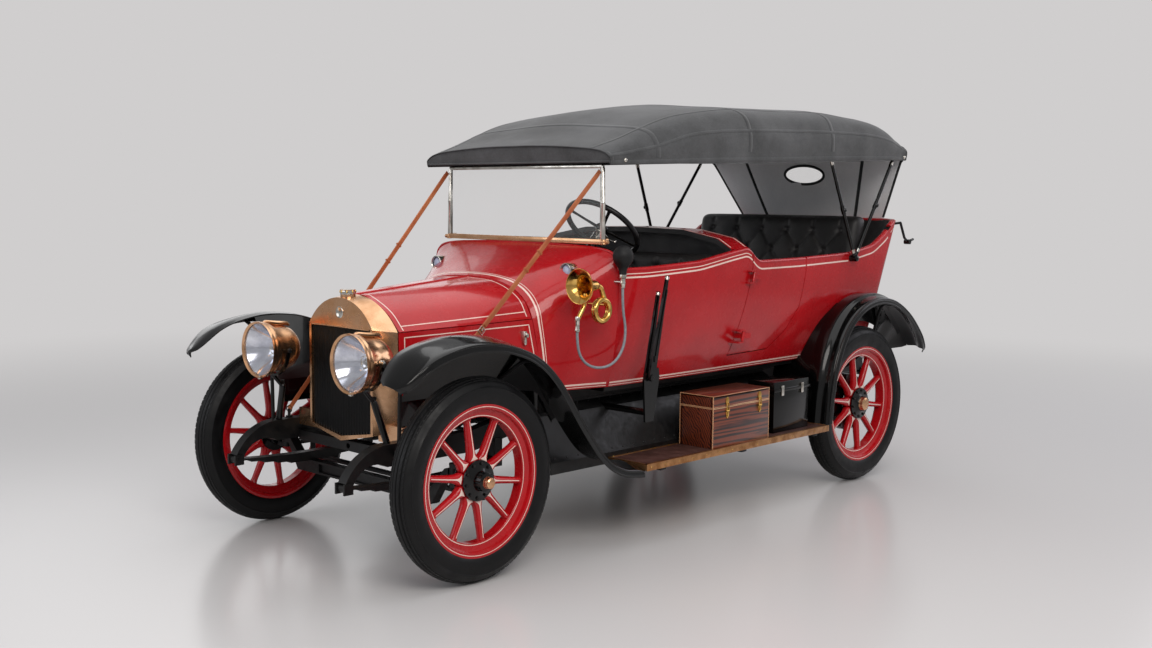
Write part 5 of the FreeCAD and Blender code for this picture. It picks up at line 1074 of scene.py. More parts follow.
carried("radiator_surround", "radiator_shell", copper, angle=25)
carried("radiator_block", "radiator_core", iron, angle=25)
tubes = []
for i in range(-33, 34):
    y = i * 0.0059
    low = 0.512 + 0.040 * abs(y) / 0.215
    tubes.append(block(at(-0.1185, y - 0.0011, low), at(-0.1165, y + 0.0011, 0.966)))
piece("radiator_tubes", joined(*tubes), iron, angle=20)
badge = [(0, 0.0034), (0.016, 0.0032), (0.0175, 0.0042), (0.0225, 0.0046), (0.0250, 0.0030), (0.0255, 0.0),
         (0, 0.0)]
piece("blank_badge", lathe(badge[::-1], at(-0.1268, 0, 1.030), AHEAD, 40), nickel,
      fix_normals=True)
cap = [(0, 1.1245), (0.026, 1.1242), (0.0325, 1.120), (0.0335, 1.112), (0.0325, 1.104), (0.0290, 1.101),
       (0, 1.101)]
FILLER_BEHIND = -0.083
piece("radiator_filler_cap", lathe(cap, at(FILLER_BEHIND, 0, 0), UP, 48), nickel,
      fix_normals=True)
grips = []
for turn in around(8):
    way = Vector((cos(turn), sin(turn), 0))
    grips.append((at(FILLER_BEHIND, 0, 1.110) + way * 0.0325, UP, way))
repeated("filler_grips", brass_pins, grips, (0.007, 0.012))
bead_line = line_points([at(-0.1272, 0.196, 0.968), at(-0.1272, -0.196, 0.968)], 0.05)
piece("radiator_top_bead", tube(bead_line, 0.0028, 8), copper)

# Headlamps: spun drums with silvered reflectors and a small burner

LAMP_FACE, LAMP_Y, LAMP_Z = -0.330, 0.316, 0.859
pearl, pearl_tree, pearl_shader = finish("ribbed_opal_glass", "#aeb6d0", Roughness=0.25, Coat_Weight=0.6)
ribs = add(pearl_tree, "ShaderNodeTexWave", {"wave_type": "RINGS", "rings_direction": "X"},
           {"Vector": places(pearl_tree, 1.0, (1, 1, 1)), "Scale": 60.0, "Distortion": 0.3})
bumps(pearl_tree, pearl_shader, ribs.outputs["Fac"], 0.8, 0.6)


def turned(profile):
    """Smooth version of a (radius, along) profile, kept on its ends."""
    return [(p.x, p.y) for p in smooth_path([(r, z, 0) for r, z in profile], 4)]


shell = [(0.1165, -0.0040), (0.1205, -0.0008), (0.1210, -0.0060), (0.1208, -0.0130), (0.1180, -0.0185),
         (0.1185, -0.0220), (0.1185, -0.0300), (0.1150, -0.0420), (0.1040, -0.0620), (0.0990, -0.0950),
         (0.0962, -0.1300), (0.0850, -0.1580), (0.0660, -0.1790), (0.0300, -0.1798), (0.0, -0.1800)]
bowl = [(0.1120 * i / 14, -0.112 + 0.094 * (i / 14) ** 2) for i in range(1, 15)]
for side, tag in SIDES:
    place = at(LAMP_FACE, side * LAMP_Y, LAMP_Z)
    drum = lathe(shell, place, AHEAD, 64)
    lip = lathe([(0.1165, -0.0040), (0.1120, -0.0080), (0.1120, -0.0180)], place, AHEAD, 64)
    ridge = sweep([place + Vector((x, 0, z)) for x, z in ((-0.165, 0.096), (-0.150, 0.104), (-0.090, 0.109),
                                                            (-0.045, 0.117), (-0.030, 0.116))],
                  flat_section(0.030, 0.020, 0.006), start_side=(0, 1, 0), scales=[0.5, 0.9, 1.0, 0.8, 0.35])
    piece("headlamp_drum_" + tag, joined(drum, lip, ridge), copper,
          stands_for=["headlamps"] if side > 0 else (), angle=40, fix_normals=True)
    dish = lathe([(0.0, -0.112)] + bowl, place, AHEAD, 64)
    piece("reflector_" + tag, dish, silvered, angle=80)
    burner = joined(lathe([(0.016, -0.110), (0.016, -0.092), (0.010, -0.086), (0.007, -0.070), (0.0, -0.069)],
                          place, AHEAD, 24),
                    tube([place + Vector((-0.083, 0.024 * cos(a), 0.024 * sin(a)))
                          for a in around(32)], 0.0028, 8, closed=True),
                    tube([place + Vector((-0.100, 0, -0.014)), place + Vector((-0.083, 0, -0.024)),
                          place + Vector((-0.060, 0, -0.030))], 0.004, 8))
    piece("burner_" + tag, burner, nickel, fix_normals=True)
    pane = lathe([(0.0, -0.0090), (0.060, -0.0093), (0.1118, -0.0110), (0.1118, -0.0140), (0.060, -0.0125),
                  (0.0, -0.0122)], place, AHEAD, 64)
    piece("headlamp_pane_" + tag, pane, lamp_glass,
          stands_for=["headlamp_glasses"] if side > 0 else (), angle=40, fix_normals=True)
    knob = joined(lathe([(0.0, 0.022), (0.008, 0.020), (0.010, 0.012), (0.006, 0.006), (0.009, 0.0),
                         (0.009, -0.004)], place + Vector((-0.080, side * 0.108, 0.010)), (0, side, 0), 20),
                  block(place + Vector((-0.020, -0.010, -0.128)), place + Vector((-0.006, 0.010, -0.112)),
                        0.002))
    piece("headlamp_catch_" + tag, knob, nickel, fix_normals=True)
carried("headlamp_stands", "lamp_stands", black, angle=32)
stand_nuts = []
for side in (1, -1):
    for y_out in (1, -1):
        centre = at(LAMP_FACE + 0.080, side * LAMP_Y + y_out * 0.1205, LAMP_Z)
        stand_nuts.append((centre, Vector((0, y_out, 0)), UP))
    stand_nuts.append((at(-0.200, side * 0.316, 0.7045), UP, AHEAD))
repeated("stand_nuts", nuts, stand_nuts, (0.018, 0.012))

# Side lamps in the scuttle: nickel bezel round ribbed opal glass

for side, tag in SIDES:
    place = at(0.796, side * 0.428, 1.183)
    rim = [(0.0180, -0.085), (0.0290, -0.066), (0.0350, -0.040), (0.0358, -0.004), (0.0350, 0.0005),
           (0.0320, 0.0018), (0.0295, -0.002), (0.0295, -0.010)]
    piece("side_lamp_rim_" + tag, lathe(rim, place, AHEAD, 40), nickel,
          stands_for=["side_lamps"] if side > 0 else (), fix_normals=True)
    lens = [(0.0, 0.0125), (0.010, 0.0118), (0.020, 0.0080), (0.0275, 0.002), (0.0297, -0.006), (0.0, -0.007)]
    piece("side_lamp_lens_" + tag, lathe(lens[::-1], place - Vector((0.012, 0, 0)), AHEAD, 40), pearl,
          angle=60, fix_normals=True)

# Horn: spun bell, coiled tube, nickel ferrules; rubber bulb on its clip

mouth = at(0.661, HORN_Y, 1.133)
bell = turned([(0.0740, 0.0), (0.0690, -0.005), (0.0540, -0.0165), (0.0430, -0.0300), (0.0350, -0.0480),
               (0.0265, -0.0760), (0.0220, -0.1000), (0.0150, -0.1150), (0.0120, -0.1200)])
wall_in = turned([(0.0120, -0.1100), (0.0190, -0.0980), (0.0240, -0.0740), (0.0325, -0.0460),
                  (0.0405, -0.0280), (0.0515, -0.0140), (0.0668, -0.0020), (0.0735, 0.0024)])
piece("horn_bell", lathe(wall_in + [(0.0765, 0.0020), (0.0770, -0.0015)] + bell[1:], mouth, AHEAD, 56), brass,
      stands_for=["horn"], angle=50, fix_normals=True)
loop_at = at(0.804, HORN_Y, 1.023)
coils = []
for shift in (-0.004, 0.004):
    ring_path = [loop_at + Vector((0.046 * cos(a), shift * 1.4, 0.046 * sin(a)))
                 for a in around(48)]
    coils.append(tube(ring_path, 0.0115, 14, closed=True))
coils.append(tube(smooth_path([mouth + Vector((-0.112, 0, 0)), mouth + Vector((-0.135, 0, -0.012)),
                               mouth + Vector((-0.150, 0, -0.040)), loop_at + Vector((-0.020, 0, 0.044))], 6),
                  0.0115, 14))
coils.append(tube(smooth_path([at(0.701, HORN_Y, 1.100), at(0.690, HORN_Y, 1.050), at(0.668, HORN_Y, 1.015),
                               at(0.650, HORN_Y, 0.990)], 6), 0.0098, 14))
piece("horn_coil", joined(*coils), brass, angle=60, fix_normals=True)
collar = [(0.0138, -0.006), (0.0150, -0.003), (0.0150, 0.003), (0.0138, 0.006)]
collars = [lathe(collar, loop_at + Vector((0.046 * cos(a), 0, 0.046 * sin(a))), (-sin(a), 0, cos(a)), 20)
           for a in (0.3, 1.9, 4.6)]
piece("horn_collars", joined(*collars), brass, fix_normals=True)
ferrule = [(0.0080, 0.0), (0.0105, 0.001), (0.0110, 0.010), (0.0098, 0.013), (0.0098, 0.040), (0.0108, 0.044),
           (0.0108, 0.060), (0.0085, 0.066)]
piece("horn_ferrule", lathe(ferrule, at(0.650, HORN_Y, 0.940), UP, 28), nickel,
      fix_normals=True)
piece("horn_bracket", tube([loop_at + Vector((-0.040, -0.003, 0.020)),
                            loop_at + Vector((-0.040, -0.165, 0.020))], 0.0065, 12), brass,
      fix_normals=True)
ball = [(0.0, 0.0450), (0.012, 0.0440), (0.025, 0.0385), (0.0365, 0.0270), (0.0440, 0.0110),
        (0.0452, -0.0050), (0.0420, -0.0210), (0.0340, -0.0360), (0.0235, -0.0500), (0.0170, -0.0640),
        (0.0150, -0.0820), (0.0, -0.0825)]
piece("horn_bulb_ball", lathe(turned(ball), at(0.942, HORN_Y, 1.253), UP, 48), bulb_rubber,
      stands_for=["horn_bulb"], angle=70, fix_normals=True)
neck = [(0.0150, 0.060), (0.0158, 0.056), (0.0158, 0.046), (0.0120, 0.042), (0.0110, 0.030), (0.0122, 0.026),
        (0.0122, 0.016), (0.0105, 0.012), (0.0105, 0.0)]
piece("horn_bulb_neck", joined(lathe(neck, at(0.942, HORN_Y, 1.112), UP, 28),
                               tube([at(0.942, HORN_Y, 1.138), at(0.942, HORN_Y - 0.072, 1.138)], 0.0058,
                                    12)), nickel, fix_normals=True)

# Fenders: crowned sheet with a rolled and wired edge, on round iron stays

FRONT_ROWS = ((-450, 828, 52), (-320, 931, 28), (-150, 976, 7), (0, 979, -4), (150, 952, -17),
              (290, 892, -31), (420, 778, -50), (560, 590, -54), (690, 440, -40), (800, 376, -20),
              (924.7, 354, 0))
REAR_ROWS = ((2350, 355.3, 90), (2372, 520, 80), (2420, 690, 68), (2520, 850, 48), (2660, 952, 25),
             (2830, 992, 3), (3000, 972, -17), (3160, 894, -34), (3290, 782, -46), (3375, 672, -56))


FENDER_OUTER, FENDER_MIDDLE, FENDER_DROOP = 0.790, 0.700, 0.026


def fender_shape(rows, inner, front):
    """The fender's sheet, and the lines that its beads follow. It narrows towards its free tip."""
    stations = smooth_path(rows, 8)
    outer, droop = FENDER_OUTER, FENDER_DROOP
    flat_across = smooth_path([(inner, -0.004, 0), (inner + 0.060, 0.0, 0), (outer - 0.050, -droop * 0.55, 0),
                               (outer - 0.008, -droop, 0), (outer, -droop - 0.026, 0)], 5)
    skin, under = [], []
    edge_line, lip_line = [], []
    for s in stations:
        from_tip = (s.x + 450) / 150 if front else (3375 - s.x) / 70
        least = 0.30 if front else 0.78
        narrow = least + (1 - least) * sqrt(1 - (1 - min(1.0, max(0.0, from_tip))) ** 2)
        across = [Vector((FENDER_MIDDLE + (p.x - FENDER_MIDDLE) * narrow, p.y, 0)) for p in flat_across]
        lip_y = FENDER_MIDDLE + (outer - FENDER_MIDDLE) * narrow
        lean = radians(s.z)
        normal = Vector((sin(lean), 0, cos(lean)))
        origin = at(s.x / 1000, 0, s.y / 1000)
        skin.append([origin + normal * p.y + Vector((0, p.x, 0)) for p in across])
        under.append([origin + normal * (p.y - 0.0045) + Vector((0, p.x - 0.0012, 0)) for p in across])
        edge_line.append(origin + normal * (-droop - 0.003) + Vector((0, lip_y - 0.0062, 0)))
        lip_line.append(origin + normal * (-droop - 0.0245) + Vector((0, lip_y - 0.0035, 0)))
    rows_round = [top + low[::-1] for top, low in zip(skin, under)]
    return grid(rows_round, close_v=True, cap=True), edge_line, lip_line


for node, rows, inner, tag in (("front_fenders", FRONT_ROWS, 0.600, "front"),
                               ("rear_fenders", REAR_ROWS, 0.648, "rear")):
    sheet_shape, edge_line, lip_line = fender_shape(rows, inner, tag == "front")
    piece(tag + "_fender_sheets", both(sheet_shape), black, stands_for=[node], angle=38, fix_normals=True)
    count = len(edge_line)
    grow = [min(1.0, 0.35 + max(0, i - (12 if tag == "front" else 2)) / 8) for i in range(count)]
    rolled = tube(edge_line, 0.0058, 12, scales=grow)
    wire = tube(lip_line, 0.0036, 10)
    piece(tag + "_fender_beads", both(joined(rolled, wire)), black, angle=60, fix_normals=True)

# Black valance between each front fender and the frame
skirt_rows = []
for s in smooth_path([r for r in FRONT_ROWS if -200 < r[0] < 600], 8):
    top_z = s.y / 1000 - 0.006
    low_z = min(0.600, top_z - 0.03)
    knee_z = min(top_z - 0.02, 0.700)
    turn_y = 0.600 - 0.185 * min(1.0, max(0.0, (top_z - knee_z) / 0.155))
    line = [at(s.x / 1000, 0.6035, top_z), at(s.x / 1000, turn_y, knee_z),
            at(s.x / 1000, turn_y - 0.002, low_z)]
    skirt_rows.append(line + [p - Vector((0, 0.002, 0)) for p in line[::-1]])
piece("front_valances", both(grid(skirt_rows, close_v=True, cap=True)), black, angle=30, fix_normals=True)

# Black sheet that fills between the front of each rear fender and the body and frame
fill_rows = []
for s in smooth_path([r for r in REAR_ROWS if r[0] < 2700], 8):
    z = s.y / 1000 - 0.006
    inner_y = 0.440 if z < 0.680 else 0.580 + 0.217 * (z - 0.690)
    line = [at(s.x / 1000 + 0.002, 0.6525, z), at(s.x / 1000 + 0.002, min(0.650, inner_y), z)]
    fill_rows.append(line + [p + Vector((-0.0014, 0, -0.0014)) for p in line[::-1]])
flange_rows = []
for s in smooth_path([r for r in REAR_ROWS if r[0] > 2500], 8):
    behind, top_z = s.x / 1000, s.y / 1000 - 0.006
    over_tyre = TYRE_RADIUS + sqrt(max(0.0, (TYRE_RADIUS + 0.020) ** 2 - (behind - WHEELBASE) ** 2))
    away = min(1.0, max(0.0, (behind - 3.06) / 0.14))
    line = [at(behind, 0.651, top_z), at(behind, 0.640 - 0.02 * away, top_z - 0.012),
            at(behind, 0.636 - 0.085 * away, max(top_z - 0.150 * min(1.0, (3.400 - behind) / 0.14),
                                                 over_tyre))]
    flange_rows.append(line + [p - Vector((0, 0.0016, 0)) for p in line[::-1]])
rear_sheets = [grid(sheet_rows, close_v=True, cap=True) for sheet_rows in (fill_rows, flange_rows)]
piece("rear_valances", both(joined(*rear_sheets)), black, angle=30, fix_normals=True)

stays = []
for behind, low_z, high_z in ((-0.170, 0.500, 0.965), (0.330, 0.610, 0.862)):
    stays.append(tube(smooth_path([at(behind, 0.408, low_z), at(behind, 0.432, low_z + 0.012),
                                   at(behind, 0.446, low_z + (high_z - low_z) * 0.60),
                                   at(behind, 0.500, high_z - 0.100), at(behind, 0.640, high_z - 0.016),
                                   at(behind, 0.735, high_z - 0.026)], 5), 0.0085, 12))
for behind, high_z in ((2.560, 0.884), (3.060, 0.950)):
    stays.append(tube(smooth_path([at(behind, 0.405, 0.560), at(behind, 0.470, 0.562),
                                   at(behind, 0.600, 0.700), at(behind, 0.665, high_z - 0.050),
                                   at(behind, 0.730, high_z - 0.030)], 5), 0.0085, 12))
piece("fender_stays", both(joined(*stays)), iron, angle=60, fix_normals=True)

# Running boards: ash board, brown linoleum let in, worn brass edging

edging = polished("worn_brass_edging", "#c08f62", "#9a6b42", 0.34, 24.0)
BOARD_FRONT, BOARD_REAR, BOARD_IN, BOARD_OUT = 0.925, 2.358, 0.575, 0.800
core = block(at(BOARD_REAR - 0.002, BOARD_IN + 0.002, 0.3255),
             at(BOARD_FRONT + 0.002, BOARD_OUT - 0.003, 0.3530), 0.001)
lino_sheet = block(at(BOARD_REAR - 0.018, BOARD_IN + 0.016, 0.3520),
                   at(BOARD_FRONT + 0.018, BOARD_OUT - 0.020, 0.3545), 0.0008)
edge_parts = []
for low, high in (((BOARD_REAR, BOARD_OUT - 0.004, 0.3252), (BOARD_FRONT, BOARD_OUT, 0.3550)),
                  ((BOARD_REAR, BOARD_OUT - 0.018, 0.3528), (BOARD_FRONT, BOARD_OUT - 0.002, 0.3556)),
                  ((BOARD_REAR, BOARD_IN, 0.3528), (BOARD_FRONT, BOARD_IN + 0.013, 0.3556)),
                  ((BOARD_FRONT + 0.015, BOARD_IN + 0.002, 0.3528), (BOARD_FRONT, BOARD_OUT - 0.002, 0.3556)),
                  ((BOARD_REAR, BOARD_IN + 0.002, 0.3528), (BOARD_REAR - 0.015, BOARD_OUT - 0.002, 0.3556)),
                  ((BOARD_FRONT + 0.0025, BOARD_IN + 0.002, 0.3260),
                   (BOARD_FRONT, BOARD_OUT - 0.002, 0.3550)),
                  ((BOARD_REAR, BOARD_IN + 0.002, 0.3260), (BOARD_REAR - 0.0025, BOARD_OUT - 0.002, 0.3550))):
    edge_parts.append(block(at(*low), at(*high), 0.0009, 2))
piece("running_board_cores", both(core), bench_wood, stands_for=["running_boards"])
piece("board_linoleum", both(lino_sheet), lino)
piece("board_edging", both(joined(*edge_parts)), edging)
screws = []
for side in (1, -1):
    for i in range(15):
        behind = BOARD_FRONT + 0.03 + i * (BOARD_REAR - BOARD_FRONT - 0.06) / 14
        screws.append((at(behind, side * BOARD_OUT, 0.340), Vector((0, side, 0)), UP))
        screws.append((at(behind, side * (BOARD_IN + 0.0065), 0.3556), UP, AHEAD))
repeated("edging_screws", brass_pins, screws, (0.006, 0.0012))
brackets = [block(at(b + 0.020, 0.385, 0.312), at(b - 0.020, 0.790, 0.3248), 0.003)
            for b in (1.05, 1.65, 2.25)]
brackets += [tube([at(b, 0.382, 0.470), at(b, 0.520, 0.345), at(b, 0.560, 0.320)], 0.011, 12)
             for b in (1.05, 1.65, 2.25)]
piece("board_brackets", both(joined(*brackets)), iron, angle=40, fix_normals=True)

# Splash aprons, with a row of rivets and a stiffening bead

apron_paint = black_metal("dull_black_apron", "#0b0b0c", 0.40, "#171716")
carried("apron_sheets", "splash_aprons", apron_paint, angle=25)
apron_rivets = []
for side in (1, -1):
    for i in range(24):
        behind = 0.59 + i * 0.0745
        slope = Vector((0, side * 0.88, 0.47)).normalized()
        apron_rivets.append((at(behind, side * 0.566, 0.3890), slope, AHEAD))
        apron_rivets.append((at(behind, side * 0.4215, 0.5875), Vector((0, side * 0.45, 0.89)), AHEAD))
repeated("apron_rivets", rivets, apron_rivets, (0.010, 0.003))

# Tool box: mahogany boards, lined edges, two brass latches, barrel hinges

BOX_FRONT, BOX_REAR, BOX_IN, BOX_OUT = 1.410, 1.850, 0.595, 0.785
BOX_LOW, BOX_SPLIT, BOX_TOP = 0.3553, 0.542, 0.600
BOX_WALL = 0.014
inlay = plank("boxwood_inlay", "#8d5d3c", "#c08a60", "#dcae84", ring_mm=9.0)


def box_boards(z0, z1, floor_z, roof_z):
    """Four side boards between two heights, with a floor or a roof where a height is given."""
    boards_made = [block(at(BOX_REAR, BOX_OUT - BOX_WALL, z0), at(BOX_FRONT, BOX_OUT, z1), 0.0012),
                   block(at(BOX_REAR, BOX_IN, z0), at(BOX_FRONT, BOX_IN + BOX_WALL, z1), 0.0012),
                   block(at(BOX_FRONT + BOX_WALL, BOX_IN + BOX_WALL * 0.5, z0),
                         at(BOX_FRONT, BOX_OUT - BOX_WALL * 0.5, z1), 0.0012),
                   block(at(BOX_REAR, BOX_IN + BOX_WALL * 0.5, z0),
                         at(BOX_REAR - BOX_WALL, BOX_OUT - BOX_WALL * 0.5, z1), 0.0012)]
    if floor_z is not None:
        boards_made.append(block(at(BOX_REAR - 0.001, BOX_IN + 0.001, floor_z),
                                 at(BOX_FRONT + 0.001, BOX_OUT - 0.001, floor_z + 0.012), 0.001))
    if roof_z is not None:
        boards_made.append(block(at(BOX_REAR, BOX_IN, roof_z - 0.012), at(BOX_FRONT, BOX_OUT, roof_z),
                                 0.0016))
    return joined(*boards_made)


piece("tool_box_boards", box_boards(BOX_LOW, BOX_SPLIT - 0.0002, BOX_LOW, None), mahogany,
      stands_for=["tool_box"])
piece("tool_box_lid_boards", box_boards(BOX_SPLIT + 0.0006, BOX_TOP - 0.004, None, BOX_TOP), mahogany,
      "tool_box_lid", stands_for=["tool_box_lid"])


def corner_lines(z0, z1, body, name, frame_heights):
    """Pale inlaid edges: uprights at the corners and a frame along the split or the top."""
    t = 0.0030
    parts = []
    for b in (BOX_FRONT, BOX_REAR):
        for y in (BOX_IN, BOX_OUT):
            b_in = b + t if b == BOX_FRONT else b - t
            y_in = y - t if y == BOX_OUT else y + t
            b_out = b - 0.0004 if b == BOX_FRONT else b + 0.0004
            y_out = y + 0.0004 if y == BOX_OUT else y - 0.0004
            parts.append(block(at(max(b_in, b_out), min(y_in, y_out), z0),
                               at(min(b_in, b_out), max(y_in, y_out), z1)))
    for height in frame_heights:
        low, high = height - t / 2, height + t / 2
        parts.append(block(at(BOX_REAR, BOX_OUT - t, low), at(BOX_FRONT, BOX_OUT + 0.0005, high)))
        parts.append(block(at(BOX_REAR, BOX_IN - 0.0005, low), at(BOX_FRONT, BOX_IN + t, high)))
        parts.append(block(at(BOX_FRONT + t, BOX_IN, low), at(BOX_FRONT - 0.0005, BOX_OUT, high)))
        parts.append(block(at(BOX_REAR + 0.0005, BOX_IN, low), at(BOX_REAR - t, BOX_OUT, high)))
    piece(name, joined(*parts), inlay, body)


corner_lines(BOX_LOW, BOX_SPLIT - 0.0004, "root", "tool_box_inlay", [BOX_SPLIT - 0.0022])
corner_lines(BOX_SPLIT + 0.0008, BOX_TOP - 0.0004, "tool_box_lid", "tool_box_lid_inlay",
             [BOX_SPLIT + 0.0030, BOX_TOP - 0.0022])
for share, tag in ((0.24, "front"), (0.82, "rear")):
    behind = BOX_FRONT + share * (BOX_REAR - BOX_FRONT)
    hasp_outline = [(0.013 * cos(a) * (1.0 if sin(a) > 0 else 0.85), 0.030 * sin(a)) for a in around(28)]
    upright = Matrix(((-1, 0, 0), (0, 0, 1), (0, 1, 0))).transposed().to_4x4()
    upper = plate([(u, v * 0.75) for u, v in hasp_outline], 0.004,
                  Matrix.Translation(at(behind, BOX_OUT - 0.0002, BOX_SPLIT + 0.024)) @ upright, 0.0012)
    lower = plate([(u * 0.85, v * 0.9) for u, v in hasp_outline], 0.004,
                  Matrix.Translation(at(behind, BOX_OUT - 0.0002, BOX_SPLIT - 0.028)) @ upright, 0.0012)
    loop = tube([at(behind - 0.009, BOX_OUT + 0.0045, BOX_SPLIT + 0.016),
                 at(behind - 0.009, BOX_OUT + 0.0060, BOX_SPLIT - 0.024),
                 at(behind + 0.009, BOX_OUT + 0.0060, BOX_SPLIT - 0.024),
                 at(behind + 0.009, BOX_OUT + 0.0045, BOX_SPLIT + 0.016)], 0.0018, 8, closed=True)
    lever = block(at(behind + 0.006, BOX_OUT + 0.003, BOX_SPLIT - 0.046),
                  at(behind - 0.006, BOX_OUT + 0.0085, BOX_SPLIT - 0.018), 0.002)
    pin = tube([at(behind - 0.012, BOX_OUT + 0.005, BOX_SPLIT - 0.018),
                at(behind + 0.012, BOX_OUT + 0.005, BOX_SPLIT - 0.018)], 0.003, 10)
    piece("lid_hasp_" + tag, upper, brass, "tool_box_lid", fix_normals=True)
    piece("box_latch_" + tag, joined(lower, loop, lever, pin), brass, fix_normals=True)
hinge_fixed, hinge_moving = [], []
for share in (0.22, 0.78):
    behind = BOX_FRONT + share * (BOX_REAR - BOX_FRONT)
    for b in (behind - 0.027, behind + 0.027):
        hinge_fixed.append(tube([at(b - 0.004, 0.587, BOX_SPLIT), at(b + 0.004, 0.587, BOX_SPLIT)], 0.0058,
                                14))
        hinge_fixed.append(block(at(b + 0.004, 0.583, BOX_SPLIT - 0.022),
                                 at(b - 0.004, 0.5952, BOX_SPLIT - 0.002), 0.001))
    hinge_moving.append(tube([at(behind - 0.0215, 0.587, BOX_SPLIT), at(behind + 0.0215, 0.587, BOX_SPLIT)],
                             0.0058, 14))
    hinge_moving.append(block(at(behind + 0.0215, 0.587, BOX_SPLIT + 0.0010),
                              at(behind - 0.0215, 0.5952, BOX_SPLIT + 0.0058), 0.001))
piece("box_hinge_ears", joined(*hinge_fixed), brass, fix_normals=True)
piece("lid_hinge_barrels", joined(*hinge_moving), brass, "tool_box_lid", fix_normals=True)

# Battery box: black japanned case with a lipped lid and two small catches

case = block(at(2.250, 0.590, 0.3553), at(1.950, 0.745, 0.6050), 0.003)
lip = block(at(2.256, 0.584, 0.5555), at(1.944, 0.751, 0.5710), 0.002)
piece("battery_case", joined(case, lip), black, stands_for=["battery_box"], fix_normals=True)
catches = [block(at(b + 0.011, 0.7450, 0.535), at(b - 0.011, 0.7535, 0.586), 0.003) for b in (2.015, 2.185)]
piece("battery_catches", joined(*catches), nickel)

# Windscreen: nickel posts, side bars and top rail, copper feet and low rail, plate glass

SCREEN_AT = 0.957
screen_posts, screen_feet = [], []
for side in (1, -1):
    low, high = at(SCREEN_AT, side * 0.508, 1.2965), at(SCREEN_AT, side * 0.500, 1.652)
    way = (high - low).normalized()
    post = [(0.0060, 0.012), (0.0088, 0.013), (0.0090, 0.180), (0.0102, 0.182), (0.0102, 0.190),
            (0.0090, 0.192), (0.0090, 0.338), (0.0070, 0.346), (0.0075, 0.350), (0.0, 0.356)]
    screen_posts.append(lathe(post, low, way, 24))
    knob = [(0.0, -0.0005), (0.013, 0.0), (0.0145, 0.004), (0.0120, 0.009), (0.0128, 0.014), (0.0120, 0.020),
            (0.0085, 0.024)]
    screen_feet.append(lathe(knob, low, way, 24))
    thumb = [(0.0, 0.016), (0.007, 0.0155), (0.0095, 0.011), (0.0075, 0.006), (0.0050, 0.003),
             (0.0050, -0.004)]
    screen_feet.append(lathe(thumb, low + Vector((0, side * 0.013, 0.012)), (0, side, 0), 20))
    screen_feet.append(block(at(SCREEN_AT + 0.040, side * 0.500 - 0.004, 1.299),
                             at(SCREEN_AT + 0.004, side * 0.500 + 0.004, 1.323), 0.003))
low_rail = block(at(SCREEN_AT + 0.0095, -0.503, 1.2975), at(SCREEN_AT - 0.0095, 0.503, 1.3215), 0.003)
piece("screen_posts", joined(*screen_posts), nickel, stands_for=["windscreen_frame"],
      fix_normals=True)
piece("screen_feet", joined(*screen_feet), copper, fix_normals=True)
piece("screen_low_rail", low_rail, copper, fix_normals=True)
side_bars = [block(at(SCREEN_AT + 0.006, side * 0.4945 - 0.005, 1.3200),
                   at(SCREEN_AT - 0.006, side * 0.4945 + 0.005, 1.6380), 0.002) for side in (1, -1)]
top_rail = block(at(SCREEN_AT + 0.0078, -0.499, 1.6350), at(SCREEN_AT - 0.0078, 0.499, 1.6530), 0.003)
piece("screen_top_rail", joined(top_rail, *side_bars), nickel, fix_normals=True)
pane = block(at(SCREEN_AT + 0.0025, -0.4900, 1.3205), at(SCREEN_AT - 0.0025, 0.4900, 1.6360), 0.0006)
piece("screen_pane", pane, glass, stands_for=["windscreen_glass"])

# Hood: one sheet of duck drawn over the bows, with sewn seams, a bound edge and soft folds

HOOD_ROWS = ((893, 600, 1655, 1690, 1722, 1745), (1150, 635, 1656, 1730, 1805, 1842),
             (1480, 655, 1658, 1800, 1895, 1945), (2050, 662, 1668, 1825, 1925, 1975),
             (2700, 668, 1684, 1828, 1925, 1972), (3050, 668, 1692, 1810, 1890, 1925),
             (3290, 655, 1698, 1752, 1786, 1806))
BOWS = (1.180, 1.830, 2.543, 3.196)
hood_paths = [smooth_path([(row[0], row[k], 0) for row in HOOD_ROWS], 14) for k in range(1, 6)]
hood_stations = [[path[i].y / 1000 for path in hood_paths] + [hood_paths[0][i].x / 1000]
                 for i in range(len(hood_paths[0]))]


def bow_nearness(behind):
    """1 at a bow and 0 half way between two."""
    edges = (0.893,) + BOWS + (3.290,)
    for a, b in zip(edges, edges[1:]):
        if a <= behind <= b:
            return abs(cos(pi * (behind - a) / (b - a)))
    return 1.0


def hood_across(half, low, side_top, shoulder, crown):
    """The hood's outline on one side, from the crown out and down to its lower edge."""
    marks = [(0.0, crown), (half * 0.4, (shoulder + crown) / 2 + 0.008), (half - 0.090, shoulder),
             (half - 0.003, side_top), (half, low)]
    first = [(-marks[1][0], marks[1][1])]
    return smooth_path([(y, z, 0) for y, z in first + marks], 9)[9:]


def fold_depth(behind, down):
    """Soft folds of the side between the bows. down is 0 at the crown and 1 at the lower edge."""
    slack = 1.0 - bow_nearness(behind) ** 2
    side_part = max(0.0, min(1.0, (down - 0.45) / 0.35))
    drawn = sin(behind * 21.0 + 5.0 * down) * 0.5 + sin(behind * 9.5 - 7.0 * down + 1.2) * 0.8
    long_fold = sin(10.5 * down + 1.6 * sin(behind * 2.3)) * 0.9
    near_bow = 0.35 + 0.65 * bow_nearness(behind) ** 6
    gathers = 0.0012 * near_bow * sin(46.0 * behind + 3.0 * down) * side_part
    return slack * (0.0036 * drawn * side_part + 0.0048 * long_fold * min(1.0, down * 1.6)) + gathers


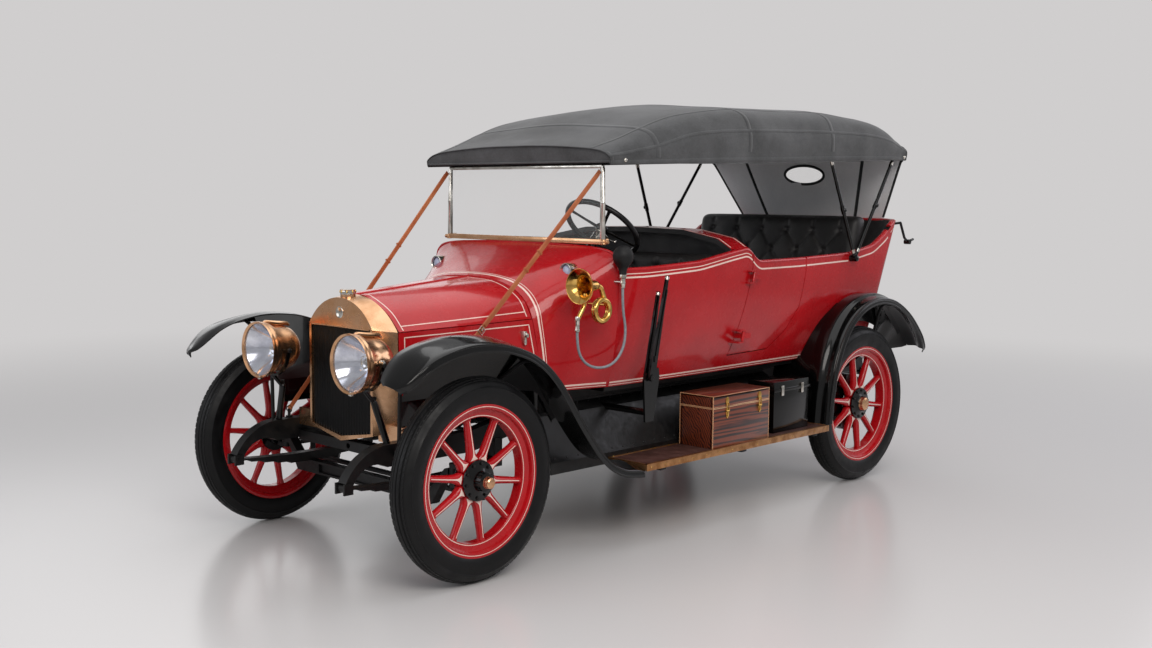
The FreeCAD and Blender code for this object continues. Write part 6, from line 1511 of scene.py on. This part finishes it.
rows_outer = []
for half, low, side_top, shoulder, crown, behind in hood_stations:
    line = hood_across(half, low, side_top, shoulder, crown)
    count = len(line)
    sag = 0.010 * (1.0 - bow_nearness(behind) ** 2)
    points = []
    for i, p in enumerate(line):
        ahead, back = line[min(i + 1, count - 1)], line[max(i - 1, 0)]
        tangent = (ahead - back).normalized()
        normal = Vector((-tangent.y, tangent.x, 0))
        normal = normal if normal.y + 0.4 * normal.x > 0 else -normal
        down = i / (count - 1)
        hug = min(fold_depth(behind, down) - sag * (1 - down) - 0.0020, 0.0018)
        points.append(p + normal * hug)
    right = [at(behind, -p.x, p.y) for p in points[::-1]]
    left = [at(behind, p.x, p.y) for p in points[1:]]
    rows_outer.append(right + left)
under_rows = []
for row in rows_outer:
    count = len(row)
    low_row = []
    for i, p in enumerate(row):
        tangent = (row[min(i + 1, count - 1)] - row[max(i - 1, 0)])
        normal = Vector((0, -tangent.z, tangent.y)).normalized()
        if normal.dot(p - Vector((p.x, 0, 1.2))) < 0:
            normal = -normal
        low_row.append(p - normal * 0.0030)
    under_rows.append(low_row)
hood_shape = grid([top + low[::-1] for top, low in zip(rows_outer, under_rows)], close_v=True, cap=True)
hood_piece = piece("hood_roof", hood_shape, duck, stands_for=["hood_cloth"], angle=60,
                   fix_normals=True)


def seam(points, width, thickness):
    """A sewn strip that follows points (place, outward) on a cloth."""
    rows = []
    for i, (p, out) in enumerate(points):
        ahead = (points[min(i + 1, len(points) - 1)][0] - points[max(i - 1, 0)][0]).normalized()
        side = out.cross(ahead).normalized()
        rows.append([p + side * u + out * v for u, v in flat_section(width, thickness, thickness * 0.45)])
    return grid(rows, close_v=True, cap=True)


def row_near(behind):
    """The hood's row that lies nearest to a distance behind the front axle."""
    return min(range(len(hood_stations)), key=lambda i: abs(hood_stations[i][5] - behind))


def hood_point(row, k):
    """Place and outward direction on the hood's outside at row and column."""
    p = rows_outer[row][k]
    count = len(rows_outer[row])
    across = rows_outer[row][min(k + 1, count - 1)] - rows_outer[row][max(k - 1, 0)]
    along = rows_outer[min(row + 1, len(rows_outer) - 1)][k] - rows_outer[max(row - 1, 0)][k]
    out = across.cross(along).normalized()
    if out.dot(p - Vector((p.x, 0, 1.2))) < 0:
        out = -out
    return p, out


columns = len(rows_outer[0])
middle = columns // 2
seams = []
for k, width, thickness in ((middle - 17, 0.016, 0.0022), (middle + 17, 0.016, 0.0022),
                            (middle - 27, 0.016, 0.0022), (middle + 27, 0.016, 0.0022), (1, 0.020, 0.0034),
                            (columns - 2, 0.020, 0.0034)):
    seams.append(seam([hood_point(r, k) for r in range(len(rows_outer))], width, thickness))
front_edge = [hood_point(0, k) for k in range(columns)]
rear_edge = [hood_point(len(rows_outer) - 1, k) for k in range(columns)]
for end, shift in ((front_edge, -0.006), (rear_edge, 0.006)):
    seams.append(seam([(p + AHEAD * shift, out) for p, out in end], 0.022, 0.0034))
for bow in BOWS[:3]:
    seams.append(seam([hood_point(row_near(bow), k) for k in range(3, columns - 3)], 0.030, 0.0018))
header = [p for p, _ in front_edge if p.z > 1.6605]
valance_rows = []
for i in range(9):
    drop = i / 8
    valance_rows.append([Vector((p.x - 0.004 + 0.0035 * sin(pi * drop), p.y * (1 - 0.012 * drop),
                                 p.z + (1.6600 - p.z) * drop)) for p in header])
valance = grid([row + [p - Vector((0.003, 0, 0)) for p in row[::-1]] for row in valance_rows], close_v=True,
               cap=True)
roll = [Vector((p.x - 0.002, p.y, 1.6625)) for p in header]
seams += [valance, tube(roll, 0.0045, 8)]
hood_seams = piece("hood_seams", joined(*seams), duck, angle=50, fix_normals=True)

# Nickel studs near both ends of the hood's lower edge
studs = []
for side in (1, -1):
    for behind in (0.98, 3.27):
        p, out = hood_point(row_near(behind), columns - 2 if side > 0 else 1)
        studs.append((p + out * 0.0012 + UP * 0.008, out, UP))
repeated("hood_studs", nickel_screws, studs, (0.020, 0.006))

# Rear curtain: cloth hung inside the rear bow, bound at its edges and bands, with a bound oval window

CURTAIN_BEHIND = 3.2835
CURTAIN_SLOPE = 0.1015
CURTAIN_TOP, CURTAIN_BEND, CURTAIN_LOW = 1.7760, 1.698, 1.3705
WINDOW_Z, WINDOW_HALF_Y, WINDOW_HALF_Z = 1.620, 0.128, 0.052


def curtain_behind(z):
    """How far back the curtain hangs: upright at the top, then leaning out to the body."""
    return CURTAIN_BEHIND + CURTAIN_SLOPE * max(0.0, (CURTAIN_BEND - z) / (CURTAIN_BEND - CURTAIN_LOW))


curtain_rows = []
roof_line = hood_across(*hood_stations[-1][:5])
for i in range(45):
    t = i / 44
    z = CURTAIN_TOP + (CURTAIN_LOW - CURTAIN_TOP) * t
    half = 0.470 + 0.160 * ((z - CURTAIN_LOW) / 0.3295)
    if z > 1.70:
        half = 0.6350 - 0.0400 * max(0.0, (z - 1.725) / 0.05)
    row = []
    for k in range(81):
        u = k / 80 * 2 - 1
        pull = 0.0020 * sin(15.0 * u) * (1 - abs(2 * t - 1) ** 2)
        roof_z = np.interp(abs(u * half), [p.x for p in roof_line], [p.y for p in roof_line])
        lift = (roof_z - 0.0045 - CURTAIN_TOP) * (1 - t) ** 3
        row.append(at(curtain_behind(z) + pull, u * half, z - 0.004 * (1 - u * u) * t + lift))
    curtain_rows.append(row)
back_rows = [[p - Vector((0.0022, 0, 0)) for p in row] for row in curtain_rows]


def with_window(front, back, centre_z, half_y, half_z):
    """Two faces of a sheet with the cells inside an oval left out, closed all round."""
    rows, cols = len(front), len(front[0])
    verts = [p for row in front for p in row] + [p for row in back for p in row]
    offset = rows * cols
    keep = set()
    for r in range(rows - 1):
        for c in range(cols - 1):
            p = (front[r][c] + front[r + 1][c + 1]) / 2
            if (p.y / half_y) ** 2 + ((p.z - centre_z) / half_z) ** 2 > 1.0:
                keep.add((r, c))
    faces = []
    for r, c in keep:
        a, b, d, e = r * cols + c, r * cols + c + 1, (r + 1) * cols + c, (r + 1) * cols + c + 1
        faces.append((a, b, e, d))
        faces.append((a + offset, d + offset, e + offset, b + offset))
        for (nr, nc), (m, n) in (((r - 1, c), (a, b)), ((r + 1, c), (e, d)), ((r, c - 1), (d, a)),
                                 ((r, c + 1), (b, e))):
            if (nr, nc) not in keep:
                faces.append((n, m, m + offset, n + offset))
    return verts, faces


curtain = piece("rear_curtain", with_window(curtain_rows, back_rows, WINDOW_Z, WINDOW_HALF_Y, WINDOW_HALF_Z),
                curtain_cloth_painted_light, stands_for=["hood_curtain"], angle=60, fix_normals=True)
bindings = []
oval = []
for a in around(48):
    z = WINDOW_Z + (WINDOW_HALF_Z + 0.002) * sin(a)
    oval.append(at(curtain_behind(z) + 0.0010, (WINDOW_HALF_Y + 0.003) * cos(a), z))
bindings.append(sweep(oval, flat_section(0.016, 0.0040), closed=True, start_side=(0, 1, 0)))
for u in (-0.998, -0.62, 0.62, 0.998):
    edge = [row[min(80, max(0, round((u + 1) * 40)))] + Vector((-0.0008, 0, 0)) for row in curtain_rows[:-1]]
    bindings.append(sweep(edge, flat_section(0.020 if abs(u) < 0.9 else 0.014, 0.0036), start_side=(0, 1, 0)))
low_hem = [p + Vector((-0.0008, 0, 0.008)) for p in curtain_rows[-1]]
bindings.append(sweep(low_hem, flat_section(0.016, 0.0036), start_side=(0.3, 0, 1)))
curtain_binding = piece("curtain_binding", joined(*bindings), strap_black, angle=50,
                        fix_normals=True)
pane_rows = []
for i in range(9):
    share = i / 4 - 1
    z = WINDOW_Z + WINDOW_HALF_Z * share
    half = WINDOW_HALF_Y * sqrt(max(0.0, 1 - share ** 2)) + 0.003
    pane_rows.append([at(curtain_behind(z) + 0.0012, half * (k / 10 - 1), z) for k in range(21)])
film = grid([row + [p + AHEAD * 0.0008 for p in row[::-1]] for row in pane_rows], close_v=True, cap=True)
curtain_pane = piece("curtain_window", film, window_film, fix_normals=True)
lined(curtain, lambda c, n: n.x < 0, duck)

# Bows of bent ash, black irons with black joints and bright ferrules, and the rests for the folded hood

for v in carried("hood_front_bows", "hood_bows", bench_wood, angle=30).data.vertices:
    v.co.z -= 0.007 * min(1.0, max(0.0, (v.co.z - 1.75) / 0.15))
for v in carried("hood_iron_frames", "hood_irons", black, angle=40).data.vertices:
    v.co.z -= 0.009 * min(1.0, max(0.0, (v.co.z - 1.735) / 0.03))
piece("hood_rear_hem", tube(rows_outer[-1], 0.0042, 10), strap_black, angle=60)
carried("hood_rest_irons", "hood_rests", black, angle=40)
joints_made, ferrules = [], []
for side in (1, -1):
    pivot = at(2.774, side * 0.667, 1.177)
    joints_made.append(lathe([(0, -0.002), (0.0135, -0.001), (0.0165, 0.003), (0.0150, 0.008), (0.009, 0.011),
                              (0, 0.012)], pivot + Vector((0, side * 0.009, 0)), (0, side, 0), 24))
    for behind, share, reach in ((2.543, 0.46, 0.022), (3.196, 0.50, 0.018)):
        top = at(behind, side * 0.641, 1.730)
        middle = pivot.lerp(top, share)
        way = (top - pivot).normalized()
        joints_made.append(tube([middle - way * reach, middle + way * reach], 0.0112, 16))
        joints_made.append(lathe([(0, -0.0005), (0.010, 0), (0.012, 0.003), (0.010, 0.0065), (0, 0.008)],
                                 middle + Vector((0, side * 0.009, 0)), (0, side, 0), 18))
        for part_of in (0.07, 0.90):
            foot = pivot.lerp(top, part_of)
            ferrules.append(tube([foot - way * 0.010, foot + way * 0.010], 0.0106, 16))
piece("hood_iron_joints", joined(*joints_made), black, fix_normals=True)
piece("hood_iron_ferrules", joined(*ferrules), nickel, fix_normals=True)

# Straps that hold the hood forward: a long strap, doubled back through a buckle, on an iron hook

def strap_point(top, foot, outward, share, lift=0.0):
    return top.lerp(foot, share) + outward * lift


straps, buckles, hooks = [], [], []
for side in (1, -1):
    top, foot = at(0.9380, side * 0.5000, 1.6230), at(-0.1120, side * 0.394, 0.5683)
    way = (foot - top).normalized()
    outward = Vector((0, side, 0)) - way * (Vector((0, side, 0)).dot(way))
    outward.normalize()
    flat = way.cross(outward)
    line = (top, foot, outward)
    long_path = [strap_point(*line, t / 40) for t in range(41)]
    straps.append(sweep(long_path, flat_section(0.022, 0.0034, 0.0012), start_side=flat))
    upper = [strap_point(*line, 0.012 + 0.60 * t / 24, 0.0042 + (0.004 * sin(pi * t / 24) if t > 18 else 0))
             for t in range(25)]
    straps.append(sweep(upper, flat_section(0.020, 0.0032, 0.0012), start_side=flat))
    for share in (0.33, 0.40, 0.655):
        mid = strap_point(*line, share, 0.0018)
        loop = [mid + flat * (0.0125 * a) + outward * (0.0068 * b)
                for a, b in ((1, 1), (1, -0.7), (-1, -0.7), (-1, 1))]
        straps.append(sweep(loop, flat_section(0.008, 0.0016), closed=True, start_side=way))
    mid = strap_point(*line, 0.63, 0.0058)
    frame_ring = [mid + flat * (0.0150 * a) + way * (0.013 * b)
                  for a, b in ((1, 1), (1, -1), (-1, -1), (-1, 1))]
    buckles.append(tube(frame_ring, 0.0019, 10, closed=True))
    buckles.append(tube([mid - flat * 0.015, mid + flat * 0.015], 0.0016, 8))
    buckles.append(tube([mid - way * 0.001, mid - way * 0.015 + outward * 0.002], 0.0013, 8))
    hooks.append(tube([at(-0.1120, side * 0.394, z) for z in (0.5345, 0.5700)], 0.0068, 14))
    hooks.append(tube([foot + flat * 0.016, foot + flat * 0.010 - way * 0.014,
                       foot - flat * 0.010 - way * 0.014, foot - flat * 0.016,
                       foot - flat * 0.012 + way * 0.010, foot + flat * 0.012 + way * 0.010], 0.0026, 10,
                      closed=True))
    hooks.append(block(at(-0.100, side * 0.394 - 0.012, 0.5345), at(-0.124, side * 0.394 + 0.012, 0.5400),
                       0.002))
piece("hood_hold_straps", joined(*straps), strap_hide, stands_for=["hood_straps"],
      angle=40, fix_normals=True)
piece("strap_buckles", joined(*buckles), nickel, angle=60, fix_normals=True)
piece("strap_hooks", joined(*hooks), iron, angle=60, fix_normals=True)

# Seats: hide stuffed with hair, drawn down by buttons on a diamond pattern. The cushions are
# blown up by a short cloth simulation from a slightly smaller shape, pinned at the buttons.

FRAMES = 20
PRESSURE = 4.0
LARGEST_MOVE = 0.024
VOXEL = 0.0082
PAD_INSET = 0.011
PAD_CORNER = 0.034
BUTTON_DEPTH = 0.017


def diamonds(u0, u1, v0, v1, across, rows):
    """Buttons in staggered rows, and the pleats that join each to its neighbours in the next row."""
    buttons, links, last = [], [], []
    for r in range(rows):
        v = v0 + (v1 - v0) * (r + 0.5) / rows
        shift = 0.5 if r % 2 else 0.0
        row = [(u0 + (u1 - u0) * (i + 0.5 + shift) / across, v) for i in range(across - (1 if r % 2 else 0))]
        links += [(a, b) for a in last for b in row if abs(a[0] - b[0]) < 0.75 * (u1 - u0) / across]
        last = row
        buttons += row
        if r == 0:
            links += [(b, (b[0], v0)) for b in row]
    links += [(b, (b[0], v1)) for b in last]
    return buttons, links


def drawn_in(points, buttons, links, wide=0.020, narrow=0.0085):
    """How far each (u, v) is drawn in: 1 at a button, 0.45 along a pleat, 0 between."""
    points = np.array(points)
    deep = np.zeros(len(points))
    for button in buttons:
        deep = np.maximum(deep, np.exp(-((points - button) ** 2).sum(1) / wide ** 2))
    for a, b in links:
        a, b = np.array(a), np.array(b)
        share = np.clip((points - a) @ (b - a) / ((b - a) @ (b - a)), 0, 1)
        gap = ((points - a - share[:, None] * (b - a)) ** 2).sum(1)
        deep = np.maximum(deep, 0.45 * np.exp(-gap / narrow ** 2))
    return deep


def coords(mesh):
    out = np.empty(len(mesh.vertices) * 3)
    mesh.vertices.foreach_get("co", out)
    return out.reshape(-1, 3)


class Pad:
    """A cushion from a box with a leaning back face, worked in (u, v, w) with w out of the tufted face."""

    def __init__(self, name, low, high, lean, tufted, across, rows):
        self.low, self.high, self.lean, self.tufted = Vector(low), Vector(high), lean, tufted
        inset = Vector((PAD_INSET,) * 3)
        core = block(self.low + inset, self.high - inset, PAD_CORNER, 5)
        shear = Matrix.Identity(4)
        shear[0][2] = -lean / (self.high.z - self.low.z)
        shear[0][3] = lean * self.low.z / (self.high.z - self.low.z)
        self.obj = piece(name, moved(core, shear), black_hide, angle=180)
        finished(self.obj, ("REMESH", {"mode": "VOXEL", "voxel_size": VOXEL}))
        self.obj.data.shade_smooth()
        first, second = (1, 2) if tufted == "x" else (1, 0)
        u0, u1 = self.low[first] + 0.03, self.high[first] - 0.03
        v0, v1 = self.low[second] + 0.035, self.high[second] - 0.035
        self.buttons, self.links = diamonds(u0, u1, v0, v1, across, rows)
        self.facing = AHEAD if tufted == "x" else UP
        mesh = self.obj.data
        self.rest = coords(mesh)
        normals = np.array([v.normal[:] for v in mesh.vertices])
        self.front = np.clip((normals @ np.array(self.facing) - 0.35) / 0.3, 0, 1)
        self.under = normals @ np.array(self.facing) < -0.6
        uv = self.uv(self.rest)
        self.deep = drawn_in(uv, self.buttons, self.links) * self.front
        self.rest -= np.outer(self.deep * BUTTON_DEPTH, self.facing)
        mesh.vertices.foreach_set("co", self.rest.ravel())
        mesh.update()

    def uv(self, points):
        """Across and up the tufted face."""
        return points[:, [1, 2]] if self.tufted == "x" else points[:, [1, 0]]

    def stuff(self):
        """Cloth with pressure, held at the buttons, partly along the pleats, and underneath."""
        held = self.obj.vertex_groups.new(name="held")
        for index, (deep, under) in enumerate(zip(self.deep, self.under)):
            weight = 1.0 if under or deep > 0.82 else min(1.0, 1.4 * deep)
            if weight > 0.05:
                held.add([index], float(weight), "REPLACE")
        cloth_made = self.obj.modifiers.new("stuffing", "CLOTH")
        settings = cloth_made.settings
        settings.quality = 4
        settings.mass = 0.35
        settings.tension_stiffness = settings.compression_stiffness = 12
        settings.shear_stiffness = 6
        settings.bending_stiffness = 0.6
        settings.use_pressure = True
        settings.uniform_pressure_force = PRESSURE
        settings.vertex_group_mass = "held"
        settings.effector_weights.gravity = 0.0
        cloth_made.point_cache.frame_start = 1
        cloth_made.point_cache.frame_end = FRAMES

    def settle(self):
        """Keeps the simulated shape, with each point's move capped, inside the room of the CAD cushion."""
        blown = self.obj.evaluated_get(bpy.context.evaluated_depsgraph_get())
        shape = coords(blown.data)
        self.obj.modifiers.clear()
        move = shape - self.rest
        size = np.linalg.norm(move, axis=1)
        move *= np.minimum(1.0, LARGEST_MOVE / np.maximum(size, 1e-9))[:, None]
        self.rest = self.rest + move

    def close(self, stands_for):
        """Trims the pad to its room, smooths it, and sews its buttons on."""
        leaned = -self.lean * (self.rest[:, 2] - self.low.z) / (self.high.z - self.low.z)
        self.rest[:, 0] = np.clip(self.rest[:, 0] - leaned, self.low.x + 0.001, self.high.x - 0.001) + leaned
        for axis in (1, 2):
            self.rest[:, axis] = np.clip(self.rest[:, axis], self.low[axis] + 0.0012, self.high[axis] - 0.001)
        self.obj.data.vertices.foreach_set("co", self.rest.ravel())
        self.obj.data.update()
        self.obj.vertex_groups.clear()
        finished(self.obj, ("SUBSURF", {"levels": 1, "render_levels": 1}))
        self.obj.data.shade_smooth()
        if stands_for:
            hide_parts(*stands_for)
        tree = BVHTree.FromPolygons([v.co for v in self.obj.data.vertices],
                                    [p.vertices for p in self.obj.data.polygons])
        spots = []
        for u, v in self.buttons:
            start = Vector((self.high.x + 0.2, u,
                            v)) if self.tufted == "x" else Vector((v, u, self.high.z + 0.2))
            place, normal, _, _ = tree.ray_cast(start, -self.facing)
            if place is not None:
                spots.append((place - self.facing * 0.0005, self.facing, Vector((0, 1, 0))))
        repeated(self.obj.name + "_buttons", hide_buttons, spots, (0.022, 0.005))


hide_buttons = repeater("hide_buttons", lathe([(0.5, 0.0), (0.48, 0.45), (0.34, 0.85), (0.0, 1.0)], steps=14),
                        black_hide)
pads = [Pad("front_cushion", at(1.740, -0.560, 0.8353), at(1.265, 0.560, 0.985), 0.0, "z", 7, 3),
        Pad("rear_cushion", at(3.010, -0.560, 0.8503), at(2.520, 0.560, 1.000), 0.0, "z", 7, 3),
        Pad("front_back_rest", at(1.760, -0.560, 0.9853), at(1.640, 0.560, 1.235), 0.020, "x", 7, 2),
        Pad("rear_back_rest", at(3.040, -0.540, 1.0003), at(2.920, 0.540, 1.400), 0.100, "x", 6, 3)]
for pad in pads:
    pad.stuff()
for number in range(1, FRAMES + 1):
    scene.frame_set(number)
for pad in pads:
    pad.settle()
scene.frame_set(1)
for pad, nodes in zip(pads, (["seat_cushions"], [], ["seat_backs"], [])):
    pad.close(nodes)

# Welts along the cushions' front edges
welts = []
for behind, top_z in ((1.265, 0.985), (2.520, 1.000)):
    welts.append(tube([at(behind + 0.006, y * 0.01 - 0.545, top_z - 0.012) for y in range(110)], 0.0045, 8))
piece("cushion_welts", joined(*welts), black_hide, angle=60, fix_normals=True)

# Steering wheel, column and quadrant

hub_place = at(1.185, 0.300, 1.362)
rise = radians(46.7)
up_column = Vector((-cos(rise), 0, sin(rise)))
wheel_frame = turned_to(hub_place, up_column, (0, 1, 0))
rim_line = [Vector((0.181 * cos(a), 0.181 * sin(a), 0)) for a in around(96)]
rim_shape = tube(rim_line, 0.0128, 16, closed=True)
piece("steering_rim", moved(rim_shape, wheel_frame), rim_black, "steering_wheel", angle=60,
      stands_for=["steering_wheel"], fix_normals=True)
spider = [lathe([(0.0, 0.012), (0.012, 0.0115), (0.016, 0.006), (0.030, 0.004), (0.0325, -0.001),
                 (0.0325, -0.012), (0.027, -0.0215), (0.0, -0.0220)], (0, 0, 0), (0, 0, 1), 40)]
for k in range(4):
    turn = radians(45 + 90 * k)
    way = Vector((cos(turn), sin(turn), 0))
    path = [way * r + Vector((0, 0, -0.007 + 0.007 * (r / 0.17))) for r in (0.02, 0.05, 0.09, 0.13, 0.174)]
    spider.append(sweep(path, [(0.0085 * cos(a), 0.0055 * sin(a)) for a in around(12)],
                        start_side=UP.cross(way), scales=(1.25, 1.05, 0.9, 0.9, 1.15)))
piece("steering_spider", moved(joined(*spider), wheel_frame), black, "steering_wheel", angle=40,
      fix_normals=True)
carried("steering_column_tube", "steering_column", black, angle=40)
collars = [lathe([(0.0192, -0.02), (0.0235, -0.018), (0.0235, 0.018), (0.0192, 0.02)],
                 hub_place - up_column * reach, up_column, 24) for reach in (0.060, 0.300)]
quadrant_place = turned_to(hub_place - up_column * 0.052, up_column, (0, 1, 0))
sector = [(0.060 * cos(a), 0.060 * sin(a)) for a in [radians(-70 + 5 * i) for i in range(29)]]
sector += [(0.048 * cos(a), 0.048 * sin(a)) for a in [radians(70 - 5 * i) for i in range(29)]]
ribs = [moved(tube([Vector((0.020, 0, 0)), Vector((0.052, 0, 0))], 0.004, 8),
              Matrix.Rotation(radians(a), 4, "Z")) for a in (-60, 0, 60)]
small_levers = []
for turn, reach in ((-38, 0.098), (30, 0.088)):
    arm = joined(tube([Vector((0.0, 0, 0.006)), Vector((reach, 0, 0.007))], 0.0028, 8),
                 lathe([(0, -0.007), (0.005, -0.005), (0.0065, 0), (0.005, 0.005), (0, 0.007)],
                       (reach, 0, 0.009), (0, 0, 1), 14))
    small_levers.append(moved(arm, Matrix.Rotation(radians(turn), 4, "Z")))
piece("column_fittings", joined(*collars, plate(sector, 0.003, quadrant_place, 0.0008),
                                moved(joined(*ribs, *small_levers), quadrant_place)), nickel,
      angle=40, fix_normals=True)

# Hand levers with bright grips, and the quadrant's pivot

carried("hand_lever_blades", "hand_levers", black, angle=30)
grips = []
for behind, y, z, foot_z in ((1.134, 0.728, 1.163, 1.143), (1.104, 0.702, 1.093, 1.075)):
    lean = (behind - 1.034) / (z - 0.716)
    top, low = at(behind, y, z - 0.001), at(behind - lean * (z - foot_z), y, foot_z)
    way = (top - low).normalized()
    span = (top - low).length
    grips.append(lathe([(0.0078, 0.0), (0.0105, 0.003), (0.0100, span * 0.5), (0.0110, span - 0.012),
                        (0.0090, span - 0.004), (0.0, span)], low, way, 20))
piece("lever_grips", joined(*grips), nickel, fix_normals=True)
latch_rods = [tube([at(1.052, 0.7355, 0.800), at(1.126, 0.7355, 1.100)], 0.0030, 8),
              tube([at(1.044, 0.7095, 0.800), at(1.096, 0.7095, 1.040)], 0.0030, 8)]
nut = [lathe([(0, 0.001), (0.008, 0), (0.0165, -0.0015), (0.0165, -0.008)], at(1.034, 0.7385, 0.716),
             (0, 1, 0), 6), block(at(1.060, 0.7335, 0.786), at(1.044, 0.7375, 0.812), 0.001)]
piece("lever_rods", joined(*latch_rods, *nut), iron, fix_normals=True)

# Dashboard and floor: dark board with two brass rimmed dials left blank, ash floor boards

carried("dash_board", "dashboard", mahogany, angle=20)
dials = []
for y, z, radius in ((0.060, 1.205, 0.042), (-0.075, 1.205, 0.034)):
    dials.append(lathe([(radius, 0.0), (radius + 0.003, 0.004), (radius, 0.009), (radius - 0.005, 0.010),
                        (radius - 0.006, 0.003), (0.0, 0.003)], at(0.9390, y, z), (-1, 0, 0), 40))
piece("dash_dials", joined(*dials), brass, fix_normals=True)
lined(carried("floor_boards", "floor", bench_wood, angle=20),
      lambda c, n: n.z < -0.3 or abs(n.y) > 0.4 or abs(n.x) > 0.4 and c.z < 0.72, iron)

# Chassis: rails, cross members, axles, springs, engine and driveline

carried("frame_rails", "side_rails", iron, angle=25)
carried("frame_cross_members", "cross_members", iron, angle=25)
carried("front_axle_beam", "front_axle", iron, angle=35)
carried("rear_axle_casing", "rear_axle", greasy, angle=35)
carried("spring_stacks", "leaf_springs", iron, angle=25)
carried("steering_knuckle_left", "knuckle_left", iron, "knuckle_left", angle=35)
carried("steering_knuckle_right", "knuckle_right", iron, "knuckle_right", angle=35)
carried("track_rod", "tie_rod", iron, "tie_rod", angle=35)
carried("engine_mass", "engine_block", greasy, angle=25)
carried("propeller_line", "driveline", greasy, angle=35)
rail_rivets, clip_nuts = [], []
for side in (1, -1):
    for i in range(16):
        behind = 0.62 + 0.105 * i
        rail_rivets.append((at(behind, side * 0.4110, 0.560 if i % 2 else 0.520), Vector((0, side, 0)),
                            AHEAD))
    for centre, z in ((0.0, 0.500), (WHEELBASE, 0.470)):
        for db in (-0.035, 0.035):
            for dy in (-0.034, 0.034):
                clip_nuts.append((at(centre + db, side * 0.382 + dy, z), UP, AHEAD))
repeated("rail_rivets", rivets, rail_rivets, (0.014, 0.005))
repeated("engine_front_bolts", nuts, [(at(0.072, y, 0.585), AHEAD, UP) for y in (0.150, -0.150)], 0.018)
